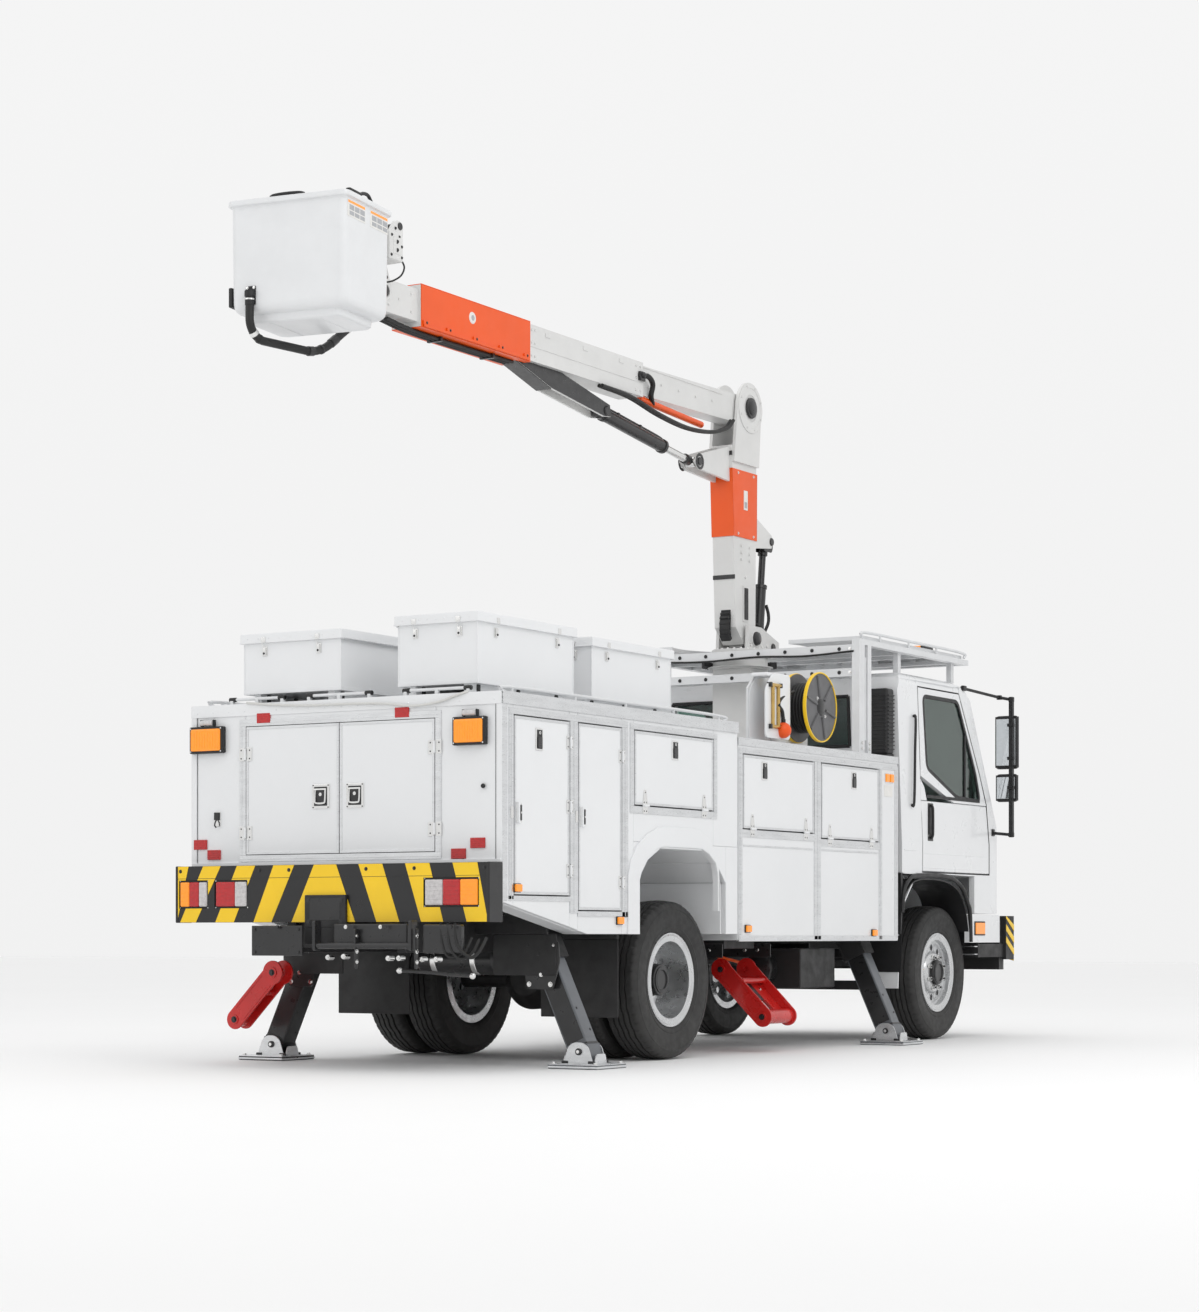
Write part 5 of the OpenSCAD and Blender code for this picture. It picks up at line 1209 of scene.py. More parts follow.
# ------------------------------------------------------------------ roof boxes, rack, reel
ROOF = {"lid_right": (-0.900, -0.345, 1.010, 2.070, 2.640), "lid_left": (0.060, 0.780, 1.350, 2.090, 2.590), "lid_front": (-0.880, -0.330, -0.230, 0.760, 2.610)}
rb = Part("roof_box_fittings", "chassis", "body_paint")
for name, (x0, x1, y0, y1, zt) in ROOF.items():
    lid = Part(f"{name}_fittings", name, "body_paint")
    # pressed lip and centre crown on the lid
    lid.box(x0 + 0.030, x1 - 0.030, y0 + 0.030, y1 - 0.030, zt + 0.026, zt + 0.0335, BODYW, b=0.006, seg=3)
    lid.box(x0 - 0.0225, x1 + 0.0225, y0 - 0.0225, y1 + 0.0225, zt - 0.0305, zt - 0.0225, BODYW, b=0.0035)
    # body: base flange, corner angles, seams
    for a, b, c, d in ((x0 - 0.004, x1 + 0.004, y1 - 0.004, y1 + 0.004), (x0 - 0.004, x1 + 0.004, y0 - 0.004, y0 + 0.004), (x0 - 0.004, x0 + 0.004, y0, y1), (x1 - 0.004, x1 + 0.004, y0, y1)):
        rb.box(a, b, c, d, 2.252, 2.276, BODYW, b=0.003)
    for xx in (x0, x1):
        for yy in (y0, y1):
            rb.box(xx - 0.0035, xx + 0.0035, yy - 0.0035, yy + 0.0035, 2.256, zt - 0.034, BODYW, b=0.0025)
    # feet channels and hold-down bolts
    for xx in (x0 + 0.085, x1 - 0.085):
        rb.box(xx - 0.045, xx + 0.045, y0 + 0.010, y1 - 0.010, 2.1855, 2.192, ALU, b=0.002)
        for yy in (y0 + 0.10, (y0 + y1) / 2, y1 - 0.10):
            rb.hexbolt((xx + 0.032, yy, 2.190), (0, 0, 1), 0.009, CHROME, h=0.010)
            rb.box(xx - 0.030, xx + 0.030, yy - 0.020, yy + 0.020, 2.190, 2.254, PLAST, b=0.006)
    # over-centre catches on the rear and the long outer side
    for yy, face in ((y1, 1),):
        for f in (0.22, 0.78):
            xc = x0 + (x1 - x0) * f
            lid.box(xc - 0.016, xc + 0.016, yy + 0.0195, yy + 0.0245, zt - 0.030, zt + 0.004, CHROME, b=0.002)
            rb.box(xc - 0.018, xc + 0.018, yy - 0.001, yy + 0.006, zt - 0.110, zt - 0.052, CHROME, b=0.002)
            rb.box(xc - 0.011, xc + 0.011, yy + 0.005, yy + 0.0150, zt - 0.104, zt - 0.056, CHROME, b=0.004)
            rb.tube([(xc, yy + 0.0130, zt - 0.060), (xc, yy + 0.0260, zt - 0.044), (xc, yy + 0.0275, zt - 0.034)], 0.003, CHROME, seg=8, smooth=4)
            rb.ball((xc, yy + 0.0145, zt - 0.094), 0.0075, BSTEEL, seg=12)
    xs = x0 if name != "lid_left" else x1
    hs = x1 if name != "lid_left" else x0
    d = -1 if xs == x0 else 1
    for f in (0.18, 0.82):
        yc = y0 + (y1 - y0) * f
        rb.box(xs, xs + d * 0.006, yc - 0.018, yc + 0.018, zt - 0.110, zt - 0.052, CHROME, b=0.002)
        rb.box(xs + d * 0.005, xs + d * 0.015, yc - 0.011, yc + 0.011, zt - 0.104, zt - 0.056, CHROME, b=0.004)
        lid.box(xs + d * 0.0195, xs + d * 0.0245, yc - 0.016, yc + 0.016, zt - 0.030, zt + 0.004, CHROME, b=0.002)
        rb.ball((xs + d * 0.0145, yc, zt - 0.094), 0.0075, BSTEEL, seg=12)
    # piano hinge line on the other long side
    for k in range(12):
        yc = y0 + (y1 - y0) * (k + 0.5) / 12
        lid.cyl((hs - d * 0.024, yc - 0.030, zt - 0.0305), (hs - d * 0.024, yc + 0.030, zt - 0.0305), 0.0060, ALU, seg=12, b=0.001)
    # edge rivets
    n = 9
    for k in range(n):
        xx = x0 + 0.04 + (x1 - x0 - 0.08) * k / (n - 1)
        for yy in (y0 - 0.0205, y1 + 0.0205):
            lid.ball((xx, yy, zt - 0.004), 0.0042, ALU, seg=8, sc=(1, 0.5, 1))
    lid.done()
# hand rails along both roof edges and cross battens
for s in (-1, 1):
    for y in (-0.55, 0.05, 0.65, 1.25, 1.95):
        rb.cyl((s * 1.060, y, 2.186), (s * 1.060, y, 2.226), 0.0090, RACKM, seg=12)
    rb.tube([(s * 1.060, -0.60, 2.190), (s * 1.060, -0.56, 2.228), (s * 1.060, 0.70, 2.230), (s * 1.060, 1.98, 2.228), (s * 1.060, 2.02, 2.190)], 0.0100, RACKM, seg=10, smooth=6)
for y in (-0.40, 0.95):
    rb.box(-1.05, 1.05, y - 0.020, y + 0.020, 2.1855, 2.200, RACKM, b=0.003)
# chequered walkway between the boxes
rb.box(-0.300, 0.030, -0.60, 2.08, 2.1855, 2.1900, ALU, b=0.001)
for i in range(6):
    for j in range(48):
        rb.box(-0.275 + i * 0.054 - 0.012, -0.275 + i * 0.054 + 0.012, -0.575 + j * 0.0555 - 0.002, -0.575 + j * 0.0555 + 0.002, 2.1895, 2.1915, ALU, b=0.0,
               M=None)
rb.done()

rk = Part("rack_details", "chassis", "aluminium_rack")
# expanded-metal deck: crossed flat bars laid in the deck's openings
for i in range(12):
    x = -0.920 + i * 0.160
    for j in range(6):
        y = -4.540 + j * 0.170
        for k in range(4):
            t = -0.045 + k * 0.030
            rk.box(x + t - 0.002, x + t + 0.002, y - 0.060, y + 0.060, 2.944, 2.956, RACKM, b=0.0)
        for k in range(3):
            t = -0.040 + k * 0.040
            rk.box(x - 0.058, x + 0.058, y + t - 0.002, y + t + 0.002, 2.948, 2.960, RACKM, b=0.0)
# raised rim rails of the deck, with end caps
for s in (-1, 1):
    M = MX(s)
    rk.tube([(-1.020, -2.80, 2.945), (-1.020, -2.84, 2.985), (-1.020, -3.60, 2.988), (-1.020, -4.56, 2.985), (-1.020, -4.62, 2.945)], 0.0115, RACKM, seg=10, smooth=5, M=M)
    for y in (-3.10, -3.60, -4.10):
        rk.cyl((-1.020, y, 2.930), (-1.020, y, 2.986), 0.0085, RACKM, seg=10, M=M)
    # gussets and bolts where the posts meet the beams
    for y in (-2.745, -2.870):
        for z in (2.620, 2.800):
            rk.prism("y", [(-1.046, z), (-0.930, z + 0.038), (-0.930, z + 0.046), (-1.046, z + 0.110)], y - 0.004, y + 0.004, RACKM, b=0.001, M=M)
        for z in (2.140, 2.180):
            rk.hexbolt((-1.046, y, z), (-1, 0, 0), 0.0095, CHROME, h=0.008, M=M)
        rk.box(-1.070, -0.965, y - 0.045, y + 0.045, 2.0905, 2.100, RACKM, b=0.002, M=M)
    for z in (2.690, 2.860):
        for dx in (0.0, 0.035):
            rk.hexbolt((-1.000 + dx, -2.709, z), (0, 1, 0), 0.0090, CHROME, h=0.007, M=M)
    # diagonal brace on the outside
    rk.tube([(-1.030, -2.815, 2.200), (-1.030, -2.815, 2.800)], 0.012, RACKM, seg=10, smooth=2, M=M)
for z0 in (2.660, 2.830):
    for k in range(9):
        x = -0.88 + k * 0.22
        rk.cyl((x, -2.7090, z0 + 0.030), (x, -2.7060, z0 + 0.030), 0.014, PLAST, seg=16, b=0.001)
# cable along the beam
rk.tube([(-1.0, -2.700, 2.84), (-0.6, -2.698, 2.822), (-0.2, -2.700, 2.835), (0.25, -2.698, 2.820), (0.7, -2.700, 2.838), (1.0, -2.700, 2.842)], 0.0075, HOSE, seg=8, smooth=8)
# reel bracket: rounded cheek, brackets, roller guide and orange ball
rk.prism("x", rounded([(-2.200, 2.100), (-1.345, 2.100), (-1.345, 2.470), (-1.470, 2.586), (-1.740, 2.586), (-1.830, 2.420), (-2.200, 2.420)], 0.06, 5), -0.866, -0.8605, BODYW, b=0.002)
rk.box(-0.900, -0.862, -1.700, -1.660, 2.100, 2.560, BODYW, b=0.010, seg=3)
rk.box(-0.985, -0.862, -1.560, -1.380, 2.560, 2.586, BODYW, b=0.008, seg=3)
rk.prism("x", rounded([(-1.700, 2.137), (-1.340, 2.137), (-1.340, 2.470), (-1.450, 2.586), (-1.700, 2.586)], 0.04, 5), -1.000, -0.985, BODYW, b=0.004)
for z in (2.150, 2.330):
    rk.box(-0.990, -0.862, -1.690, -1.670, z, z + 0.03, BODYW, b=0.003)
for yy in (-1.500, -1.420):
    rk.cyl((-1.010, yy, 2.215), (-1.010, yy, 2.500), 0.0125, BRASS, seg=20, b=0.002)
for z in (2.215, 2.500):
    rk.cyl((-1.010, -1.530, z), (-1.010, -1.390, z), 0.0125, BRASS, seg=20, b=0.002)
    rk.box(-1.022, -0.985, -1.545, -1.525, z - 0.016, z + 0.016, BSTEEL, b=0.003)
    rk.box(-1.022, -0.985, -1.395, -1.375, z - 0.016, z + 0.016, BSTEEL, b=0.003)
rk.ball((-1.012, -1.571, 2.198), 0.055, ORANGE, seg=28)
rk.cyl((-1.012, -1.571, 2.246), (-1.012, -1.571, 2.275), 0.016, PLAST, seg=16, b=0.003)
rk.tube([(-1.012, -1.571, 2.270), (-1.015, -1.545, 2.330), (-1.012, -1.500, 2.370), (-0.990, -1.600, 2.430), (-0.975, -1.800, 2.480)], 0.0125, HOSE, seg=12, smooth=6)
rk.done()

reel = Part("reel_hose", "hose_reel", "reel_grey")
c = (-0.9725, -2.030, 2.385)
for t in (-0.0970, 0.0860):
    reel.lathe([(0.2360, t - 0.0060), (0.2440, t - 0.0060), (0.2465, t), (0.2440, t + 0.0180), (0.2360, t + 0.0180), (0.2340, t + 0.006)], c, (1, 0, 0), YELLOW, seg=72, closed=True)
    for k in range(6):
        a = 2 * math.pi * (k + 0.25) / 6
        p0 = (c[0] + t + (-0.004 if t < 0 else 0.016), c[1] + 0.070 * math.cos(a), c[2] + 0.070 * math.sin(a))
        p1 = (c[0] + t + (-0.004 if t < 0 else 0.016), c[1] + 0.225 * math.cos(a), c[2] + 0.225 * math.sin(a))
        reel.tube([p0, p1], 0.0095, REELG, seg=8, smooth=2)
# wound hose: three layers of turns
for layer, rr in ((0, 0.122), (1, 0.144), (2, 0.166)):
    for k in range(6):
        t = -0.066 + k * 0.0245 + (0.012 if layer % 2 else 0.0)
        if t > 0.066:
            continue
        ringp = [(rr + 0.0118 * math.cos(2 * math.pi * i / 10), t + 0.0118 * math.sin(2 * math.pi * i / 10)) for i in range(10)]
        reel.lathe(ringp, c, (1, 0, 0), HOSE, seg=56, closed=True)
reel.lathe([(0.0, -0.1120), (0.040, -0.1120), (0.052, -0.1060), (0.060, -0.098), (0.060, -0.085)], c, (1, 0, 0), BSTEEL, seg=40)
for k in range(4):
    a = math.pi / 4 + k * math.pi / 2
    reel.hexbolt((c[0] - 0.0985, c[1] + 0.085 * math.cos(a), c[2] + 0.085 * math.sin(a)), (-1, 0, 0), 0.008, CHROME, h=0.008)
reel.done()


# ------------------------------------------------------------------ boom
def cover(p, x0, x1, pts, t, mat, b=0.006):
    """A wrap-round cover: four plates on the outside of a box section; pts are its side outline."""
    p.prism("x", pts, x1, x1 + t, mat, b=min(b, t * 0.45))
    p.prism("x", pts, x0 - t, x0, mat, b=min(b, t * 0.45))


# lower boom: orange cover, label, slot, bolts
lb = Part("lower_boom_details", "lower_boom", "boom_paint")


def yfr(z, side):
    """Front or rear face of the lower boom at height z."""
    if side > 0:
        return -2.790 + (z - 3.080) / 1.340 * 0.065
    return -3.105 - (z - 3.080) / 1.340 * 0.015


x0, x1 = XB - 0.088, XB + 0.088
t = 0.0065
zc0, zc1 = 3.750, 4.250
pts = [(yfr(zc0, -1) - t, zc0), (yfr(zc0, 1) + t, zc0), (yfr(zc1, 1) + t, zc1), (yfr(zc1, -1) - t, zc1)]
cover(lb, x0, x1, pts, t, ORANGE)
for sd in (-1, 1):
    lb.prism("x", [(yfr(zc0, sd) + sd * 0.0002, zc0), (yfr(zc0, sd) + sd * t, zc0), (yfr(zc1, sd) + sd * t, zc1), (yfr(zc1, sd) + sd * 0.0002, zc1)], x0 - t, x1 + t, ORANGE, b=0.002)
lb.box(x0 - t - 0.0030, x0 - t + 0.001, -2.965, -2.905, 3.960, 4.105, LABEL, b=0.001)
lb.box(x0 - t - 0.0042, x0 - t, -2.955, -2.915, 3.975, 4.020, GSTICK, b=0.0005)
for z in (3.775, 4.225):
    for y in (-3.060, -2.820):
        lb.hexbolt((x0 - t, y, z), (-1, 0, 0), 0.0075, CHROME, h=0.006)
        lb.hexbolt((x1 + t, y, z), (1, 0, 0), 0.0075, CHROME, h=0.006)
for s, xf in ((-1, x0), (1, x1)):
    for z in (3.690, 3.640, 3.590):
        for y in (-3.010, -2.880):
            lb.hexbolt((xf, y, z), (s, 0, 0), 0.0110, BOOMW, h=0.007)
    # slot with a black cover
    lb.box(xf, xf + s * 0.0055, -2.985, -2.905, 3.130, 3.395, BOOMW, b=0.002)
    lb.box(xf + s * 0.004, xf + s * 0.0125, -2.972, -2.918, 3.145, 3.380, PLAST, b=0.010, seg=3)
    for z in (3.02, 3.46, 4.31):
        lb.hexbolt((xf, -2.945, z), (s, 0, 0), 0.009, CHROME, h=0.006)
    # pivot caps at the base and the elbow
    xa = xf + s * 0.062
    lb.lathe([(0.0, 0.020), (0.030, 0.020), (0.046, 0.014), (0.052, 0.0), (0.052, -0.010)], (xa, -3.014, 3.007), (s, 0, 0), BSTEEL, seg=36)
    xe = XB + s * 0.110
    lb.lathe([(0.185, 0.000), (0.186, 0.0050), (0.182, 0.0070), (0.150, 0.0075), (0.149, 0.0050), (0.100, 0.0050), (0.099, 0.0)], (xe, -2.980, 4.725), (s, 0, 0), BOOMW, seg=72)
    for k in range(8):
        a = 2 * math.pi * (k + 0.5) / 8
        lb.hexbolt((xe + s * 0.005, -2.980 + 0.165 * math.cos(a), 4.725 + 0.165 * math.sin(a)), (s, 0, 0), 0.0085, CHROME, h=0.008)
# black bands and hose clamps up the rear face
for z in (3.45, 4.36):
    lb.box(x0 - 0.004, x1 + 0.004, yfr(z, 1) - 0.004, yfr(z, 1) + 0.0050, z - 0.016, z + 0.016, BSTEEL, b=0.002)
# hoses up the front face, from the base to the elbow
for k, xx in enumerate((XB - 0.030, XB, XB + 0.030)):
    lb.tube([(xx, -3.095, 3.100), (xx, -3.130, 3.300), (xx, -3.132, 3.600), (xx + 0.004, -3.140, 4.000), (xx, -3.145, 4.350), (xx, -3.182, 4.560), (xx, -3.175, 4.700)], 0.0115, HOSE, seg=10, smooth=8)
for z in (3.35, 3.62, 4.34):
    lb.box(XB - 0.055, XB + 0.055, -3.150, -3.108, z - 0.014, z + 0.014, BSTEEL, b=0.004)
# bracket eyes for the cylinders
for s in (-1, 1):
    xf = XB + s * 0.070
    lb.lathe([(0.0, 0.010), (0.024, 0.010), (0.030, 0.006), (0.031, -0.001)], (xf, -3.400, 3.780), (s, 0, 0), BSTEEL, seg=28)
    lb.lathe([(0.0, 0.010), (0.024, 0.010), (0.030, 0.006), (0.031, -0.001)], (xf, -2.270, 4.232), (s, 0, 0), BSTEEL, seg=28)
    lb.lathe([(0.040, 0.0), (0.058, 0.0), (0.060, 0.003), (0.058, 0.0055), (0.040, 0.006)], (xf, -2.270, 4.232), (s, 0, 0), BSTEEL, seg=28)
lb.done()

tu = Part("turret_details", "turret", "white_paint")
tu.lathe([(0.215, 0.003), (0.2260, 0.005), (0.2280, 0.012), (0.2280, 0.026), (0.2240, 0.032), (0.2140, 0.033)], (XB, -3.030, 2.864), (0, 0, 1), BSTEEL, seg=96)
for k in range(24):
    a = 2 * math.pi * k / 24
    tu.hexbolt((XB + 0.196 * math.cos(a), -3.030 + 0.196 * math.sin(a), 2.925), (0, 0, 1), 0.0085, CHROME, h=0.009)
for s in (-1, 1):
    xf = XB + s * 0.135
    tu.lathe([(0.030, 0.0), (0.058, 0.0), (0.060, 0.004), (0.056, 0.0075), (0.031, 0.0075)], (xf, -3.014, 3.007), (s, 0, 0), BOOMW, seg=36)
    tu.lathe([(0.0, 0.012), (0.022, 0.012), (0.030, 0.007), (0.032, 0.0)], (xf, -3.300, 2.965), (s, 0, 0), BSTEEL, seg=28)
    for y, z in ((-3.11, 2.955), (-2.94, 2.955), (-3.20, 2.965)):
        tu.hexbolt((xf, y, z), (s, 0, 0), 0.010, CHROME, h=0.008)
tu.tube([(XB + 0.05, -3.160, 2.930), (XB + 0.06, -3.210, 3.040), (XB + 0.04, -3.190, 3.120), (XB + 0.03, -3.140, 3.160)], 0.0115, HOSE, seg=10, smooth=7)
tu.tube([(XB - 0.05, -3.170, 2.930), (XB - 0.07, -3.250, 3.020), (XB - 0.05, -3.240, 3.120), (XB - 0.03, -3.150, 3.150)], 0.0115, HOSE, seg=10, smooth=7)
for k in range(9):
    a = math.radians(-40 + k * 20)
    tu.box(-0.040, 0.040, -0.018, 0.018, -0.028, 0.028, PLAST, b=0.005,
           M=Matrix.Translation(Vector((XB - 0.010, -2.815 + 0.045 * math.cos(a), 3.080 + 0.115 * math.sin(a)))) @ Matrix.Rotation(a, 4, "X"))
tu.done()

# cable chain round the pedestal foot
ped = Part("pedestal_details", "chassis", "boom_paint")
for k in range(26):
    a = -2.30 + k * 0.125
    r = 0.262
    cx, cy = XB + r * math.cos(a), -3.030 + r * math.sin(a)
    Mk = Matrix.Translation(Vector((cx, cy, 2.822))) @ Matrix.Rotation(a, 4, "Z")
    ped.box(-0.026, 0.026, -0.0135, 0.0135, -0.022, 0.022, PLAST, b=0.004, M=Mk)
    ped.box(-0.028, 0.028, -0.0045, 0.0045, -0.025, 0.025, BSTEEL, b=0.002, M=Mk)
ped.lathe([(0.205, 0.0), (0.2440, 0.0), (0.2460, 0.003), (0.2440, 0.0065), (0.205, 0.0070)], (XB, -3.030, 2.790), (0, 0, 1), BOOMW, seg=72)
for z in (1.60, 2.20):
    ped.box(XB - 0.163, XB + 0.163, -3.173, -2.887, z, z + 0.010, BOOMW, b=0.002)
ped.box(XB - 0.120, XB + 0.120, -2.891, -2.886, 1.90, 2.15, PLAST, b=0.004)
ped.done()

# upper boom: orange cover, white box, bolts, caps
ub = Part("upper_boom_details", "upper_boom", "boom_paint")
xa, xb2 = XB - 0.106, XB + 0.106
t = 0.0060
outl = [(0.092, 4.545), (1.348, 4.545), (1.348, 4.802), (0.092, 4.802)]
cover(ub, xa, xb2, outl, t, ORANGE)
ub.box(xa - t, xb2 + t, 0.092, 1.348, 4.8018, 4.808, ORANGE, b=0.002)
ub.box(xa - t, xb2 + t, 0.092, 1.348, 4.539, 4.5452, ORANGE, b=0.002)
# lower flange with gussets and bolts, and a round label on each side
for s, xf in ((-1, xa - t), (1, xb2 + t)):
    ub.box(xf, xf + s * 0.010, 0.110, 1.330, 4.545, 4.562, ORANGE, b=0.003)
    for y in (0.14, 0.44, 0.74, 1.04, 1.30):
        ub.box(xf, xf + s * 0.009, y - 0.035, y + 0.035, 4.560, 4.585, ORANGE, b=0.004)
        ub.hexbolt((xf + s * 0.008, y, 4.572), (s, 0, 0), 0.0065, BSTEEL, h=0.005)
    ub.lathe([(0.0, 0.004), (0.034, 0.004), (0.038, 0.0)], (xf, 0.780, 4.700), (s, 0, 0), LABEL, seg=36)
    ub.lathe([(0.0, 0.0056), (0.017, 0.0056), (0.0175, 0.004)], (xf, 0.780, 4.700), (s, 0, 0), GSTICK, seg=24)
    # white box: seams and bolts
    xw = XB + s * 0.100
    ub.box(xw, xw + s * 0.003, -1.395, 0.085, 4.648, 4.652, BOOMW, b=0.001)
    for y in (-1.36, -1.30, 0.02, 0.06):
        for z in (4.590, 4.675, 4.760):
            ub.hexbolt((xw, y, z), (s, 0, 0), 0.0070, CHROME, h=0.0055)
    for y in (-1.10, -0.62, -0.14):
        ub.box(xw, xw + s * 0.0040, y - 0.030, y + 0.030, 4.740, 4.768, BOOMW, b=0.002)
    # heel: pressed web lines and bolts
    xh = XB + s * 0.075
    for y, z in ((-1.52, 4.640), (-1.52, 4.740), (-1.70, 4.690), (-1.95, 4.690), (-2.20, 4.690), (-2.45, 4.700)):
        ub.hexbolt((xh, y, z), (s, 0, 0), 0.0085, BOOMW, h=0.006)
    ub.box(xh, xh + s * 0.004, -2.60, -1.44, 4.770, 4.782, BOOMW, b=0.0015)
    # elbow pin cap
    ub.lathe([(0.0, 0.024), (0.042, 0.024), (0.056, 0.018), (0.060, 0.010), (0.074, 0.0085), (0.078, 0.0005), (0.078, -0.006)], (XB + s * 0.121, -2.980, 4.725), (s, 0, 0), BSTEEL, seg=48)
    # tip plates and bolts
    xt = XB + s * 0.085
    for y, z in ((1.42, 4.620), (1.42, 4.730), (1.55, 4.675), (1.66, 4.620), (1.66, 4.730)):
        ub.hexbolt((xt, y, z), (s, 0, 0), 0.0070, CHROME, h=0.005)
    # bracket pins of the upper cylinder
    ub.lathe([(0.0, 0.014), (0.026, 0.014), (0.034, 0.008), (0.036, -0.002)], (XB + s * 0.062, -0.960, 4.392), (s, 0, 0), BSTEEL, seg=32)
# the cylinder bracket is black on the outside
for s in (-1, 1):
    a, b = sorted((XB + s * 0.0622, XB + s * 0.0652))
    ub.prism("x", [(0.245, 4.5585), (-0.350, 4.5585), (-1.005, 4.438), (-1.018, 4.362), (-0.932, 4.352), (-0.252, 4.432)], a, b, BSTEEL, b=0.001)
ub.prism("x", [(0.250, 4.5600), (-0.245, 4.4320), (-0.250, 4.424), (0.262, 4.5560)], XB - 0.060, XB + 0.060, BSTEEL, b=0.0)
# orange pipe with black hoses under the heel
ub.tube([(XB - 0.055, -1.42, 4.553), (XB - 0.055, -1.70, 4.537), (XB - 0.055, -2.00, 4.522), (XB - 0.055, -2.32, 4.506)], 0.024, ORANGE, seg=14, smooth=6)
for k, dx in enumerate((-0.099, -0.124)):
    ub.tube([(XB + dx, -0.80, 4.535), (XB + dx, -1.20, 4.520), (XB + dx, -1.60, 4.460), (XB + dx, -2.00, 4.430), (XB + dx, -2.36, 4.455), (XB + dx, -2.60, 4.520), (XB + dx, -2.69, 4.590)], 0.0135, HOSE, seg=10, smooth=8)
ub.tube([(XB - 0.095, -1.33, 4.690), (XB - 0.125, -1.42, 4.700), (XB - 0.120, -1.50, 4.660), (XB - 0.095, -1.52, 4.585), (XB - 0.060, -1.60, 4.540)], 0.019, HOSE, seg=12, smooth=7)
ub.box(XB - 0.122, XB - 0.098, -1.400, -1.330, 4.660, 4.725, BSTEEL, b=0.006)
ub.ball((XB - 0.122, -1.365, 4.700), 0.022, BSTEEL, seg=18)
# black hoses along the underside of the orange cover to the tip
for dx in (-0.040, -0.010, 0.022):
    ub.tube([(XB + dx, 0.20, 4.530), (XB + dx, 0.70, 4.524), (XB + dx, 1.30, 4.528), (XB + dx, 1.62, 4.552)], 0.0115, HOSE, seg=8, smooth=6)
for y in (0.45, 1.05):
    ub.box(XB - 0.062, XB + 0.046, y - 0.012, y + 0.012, 4.508, 4.543, BSTEEL, b=0.004)
ub.done()

# cylinder details
for nm, p, q, L, r in (("lift", (-3.300, 2.965), (-3.400, 3.780), 0.490, 0.042), ("elbow", (-0.960, 4.392), (-2.270, 4.232), 0.900, 0.045)):
    d = Vector((0, q[0] - p[0], q[1] - p[1])).normalized()
    o = Vector((XB, p[0], p[1]))
    cp = Part(f"{nm}_barrel_details", f"{nm}_barrel", "black_steel")
    e = o + d * L
    R = d
    cp.lathe([(r + 0.0005, -0.030), (r + 0.0065, -0.028), (r + 0.0065, -0.002), (r + 0.002, 0.001), (r - 0.010, 0.0015), (r - 0.0145, 0.0005)], e, d, BSTEEL, seg=40)
    cp.lathe([(r + 0.0005, 0.050), (r + 0.006, 0.052), (r + 0.006, 0.080), (r + 0.0005, 0.082)], o, d, BSTEEL, seg=40)
    n = d.cross(Vector((1, 0, 0))).normalized()
    side_ = -n if nm == "lift" else n
    a0 = o + d * 0.10 + side_ * (r + 0.010)
    a1 = o + d * (L - 0.06) + side_ * (r + 0.010)
    if nm == "elbow":
      cp.tube([o + d * 0.075 + side_ * (r - 0.004), a0, o + d * (L * 0.5) + side_ * (r + 0.012), a1, o + d * (L - 0.03) + side_ * (r - 0.004)], 0.008, BSTEEL, seg=10, smooth=6)
    for f in ((0.28, 0.62) if nm == "elbow" else ()):
        cp.box(-0.016, 0.016, -0.012, 0.012, -0.010, 0.012, BSTEEL, b=0.003,
               M=Matrix.Translation(o + d * (L * f) + side_ * (r + 0.006)) @ d.to_track_quat("Y", "Z").to_matrix().to_4x4())
    if nm == "lift":
        cp.tube([o + d * 0.12 + Vector((-0.030, -0.040, 0)), o + d * 0.20 + Vector((-0.048, -0.064, 0.0)), o + d * 0.27 + Vector((-0.044, -0.066, 0)), o + d * 0.34 + Vector((-0.030, -0.046, 0))], 0.0125, HOSE, seg=10, smooth=8)
    cp.done()
    cr = Part(f"{nm}_rod_details", f"{nm}_rod", "chrome_rod")
    D = Vector((0, q[0] - p[0], q[1] - p[1])).length
    f = o + d * (D - 0.075)
    cr.lathe([(0.0265 + 0.002, -0.030), (0.0375, -0.026), (0.0375, 0.030), (0.0300, 0.040)], f, d, BSTEEL, seg=32)
    if nm == "lift":
        # cap on the eye
        for sx in (-1, 1):
            cr.prism("x", rounded([(-3.462, 3.706), (-3.336, 3.706), (-3.336, 3.800), (-3.372, 3.842), (-3.440, 3.842), (-3.480, 3.800), (-3.480, 3.740)], 0.022, 5), *sorted((XB + sx * 0.0365, XB + sx * 0.0415)), BSTEEL, b=0.0015)
        cr.prism("x", rounded([(-3.480, 3.740), (-3.480, 3.800), (-3.440, 3.842), (-3.448, 3.822), (-3.468, 3.790), (-3.468, 3.744)], 0.003, 2), XB - 0.040, XB + 0.040, BSTEEL, b=0.0)
    cr.done()


# ------------------------------------------------------------------ bucket, bracket, hose
YAW = math.radians(8.2)
MB = Matrix.Translation(Vector((XB, 1.977, 0))) @ Matrix.Rotation(YAW, 4, "Z") @ Matrix.Translation(Vector((0, 0.150, 0)))


def rrect_ring(bm, hw, ya, yb, r, z, n=9):
    out = []
    for cx, cy, a0 in ((hw - r, yb - r, 0), (-hw + r, yb - r, 90), (-hw + r, ya + r, 180), (hw - r, ya + r, 270)):
        for i in range(n + 1):
            a = math.radians(a0 + 90 * i / n)
            out.append(bm.verts.new((cx + r * math.cos(a), cy + r * math.sin(a), z)))
    return out


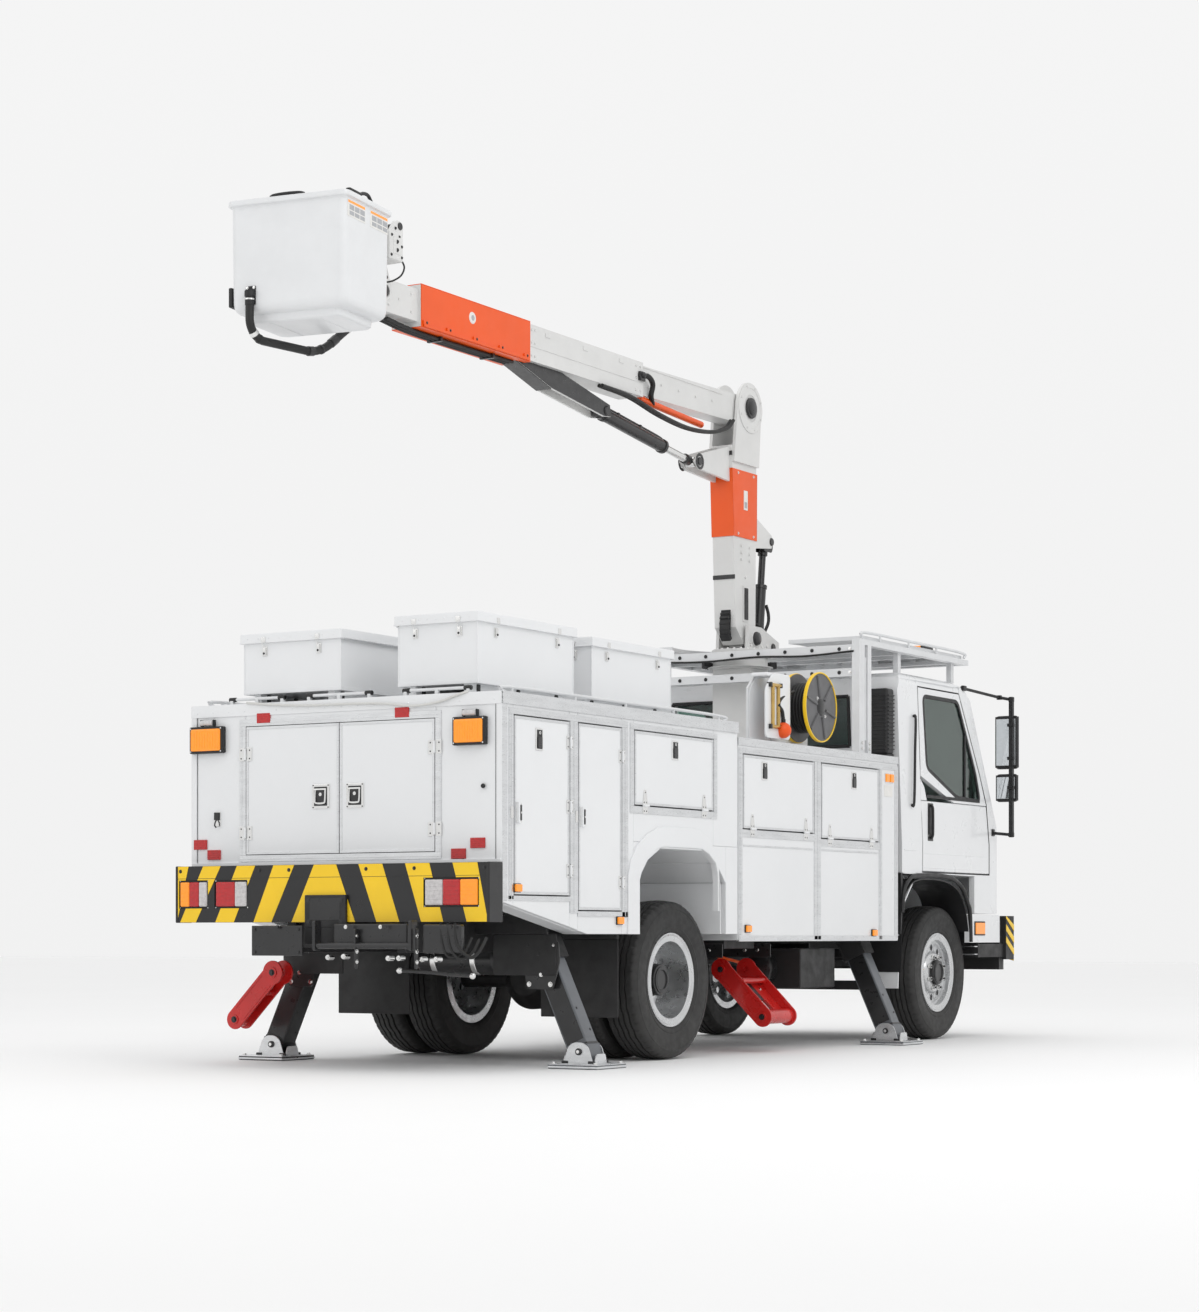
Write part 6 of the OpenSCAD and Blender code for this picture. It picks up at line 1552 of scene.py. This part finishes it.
bk = Part("bucket_shell", "bucket", "bucket_shell")
bm = bmesh.new()
prof = [
    (0.277, 0.110, 0.487, 0.040, 4.3450), (0.296, 0.091, 0.506, 0.048, 4.3475), (0.3045, 0.0825, 0.5145, 0.050, 4.3560),
    (0.3060, 0.0810, 0.5160, 0.050, 4.3700), (0.3075, 0.0795, 0.5175, 0.050, 4.3900), (0.3150, 0.0725, 0.5245, 0.055, 4.3955),
    (0.3350, 0.0560, 0.5410, 0.060, 4.3970), (0.3520, 0.0410, 0.5560, 0.060, 4.4030), (0.3640, 0.0305, 0.5665, 0.057, 4.4150),
    (0.3710, 0.0245, 0.5725, 0.052, 4.4320), (0.3738, 0.0222, 0.5748, 0.048, 4.4560), (0.3750, 0.0212, 0.5758, 0.045, 4.6500),
    (0.3765, 0.0203, 0.5767, 0.042, 4.9700), (0.3772, 0.0198, 0.5772, 0.042, 5.0040), (0.3800, 0.0170, 0.5800, 0.043, 5.0110),
    (0.3880, 0.0090, 0.5880, 0.046, 5.0145), (0.3945, 0.0025, 0.5945, 0.049, 5.0170), (0.3970, 0.0000, 0.5970, 0.050, 5.0230),
    (0.3970, 0.0000, 0.5970, 0.050, 5.0390), (0.3945, 0.0025, 0.5945, 0.048, 5.0460), (0.3870, 0.0100, 0.5870, 0.045, 5.0500),
    (0.3720, 0.0250, 0.5720, 0.038, 5.0500), (0.3650, 0.0320, 0.5650, 0.034, 5.0470), (0.3625, 0.0345, 0.5625, 0.032, 5.0370),
    (0.3605, 0.0365, 0.5605, 0.032, 4.7000), (0.3590, 0.0380, 0.5590, 0.034, 4.4600), (0.3530, 0.0440, 0.5530, 0.040, 4.4300),
    (0.3380, 0.0590, 0.5380, 0.045, 4.4130), (0.3000, 0.0900, 0.5070, 0.045, 4.4100), (0.2930, 0.0940, 0.5030, 0.045, 4.4060),
    (0.2900, 0.0970, 0.5000, 0.045, 4.3780), (0.2780, 0.1090, 0.4880, 0.040, 4.3630), (0.2500, 0.1370, 0.4600, 0.030, 4.3600),
]
rings = [rrect_ring(bm, *p) for p in prof]
nr = len(rings[0])
for a, b in zip(rings, rings[1:]):
    for k in range(nr):
        l = (k + 1) % nr
        bm.faces.new((a[k], a[l], b[l], b[k]))
bm.faces.new(rings[0][::-1])
bm.faces.new(rings[-1])
bmesh.ops.recalc_face_normals(bm, faces=bm.faces)
bk.put(bm, SHELL, MB)
# ribs under the foot well
for xx in (-0.16, 0.16):
    bk.box(xx - 0.012, xx + 0.012, 0.115, 0.480, 4.3425, 4.3460, SHELL, b=0.0015, M=MB)
# mounting plate, lugs, bolts
bk.box(-0.180, 0.180, 0.000, 0.0235, 4.780, 5.014, BOOMW, b=0.006, seg=3, M=MB)
bk.box(-0.180, 0.180, -0.002, 0.0125, 5.014, 5.100, BOOMW, b=0.005, seg=3, M=MB)
for z in (4.800, 5.065):
    bk.box(-0.055, 0.055, -0.150, 0.010, z, z + 0.025, BOOMW, b=0.004, M=MB)
    bk.cyl((0, -0.150, z), (0, -0.150, z + 0.025), 0.055, BOOMW, seg=40, b=0.004, M=MB)
    bk.cyl((0, -0.150, z + 0.020), (0, -0.150, z + 0.031), 0.024, BSTEEL, seg=28, b=0.003, M=MB)
for xx in (-0.150, -0.090, 0.090, 0.150):
    for z in (4.815, 4.985):
        bk.hexbolt((xx, 0.0005, z), (0, -1, 0), 0.0085, CHROME, h=0.008, M=MB)
# rubber edge guards on the rim
bk.tube([(0.108, 0.580, 5.0480), (0.080, 0.580, 5.0570), (0.0, 0.580, 5.0605), (-0.080, 0.580, 5.0570), (-0.112, 0.580, 5.0480)], 0.0095, PLAST, seg=12, smooth=6, M=MB)
bk.box(-0.392, -0.360, 0.395, 0.545, 5.049, 5.066, PLAST, b=0.007, seg=3, M=MB)
bk.tube([(-0.374, 0.400, 5.055), (-0.376, 0.360, 5.074), (-0.376, 0.300, 5.078), (-0.374, 0.255, 5.053)], 0.0105, PLAST, seg=12, smooth=6, M=MB)
# control console inside, on the front wall
bk.box(0.090, 0.330, 0.036, 0.110, 4.880, 5.020, PLAST, b=0.012, seg=3, M=MB)
for k in range(4):
    bk.cyl((0.130 + k * 0.052, 0.073, 5.018), (0.130 + k * 0.052, 0.076, 5.070), 0.0060, BSTEEL, seg=12, b=0.001, M=MB)
    bk.lathe([(0.0, 0.012), (0.008, 0.009), (0.012, 0.0), (0.008, -0.009), (0.0, -0.012)], (0.130 + k * 0.052, 0.076, 5.074), (0, 0, 1), PLAST if k else RED, seg=16, M=MB)
# stickers on the side wall: plain orange bar over plain grey blocks
for ya, yb in ((0.335, 0.548), (0.050, 0.270)):
    xs = -0.3772
    bk.box(xs - 0.0009, xs + 0.004, ya, yb, 4.905, 5.0000, LABEL, b=0.0003, M=MB)
    bk.box(xs - 0.0017, xs, ya + 0.004, yb - 0.004, 4.9830, 4.9975, AMBER, b=0.0002, M=MB)
    w = (yb - ya - 0.016) / 3
    for k in range(3):
        bk.box(xs - 0.0015, xs, ya + 0.006 + k * w, ya + 0.006 + k * w + w * 0.86, 4.915, 4.9380, GSTICK, b=0.0002, M=MB)
        bk.box(xs - 0.0015, xs, ya + 0.006 + k * w, ya + 0.006 + k * w + w * 0.86, 4.945, 4.9740, GSTICK, b=0.0002, M=MB)
# black outlet box on the left wall
bk.box(0.374, 0.3985, 0.470, 0.560, 4.440, 4.555, PLAST, b=0.007, seg=3, M=MB)
bk.box(0.396, 0.4010, 0.482, 0.548, 4.470, 4.530, BSTEEL, b=0.003, M=MB)
bk.done(sharp=40, replaces=("bucket",))


def HP(s, z, o=0.0):
    """A point on the hose plane: s along it from the fitting, o to the side."""
    return Vector((0.230 - 0.1399 * s + 0.9902 * o, 2.746 - 0.9902 * s - 0.1399 * o, z))


route = [(0.0, 4.500 - 0.140 * i / 6) for i in range(6)]
route += [(0.115 - 0.115 * math.cos(math.radians(90 * i / 14)), 4.360 - 0.115 * math.sin(math.radians(90 * i / 14))) for i in range(14)]
route += [(0.115 + 0.335 * i / 24, 4.245) for i in range(24)]
route += [(0.450 + 0.350 * math.sin(math.radians(38 * i / 20)), 4.595 - 0.350 * math.cos(math.radians(38 * i / 20))) for i in range(20)]
sE, zE = 0.450 + 0.350 * math.sin(math.radians(38)), 4.595 - 0.350 * math.cos(math.radians(38))
route += [(sE + 0.330 * math.cos(math.radians(38)) * i / 22, zE + 0.330 * math.sin(math.radians(38)) * i / 22) for i in range(23)]
hz = Part("bucket_hose_skin", "bucket_bracket", "hose_black")
hz.tube([HP(s, z) for s, z in route], 0.0250, HOSE, seg=24, smooth=0)


def clamp(part, i, w, r, mat):
    """A short collar round the hose at route point i."""
    a, b = Vector(HP(*route[i])), Vector(HP(*route[min(i + 1, len(route) - 1)]))
    d = (b - a).normalized()
    part.lathe([(0.0250, -w), (r, -w + 0.0015), (r, w - 0.0015), (0.0250, w)], a, d, mat, seg=32)


for i, w, r, mt in ((2, 0.020, 0.0275, PLAST), (13, 0.013, 0.0280, CHROME), (17, 0.008, 0.0275, PLAST), (48, 0.022, 0.0290, BSTEEL), (56, 0.009, 0.0285, BSTEEL), (66, 0.030, 0.0285, BSTEEL), (76, 0.012, 0.0290, CHROME), (82, 0.030, 0.0285, BSTEEL)):
    clamp(hz, i, w, r, mt)
hose = hz.done(sharp=45, replaces=("bucket_hose",), wn=False, ride=False)
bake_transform(hose)

ft = Part("bucket_outlet", "bucket", "hose_black")
ft.lathe([(0.0, 0.030), (0.0265, 0.028), (0.030, 0.022), (0.030, -0.006), (0.0260, -0.010)], HP(0, 4.492), (0, 0, 1), PLAST, seg=36)
ft.lathe([(0.026, 0.0), (0.0295, 0.001), (0.0295, 0.010), (0.026, 0.011)], HP(0, 4.462), (0, 0, 1), CHROME, seg=36)
ft.box(0.206, 0.270, 0.5740, 0.5825, 4.440, 4.548, PLAST, b=0.006, seg=3, M=MB)
for xx in (0.216, 0.260):
    ft.hexbolt((xx, 0.5825, 4.538), (0, 1, 0), 0.0060, CHROME, h=0.005, M=MB)
ft.done()

br = Part("bucket_bracket_details", "bucket_bracket", "boom_paint")
for s in (-1, 1):
    xo = XB + s * 0.130
    br.lathe([(0.0, 0.007), (0.030, 0.007), (0.034, 0.004), (0.036, -0.001)], (xo, 1.760, 4.680), (s, 0, 0), BSTEEL, seg=32)
    br.lathe([(0.040, 0.0), (0.055, 0.0), (0.056, 0.003), (0.054, 0.005), (0.040, 0.005)], (xo, 1.760, 4.680), (s, 0, 0), BOOMW, seg=36)
    for y, z in ((1.745, 4.765), (1.865, 4.700), (1.865, 4.790), (1.865, 4.900), (1.830, 4.905), (1.815, 4.660)):
        br.hexbolt((xo, y, z), (s, 0, 0), 0.0080, BSTEEL, h=0.006)
    for y, z, r in ((1.800, 4.840, 0.016), (1.838, 4.810, 0.011)):
        br.cyl((xo - s * 0.002, y, z), (xo + s * 0.0015, y, z), r, BSTEEL, seg=24)
    xc = XB + s * 0.075
    br.lathe([(0.0, 0.006), (0.023, 0.006), (0.028, 0.003), (0.029, -0.001)], (xc, 1.838, 5.050), (s, 0, 0), BSTEEL, seg=32)
    br.lathe([(0.031, 0.0), (0.038, 0.0), (0.039, 0.003), (0.037, 0.005), (0.031, 0.005)], (xc, 1.838, 5.050), (s, 0, 0), BOOMW, seg=36)
    for y, z in ((1.822, 4.985), (1.885, 4.985), (1.885, 5.065)):
        br.hexbolt((xc, y, z), (s, 0, 0), 0.0065, CHROME, h=0.005)
# casting ribs, rotator bands
br.box(XB - 0.110, XB + 0.110, 1.860, 1.870, 4.830, 4.850, BOOMW, b=0.003)
br.prism("x", rounded([(1.800, 4.905), (1.800, 5.088), (1.830, 5.0895), (1.900, 5.060), (1.903, 4.905)], 0.018, 4), XB - 0.0768, XB - 0.0740, BOOMW, b=0.001)
for z in (4.848, 5.038):
    br.lathe([(0.0600, -0.006), (0.0640, -0.005), (0.0640, 0.005), (0.0600, 0.006)], (XB, 1.977, z), (0, 0, 1), BSTEEL, seg=48)
for k in range(10):
    a = 2 * math.pi * k / 10
    br.box(-0.003, 0.003, -0.003, 0.003, 4.870, 5.020, BOOMW, b=0.001, M=Matrix.Translation(Vector((XB + 0.060 * math.cos(a), 1.977 + 0.060 * math.sin(a), 0))))
# wire loop from the casting down to the boom tip
br.tube([(XB - 0.225, 1.725, 4.860), (XB - 0.228, 1.700, 4.820), (XB - 0.215, 1.715, 4.770), (XB - 0.185, 1.755, 4.735), (XB - 0.155, 1.790, 4.722), (XB - 0.130, 1.810, 4.722)], 0.0055, HOSE, seg=8, smooth=9)
br.cyl((XB - 0.130, 1.838, 4.915), (XB - 0.134, 1.838, 4.915), 0.017, CHROME, seg=24, b=0.001)
# rotator housing reaching out to the right of the boom
br.box(XB - 0.235, XB - 0.088, 1.715, 1.858, 4.842, 5.020, BOOMW, b=0.014, seg=3)
br.prism("x", rounded([(1.720, 4.960), (1.716, 5.060), (1.745, 5.088), (1.790, 5.088), (1.850, 5.010), (1.856, 4.960)], 0.018, 4), XB - 0.232, XB - 0.205, BOOMW, b=0.003)
br.prism("x", rounded([(1.720, 4.960), (1.716, 5.060), (1.745, 5.088), (1.790, 5.088), (1.850, 5.010), (1.856, 4.960)], 0.018, 4), XB - 0.112, XB - 0.089, BOOMW, b=0.003)
br.cyl((XB - 0.238, 1.752, 5.056), (XB - 0.088, 1.752, 5.056), 0.0225, BSTEEL, seg=32, b=0.002)
br.box(XB - 0.238, XB - 0.233, 1.752, 1.822, 4.880, 4.985, BOOMW, b=0.002)
for yy, zz in ((1.735, 4.870), (1.735, 4.935), (1.760, 4.990), (1.838, 4.990), (1.842, 4.870), (1.800, 5.035)):
    br.hexbolt((XB - 0.2345, yy, zz), (-1, 0, 0), 0.0065, BSTEEL, h=0.006)
for zz in (4.905, 4.955):
    br.cyl((XB - 0.2375, 1.788, zz), (XB - 0.2400, 1.792, zz), 0.0120, BSTEEL, seg=20)
# clamp and coupling under the tip, as one black steel box
br.box(XB - 0.045, XB + 0.050, 1.850, 1.895, 4.612, 4.645, BSTEEL, b=0.006)
br.done()


# ------------------------------------------------------------------ legs, arms, underside
LEAN = math.radians(24.5)
for node_, s, yc, mat in (("leg_rear_right", -1, 1.275, LEGK), ("leg_rear_left", 1, 1.275, BSTEEL), ("leg_front_right", -1, -3.000, LEGK), ("leg_front_left", 1, -3.000, LEGK)):
    p = Part(f"{node_}_details", node_, "grey_paint")
    ML = Matrix.Translation(Vector((s * 0.900, yc, 0.630))) @ Matrix.Rotation(-s * LEAN, 4, "Y")
    # edge strips in the leg's own colour down the tube's narrow faces, near-black sheets over the broad faces as
    # painted shade, end collar, bolts
    for e_ in (-1, 1):
        p.box(e_ * 0.0722 - 0.0012, e_ * 0.0722 + 0.0012, -0.056, 0.056, -0.520, 0.160, LEGK if mat is BSTEEL else GREY, b=0.001, M=ML)
        # painted shade: near-black sheets over the broad faces, which are in shade; on the grey legs these faces are
        # grey paint too
        p.box(-0.062, 0.062, e_ * 0.0625 - 0.0015, e_ * 0.0625 + 0.0015, -0.520, 0.160, BSTEEL, b=0.001, M=ML)
        for z in (-0.470, -0.330):
            p.hexbolt((e_ * 0.0733, 0.030 if z > -0.45 else -0.030, z), (e_, 0, 0), 0.0060, BSTEEL, h=0.004, M=ML)
    p.box(-0.0745, 0.0745, -0.0645, 0.0645, -0.566, -0.546, BSTEEL, b=0.004, M=ML)
    # pad: rim, dark cross lugs, pin, corner bolts
    xp = s * 1.160
    p.box(xp - 0.1715, xp + 0.1715, yc - 0.1715, yc + 0.1715, 0.0235, 0.0290, ALU, b=0.002)
    p.box(xp - 0.1745, xp + 0.1745, yc - 0.1745, yc + 0.1745, 0.004, 0.0175, ALU, b=0.004)
    for i in range(5):
        t = -0.120 + i * 0.060
        p.box(xp - 0.160, xp + 0.160, yc + t - 0.0035, yc + t + 0.0035, 0.0280, 0.0315, ALU, b=0.001)
    for dx in (-0.145, 0.145):
        for dy in (-0.145, 0.145):
            p.hexbolt((xp + dx, yc + dy, 0.0285), (0, 0, 1), 0.0125, CHROME, h=0.012)
    xl = xp - s * 0.015
    for dy in (-0.077, 0.077):
        q = 1 if dy > 0 else -1
        p.prism("y", rounded([(xl - 0.105, 0.026), (xl - 0.070, 0.130), (xl - 0.030, 0.156), (xl + 0.030, 0.156), (xl + 0.070, 0.130), (xl + 0.105, 0.026)], 0.018, 4), yc + dy - 0.0035, yc + dy + 0.0035, ALU, b=0.0015)
        p.cyl((xl - 0.005, yc + dy, 0.100), (xl - 0.005, yc + dy + q * 0.0140, 0.100), 0.021, BSTEEL, seg=28, b=0.003)
        p.cyl((xl - 0.005, yc + dy + q * 0.0120, 0.100), (xl - 0.005, yc + dy + q * 0.0180, 0.100), 0.011, CHROME, seg=20, b=0.001)
        for e_ in (-1, 1):
            p.box(xl + e_ * 0.092 - 0.0225, xl + e_ * 0.092 + 0.0225, yc + dy - 0.010, yc + dy + 0.010, 0.026, 0.046, BSTEEL, b=0.005)
    for e_ in (-1, 1):
        p.prism("x", rounded([(yc - 0.070, 0.027), (yc - 0.050, 0.088), (yc + 0.050, 0.088), (yc + 0.070, 0.027)], 0.014, 4), xl + e_ * 0.108 - 0.004, xl + e_ * 0.108 + 0.004, ALU, b=0.0015)
    p.done()

# leg guides bolted below the frame: plates and bolts
u = Part("leg_guides", "chassis", "black_steel")
for s in (-1, 1):
    for yc in (1.275, -3.000):
        for dy in (-0.086, 0.086):
            q = 1 if dy > 0 else -1
            y_ = yc + dy + q * 0.006
            if yc > 0 and q > 0:
                u.prism("y", rounded([(s * 0.780, 0.760), (s * 1.020, 0.760), (s * 1.030, 0.640), (s * 0.985, 0.470), (s * 0.800, 0.470), (s * 0.775, 0.600)][::(1 if s > 0 else -1)], 0.02, 4), y_, y_ + 0.010, BSTEEL, b=0.002)
                for x, z in ((0.805, 0.735), (0.990, 0.735), (0.815, 0.500), (0.965, 0.500), (0.880, 0.680), (0.900, 0.560)):
                    u.hexbolt((s * x, y_ + 0.010, z), (0, 1, 0), 0.0110, CHROME if x > 0.95 or z < 0.6 else BSTEEL, h=0.010)
u.done()

# red arms
ar = Part("arm_right_details", "support_arm_right", "red_paint")
MA = Matrix.Translation(Vector((-0.720, -1.590, 0.560))) @ Matrix.Rotation(math.radians(135), 4, "Y")
for y0_, y1_, q in ((0.0, 0.014, -1), (0.366, 0.380, 1)):
    yo = y0_ if q < 0 else y1_
    for xx, rr in ((0.0, 0.034), (0.450, 0.030)):
        ar.cyl((xx, yo, 0), (xx, yo + q * 0.0085, 0), rr, RED, seg=32, b=0.003, M=MA)
        ar.hexbolt((xx, yo + q * 0.0080, 0), (0, q, 0), 0.0145, BSTEEL, h=0.012, M=MA)
    a, b = sorted((yo, yo + q * 0.0030))
    ar.prism("y", rounded([(0.070, -0.052), (0.390, -0.052), (0.390, -0.044), (0.070, -0.044)], 0.003, 2), a, b, RED, b=0.001, M=MA)
    ar.prism("y", rounded([(0.070, 0.044), (0.390, 0.044), (0.390, 0.052), (0.070, 0.052)], 0.003, 2), a, b, RED, b=0.001, M=MA)
# cross plate between the cheeks with the black slot, as one welded web
ar.box(0.085, 0.300, 0.013, 0.367, -0.0060, 0.0060, RED, b=0.002, M=MA)
ar.box(0.300, 0.420, 0.013, 0.140, -0.0060, 0.0060, RED, b=0.002, M=MA)
ar.box(0.300, 0.420, 0.240, 0.367, -0.0060, 0.0060, RED, b=0.002, M=MA)
ar.box(0.120, 0.300, 0.160, 0.215, -0.0090, 0.0090, BSTEEL, b=0.003, M=MA)
for yy in (0.080, 0.300):
    ar.hexbolt((0.200, yy, -0.006), (0, 0, -1), 0.010, CHROME, h=0.008, M=MA)
ar.done()
al = Part("arm_left_details", "support_arm_left", "red_paint")
MA = Matrix.Translation(Vector((0.930, 1.500, 0.560))) @ Matrix.Rotation(math.radians(45), 4, "Y")
for yo, q in ((0.0, -1), (0.120, 1)):
    for xx, rr in ((0.0, 0.034), (0.420, 0.030)):
        al.cyl((xx, yo, 0), (xx, yo + q * 0.0060, 0), rr, RED, seg=32, b=0.002, M=MA)
        al.hexbolt((xx, yo + q * 0.0055, 0), (0, q, 0), 0.0145, BSTEEL, h=0.010, M=MA)
    a, b = sorted((yo, yo + q * 0.0028))
    for zc in (-0.046, 0.046):
        al.prism("y", rounded([(0.070, zc - 0.004), (0.365, zc - 0.004), (0.365, zc + 0.004), (0.070, zc + 0.004)], 0.003, 2), a, b, RED, b=0.001, M=MA)
al.box(0.085, 0.360, 0.013, 0.107, -0.006, 0.006, RED, b=0.002, M=MA)
al.done()

# below the tail: bolted plates, cross tube, air lines, drop links
t = Part("tail_underside", "chassis", "chassis_black")
yb = 2.440
for k in range(9):
    x = -0.98 + k * 0.245
    if k in (4, 6, 7, 8):
        continue
    t.hexbolt((x, yb + 0.020, 0.842), (0, 1, 0), 0.0085, CHROME if k in (2, 3, 6) else BSTEEL, h=0.008)
t.box(0.080, 0.450, yb - 0.004, yb + 0.006, 0.673, 0.850, BSTEEL, b=0.006, seg=3)
for x in (0.105, 0.425):
    for z in (0.695, 0.828):
        t.hexbolt((x, yb + 0.006, z), (0, 1, 0), 0.0085, BSTEEL, h=0.006)
t.cyl((-0.010, yb - 0.010, 0.733), (-0.690, yb - 0.010, 0.733), 0.019, BSTEEL, seg=20, b=0.003)
for x in (-0.010, -0.690):
    t.prism("x", rounded([(yb - 0.050, 0.705), (yb + 0.014, 0.705), (yb + 0.014, 0.880), (yb - 0.050, 0.880)], 0.012, 3), x - 0.010, x + 0.010, BSTEEL, b=0.002)
t.box(-0.640, -0.120, yb - 0.060, yb - 0.030, 0.740, 0.860, BSTEEL, b=0.010, seg=3)
t.box(-1.020, -0.760, yb - 0.060, yb - 0.010, 0.690, 0.855, BSTEEL, b=0.012, seg=3)
# shackles, links and air couplings
for x, z in ((-0.080, 0.665), (-0.192, 0.670), (-0.508, 0.661), (-0.582, 0.662), (-0.739, 0.656), (-0.840, 0.656)):
    t.cyl((x, yb - 0.080, z), (x, yb - 0.030, z), 0.016, CHROME, seg=20, b=0.003)
    t.hexbolt((x, yb - 0.030, z), (0, 1, 0), 0.010, CHROME, h=0.012)
t.tube([(-0.500, yb - 0.16, 0.590), (-0.70, yb - 0.17, 0.580), (-0.85, yb - 0.16, 0.568), (-1.010, yb - 0.15, 0.562)], 0.0105, BSTEEL, seg=10, smooth=8)
for x, z in ((-0.504, 0.590), (-1.010, 0.562)):
    t.ball((x, yb - 0.152, z), 0.019, CHROME, seg=18)
for k, (x, zz) in enumerate(((-0.88, 0.80), (-0.93, 0.79), (-0.98, 0.80))):
    t.tube([(x, yb - 0.02, 0.86), (x - 0.02, yb - 0.01, zz - 0.06), (x - 0.06 - 0.02 * k, yb - 0.02, zz - 0.13), (x - 0.14, yb - 0.05, zz - 0.10), (x - 0.16, yb - 0.10, zz - 0.02)], 0.0075 + 0.001 * k, HOSE, seg=10, smooth=8)
for x in (-0.300, -0.720):
    t.prism("x", rounded([(yb - 0.020, 0.600), (yb + 0.004, 0.600), (yb + 0.010, 0.830), (yb - 0.026, 0.830)], 0.01, 3), x - 0.006, x + 0.006, BSTEEL, b=0.002)
    for z in (0.640, 0.700, 0.790):
        t.hexbolt((x - 0.006, yb - 0.006, z), (-1, 0, 0), 0.009, CHROME, h=0.007)
t.done()

# mid underside: tanks, battery box, lines, bolts along the frame rails
m = Part("mid_underside", "chassis", "chassis_black")


def tank(p, q, r):
    p, q = Vector(p), Vector(q)
    d = (q - p).normalized()
    L = (q - p).length
    m.lathe([(0.0, 0.0), (r * 0.55, 0.006), (r * 0.86, 0.022), (r, 0.050), (r, L - 0.050), (r * 0.86, L - 0.022), (r * 0.55, L - 0.006), (0.0, L)], p, d, BSTEEL, seg=44)
    for f in (0.25, 0.75):
        m.lathe([(r, -0.018), (r + 0.004, -0.016), (r + 0.004, 0.016), (r, 0.018)], p + d * L * f, d, CHROME, seg=44)


tank((-0.600, -2.600, 0.560), (-0.600, -1.950, 0.560), 0.120)
tank((0.600, -2.500, 0.560), (0.600, -1.850, 0.560), 0.120)
tank((-0.300, 0.900, 0.640), (0.300, 0.900, 0.640), 0.095)
for x, y0_, y1_ in ((-0.520, -0.95, -0.70), (0.520, -1.00, -0.55)):
    m.box(x - 0.100, x + 0.100, y0_, y1_, 0.480, 0.660, PLAST, b=0.014, seg=3)
    for yy in (y0_ + 0.03, y1_ - 0.03):
        m.box(x - 0.104, x + 0.104, yy - 0.010, yy + 0.010, 0.476, 0.664, BSTEEL, b=0.004)
for k in range(4):
    m.tube([(-0.36 + 0.018 * k, -3.4, 0.72), (-0.37 + 0.018 * k, -2.2, 0.70), (-0.36 + 0.018 * k, -1.0, 0.715), (-0.38 + 0.018 * k, 0.4, 0.72), (-0.36 + 0.018 * k, 1.9, 0.73)], 0.0075, HOSE if k % 2 else BSTEEL, seg=8, smooth=8)
m.tube([(-0.42, -2.30, 0.66), (-0.60, -1.85, 0.56), (-0.64, -1.66, 0.60), (-0.52, -1.20, 0.68), (-0.40, -0.90, 0.70)], 0.011, ORANGE, seg=10, smooth=8)
for y in (-2.9, -2.2, -1.5, -0.8, 0.9, 1.9):
    for s in (-1, 1):
        for z in (0.700, 0.780):
            m.hexbolt((s * 0.432, y, z), (s, 0, 0), 0.0105, CHROME, h=0.010)
            m.hexbolt((s * 0.432, y + 0.09, z), (s, 0, 0), 0.0105, BSTEEL, h=0.010)
# brackets behind the side skirt
for y in (-2.35, -1.75, -1.05):
    for s in (-1, 1):
        m.box(s * 0.62 - 0.20, s * 0.62 + 0.20, y - 0.006, y + 0.006, 0.640, 0.735, BSTEEL, b=0.003)
        m.hexbolt((s * 0.62, y + 0.006, 0.690), (0, 1, 0), 0.011, CHROME, h=0.010)
        m.hexbolt((s * 0.72, y + 0.006, 0.690), (0, 1, 0), 0.011, CHROME, h=0.010)
m.done()
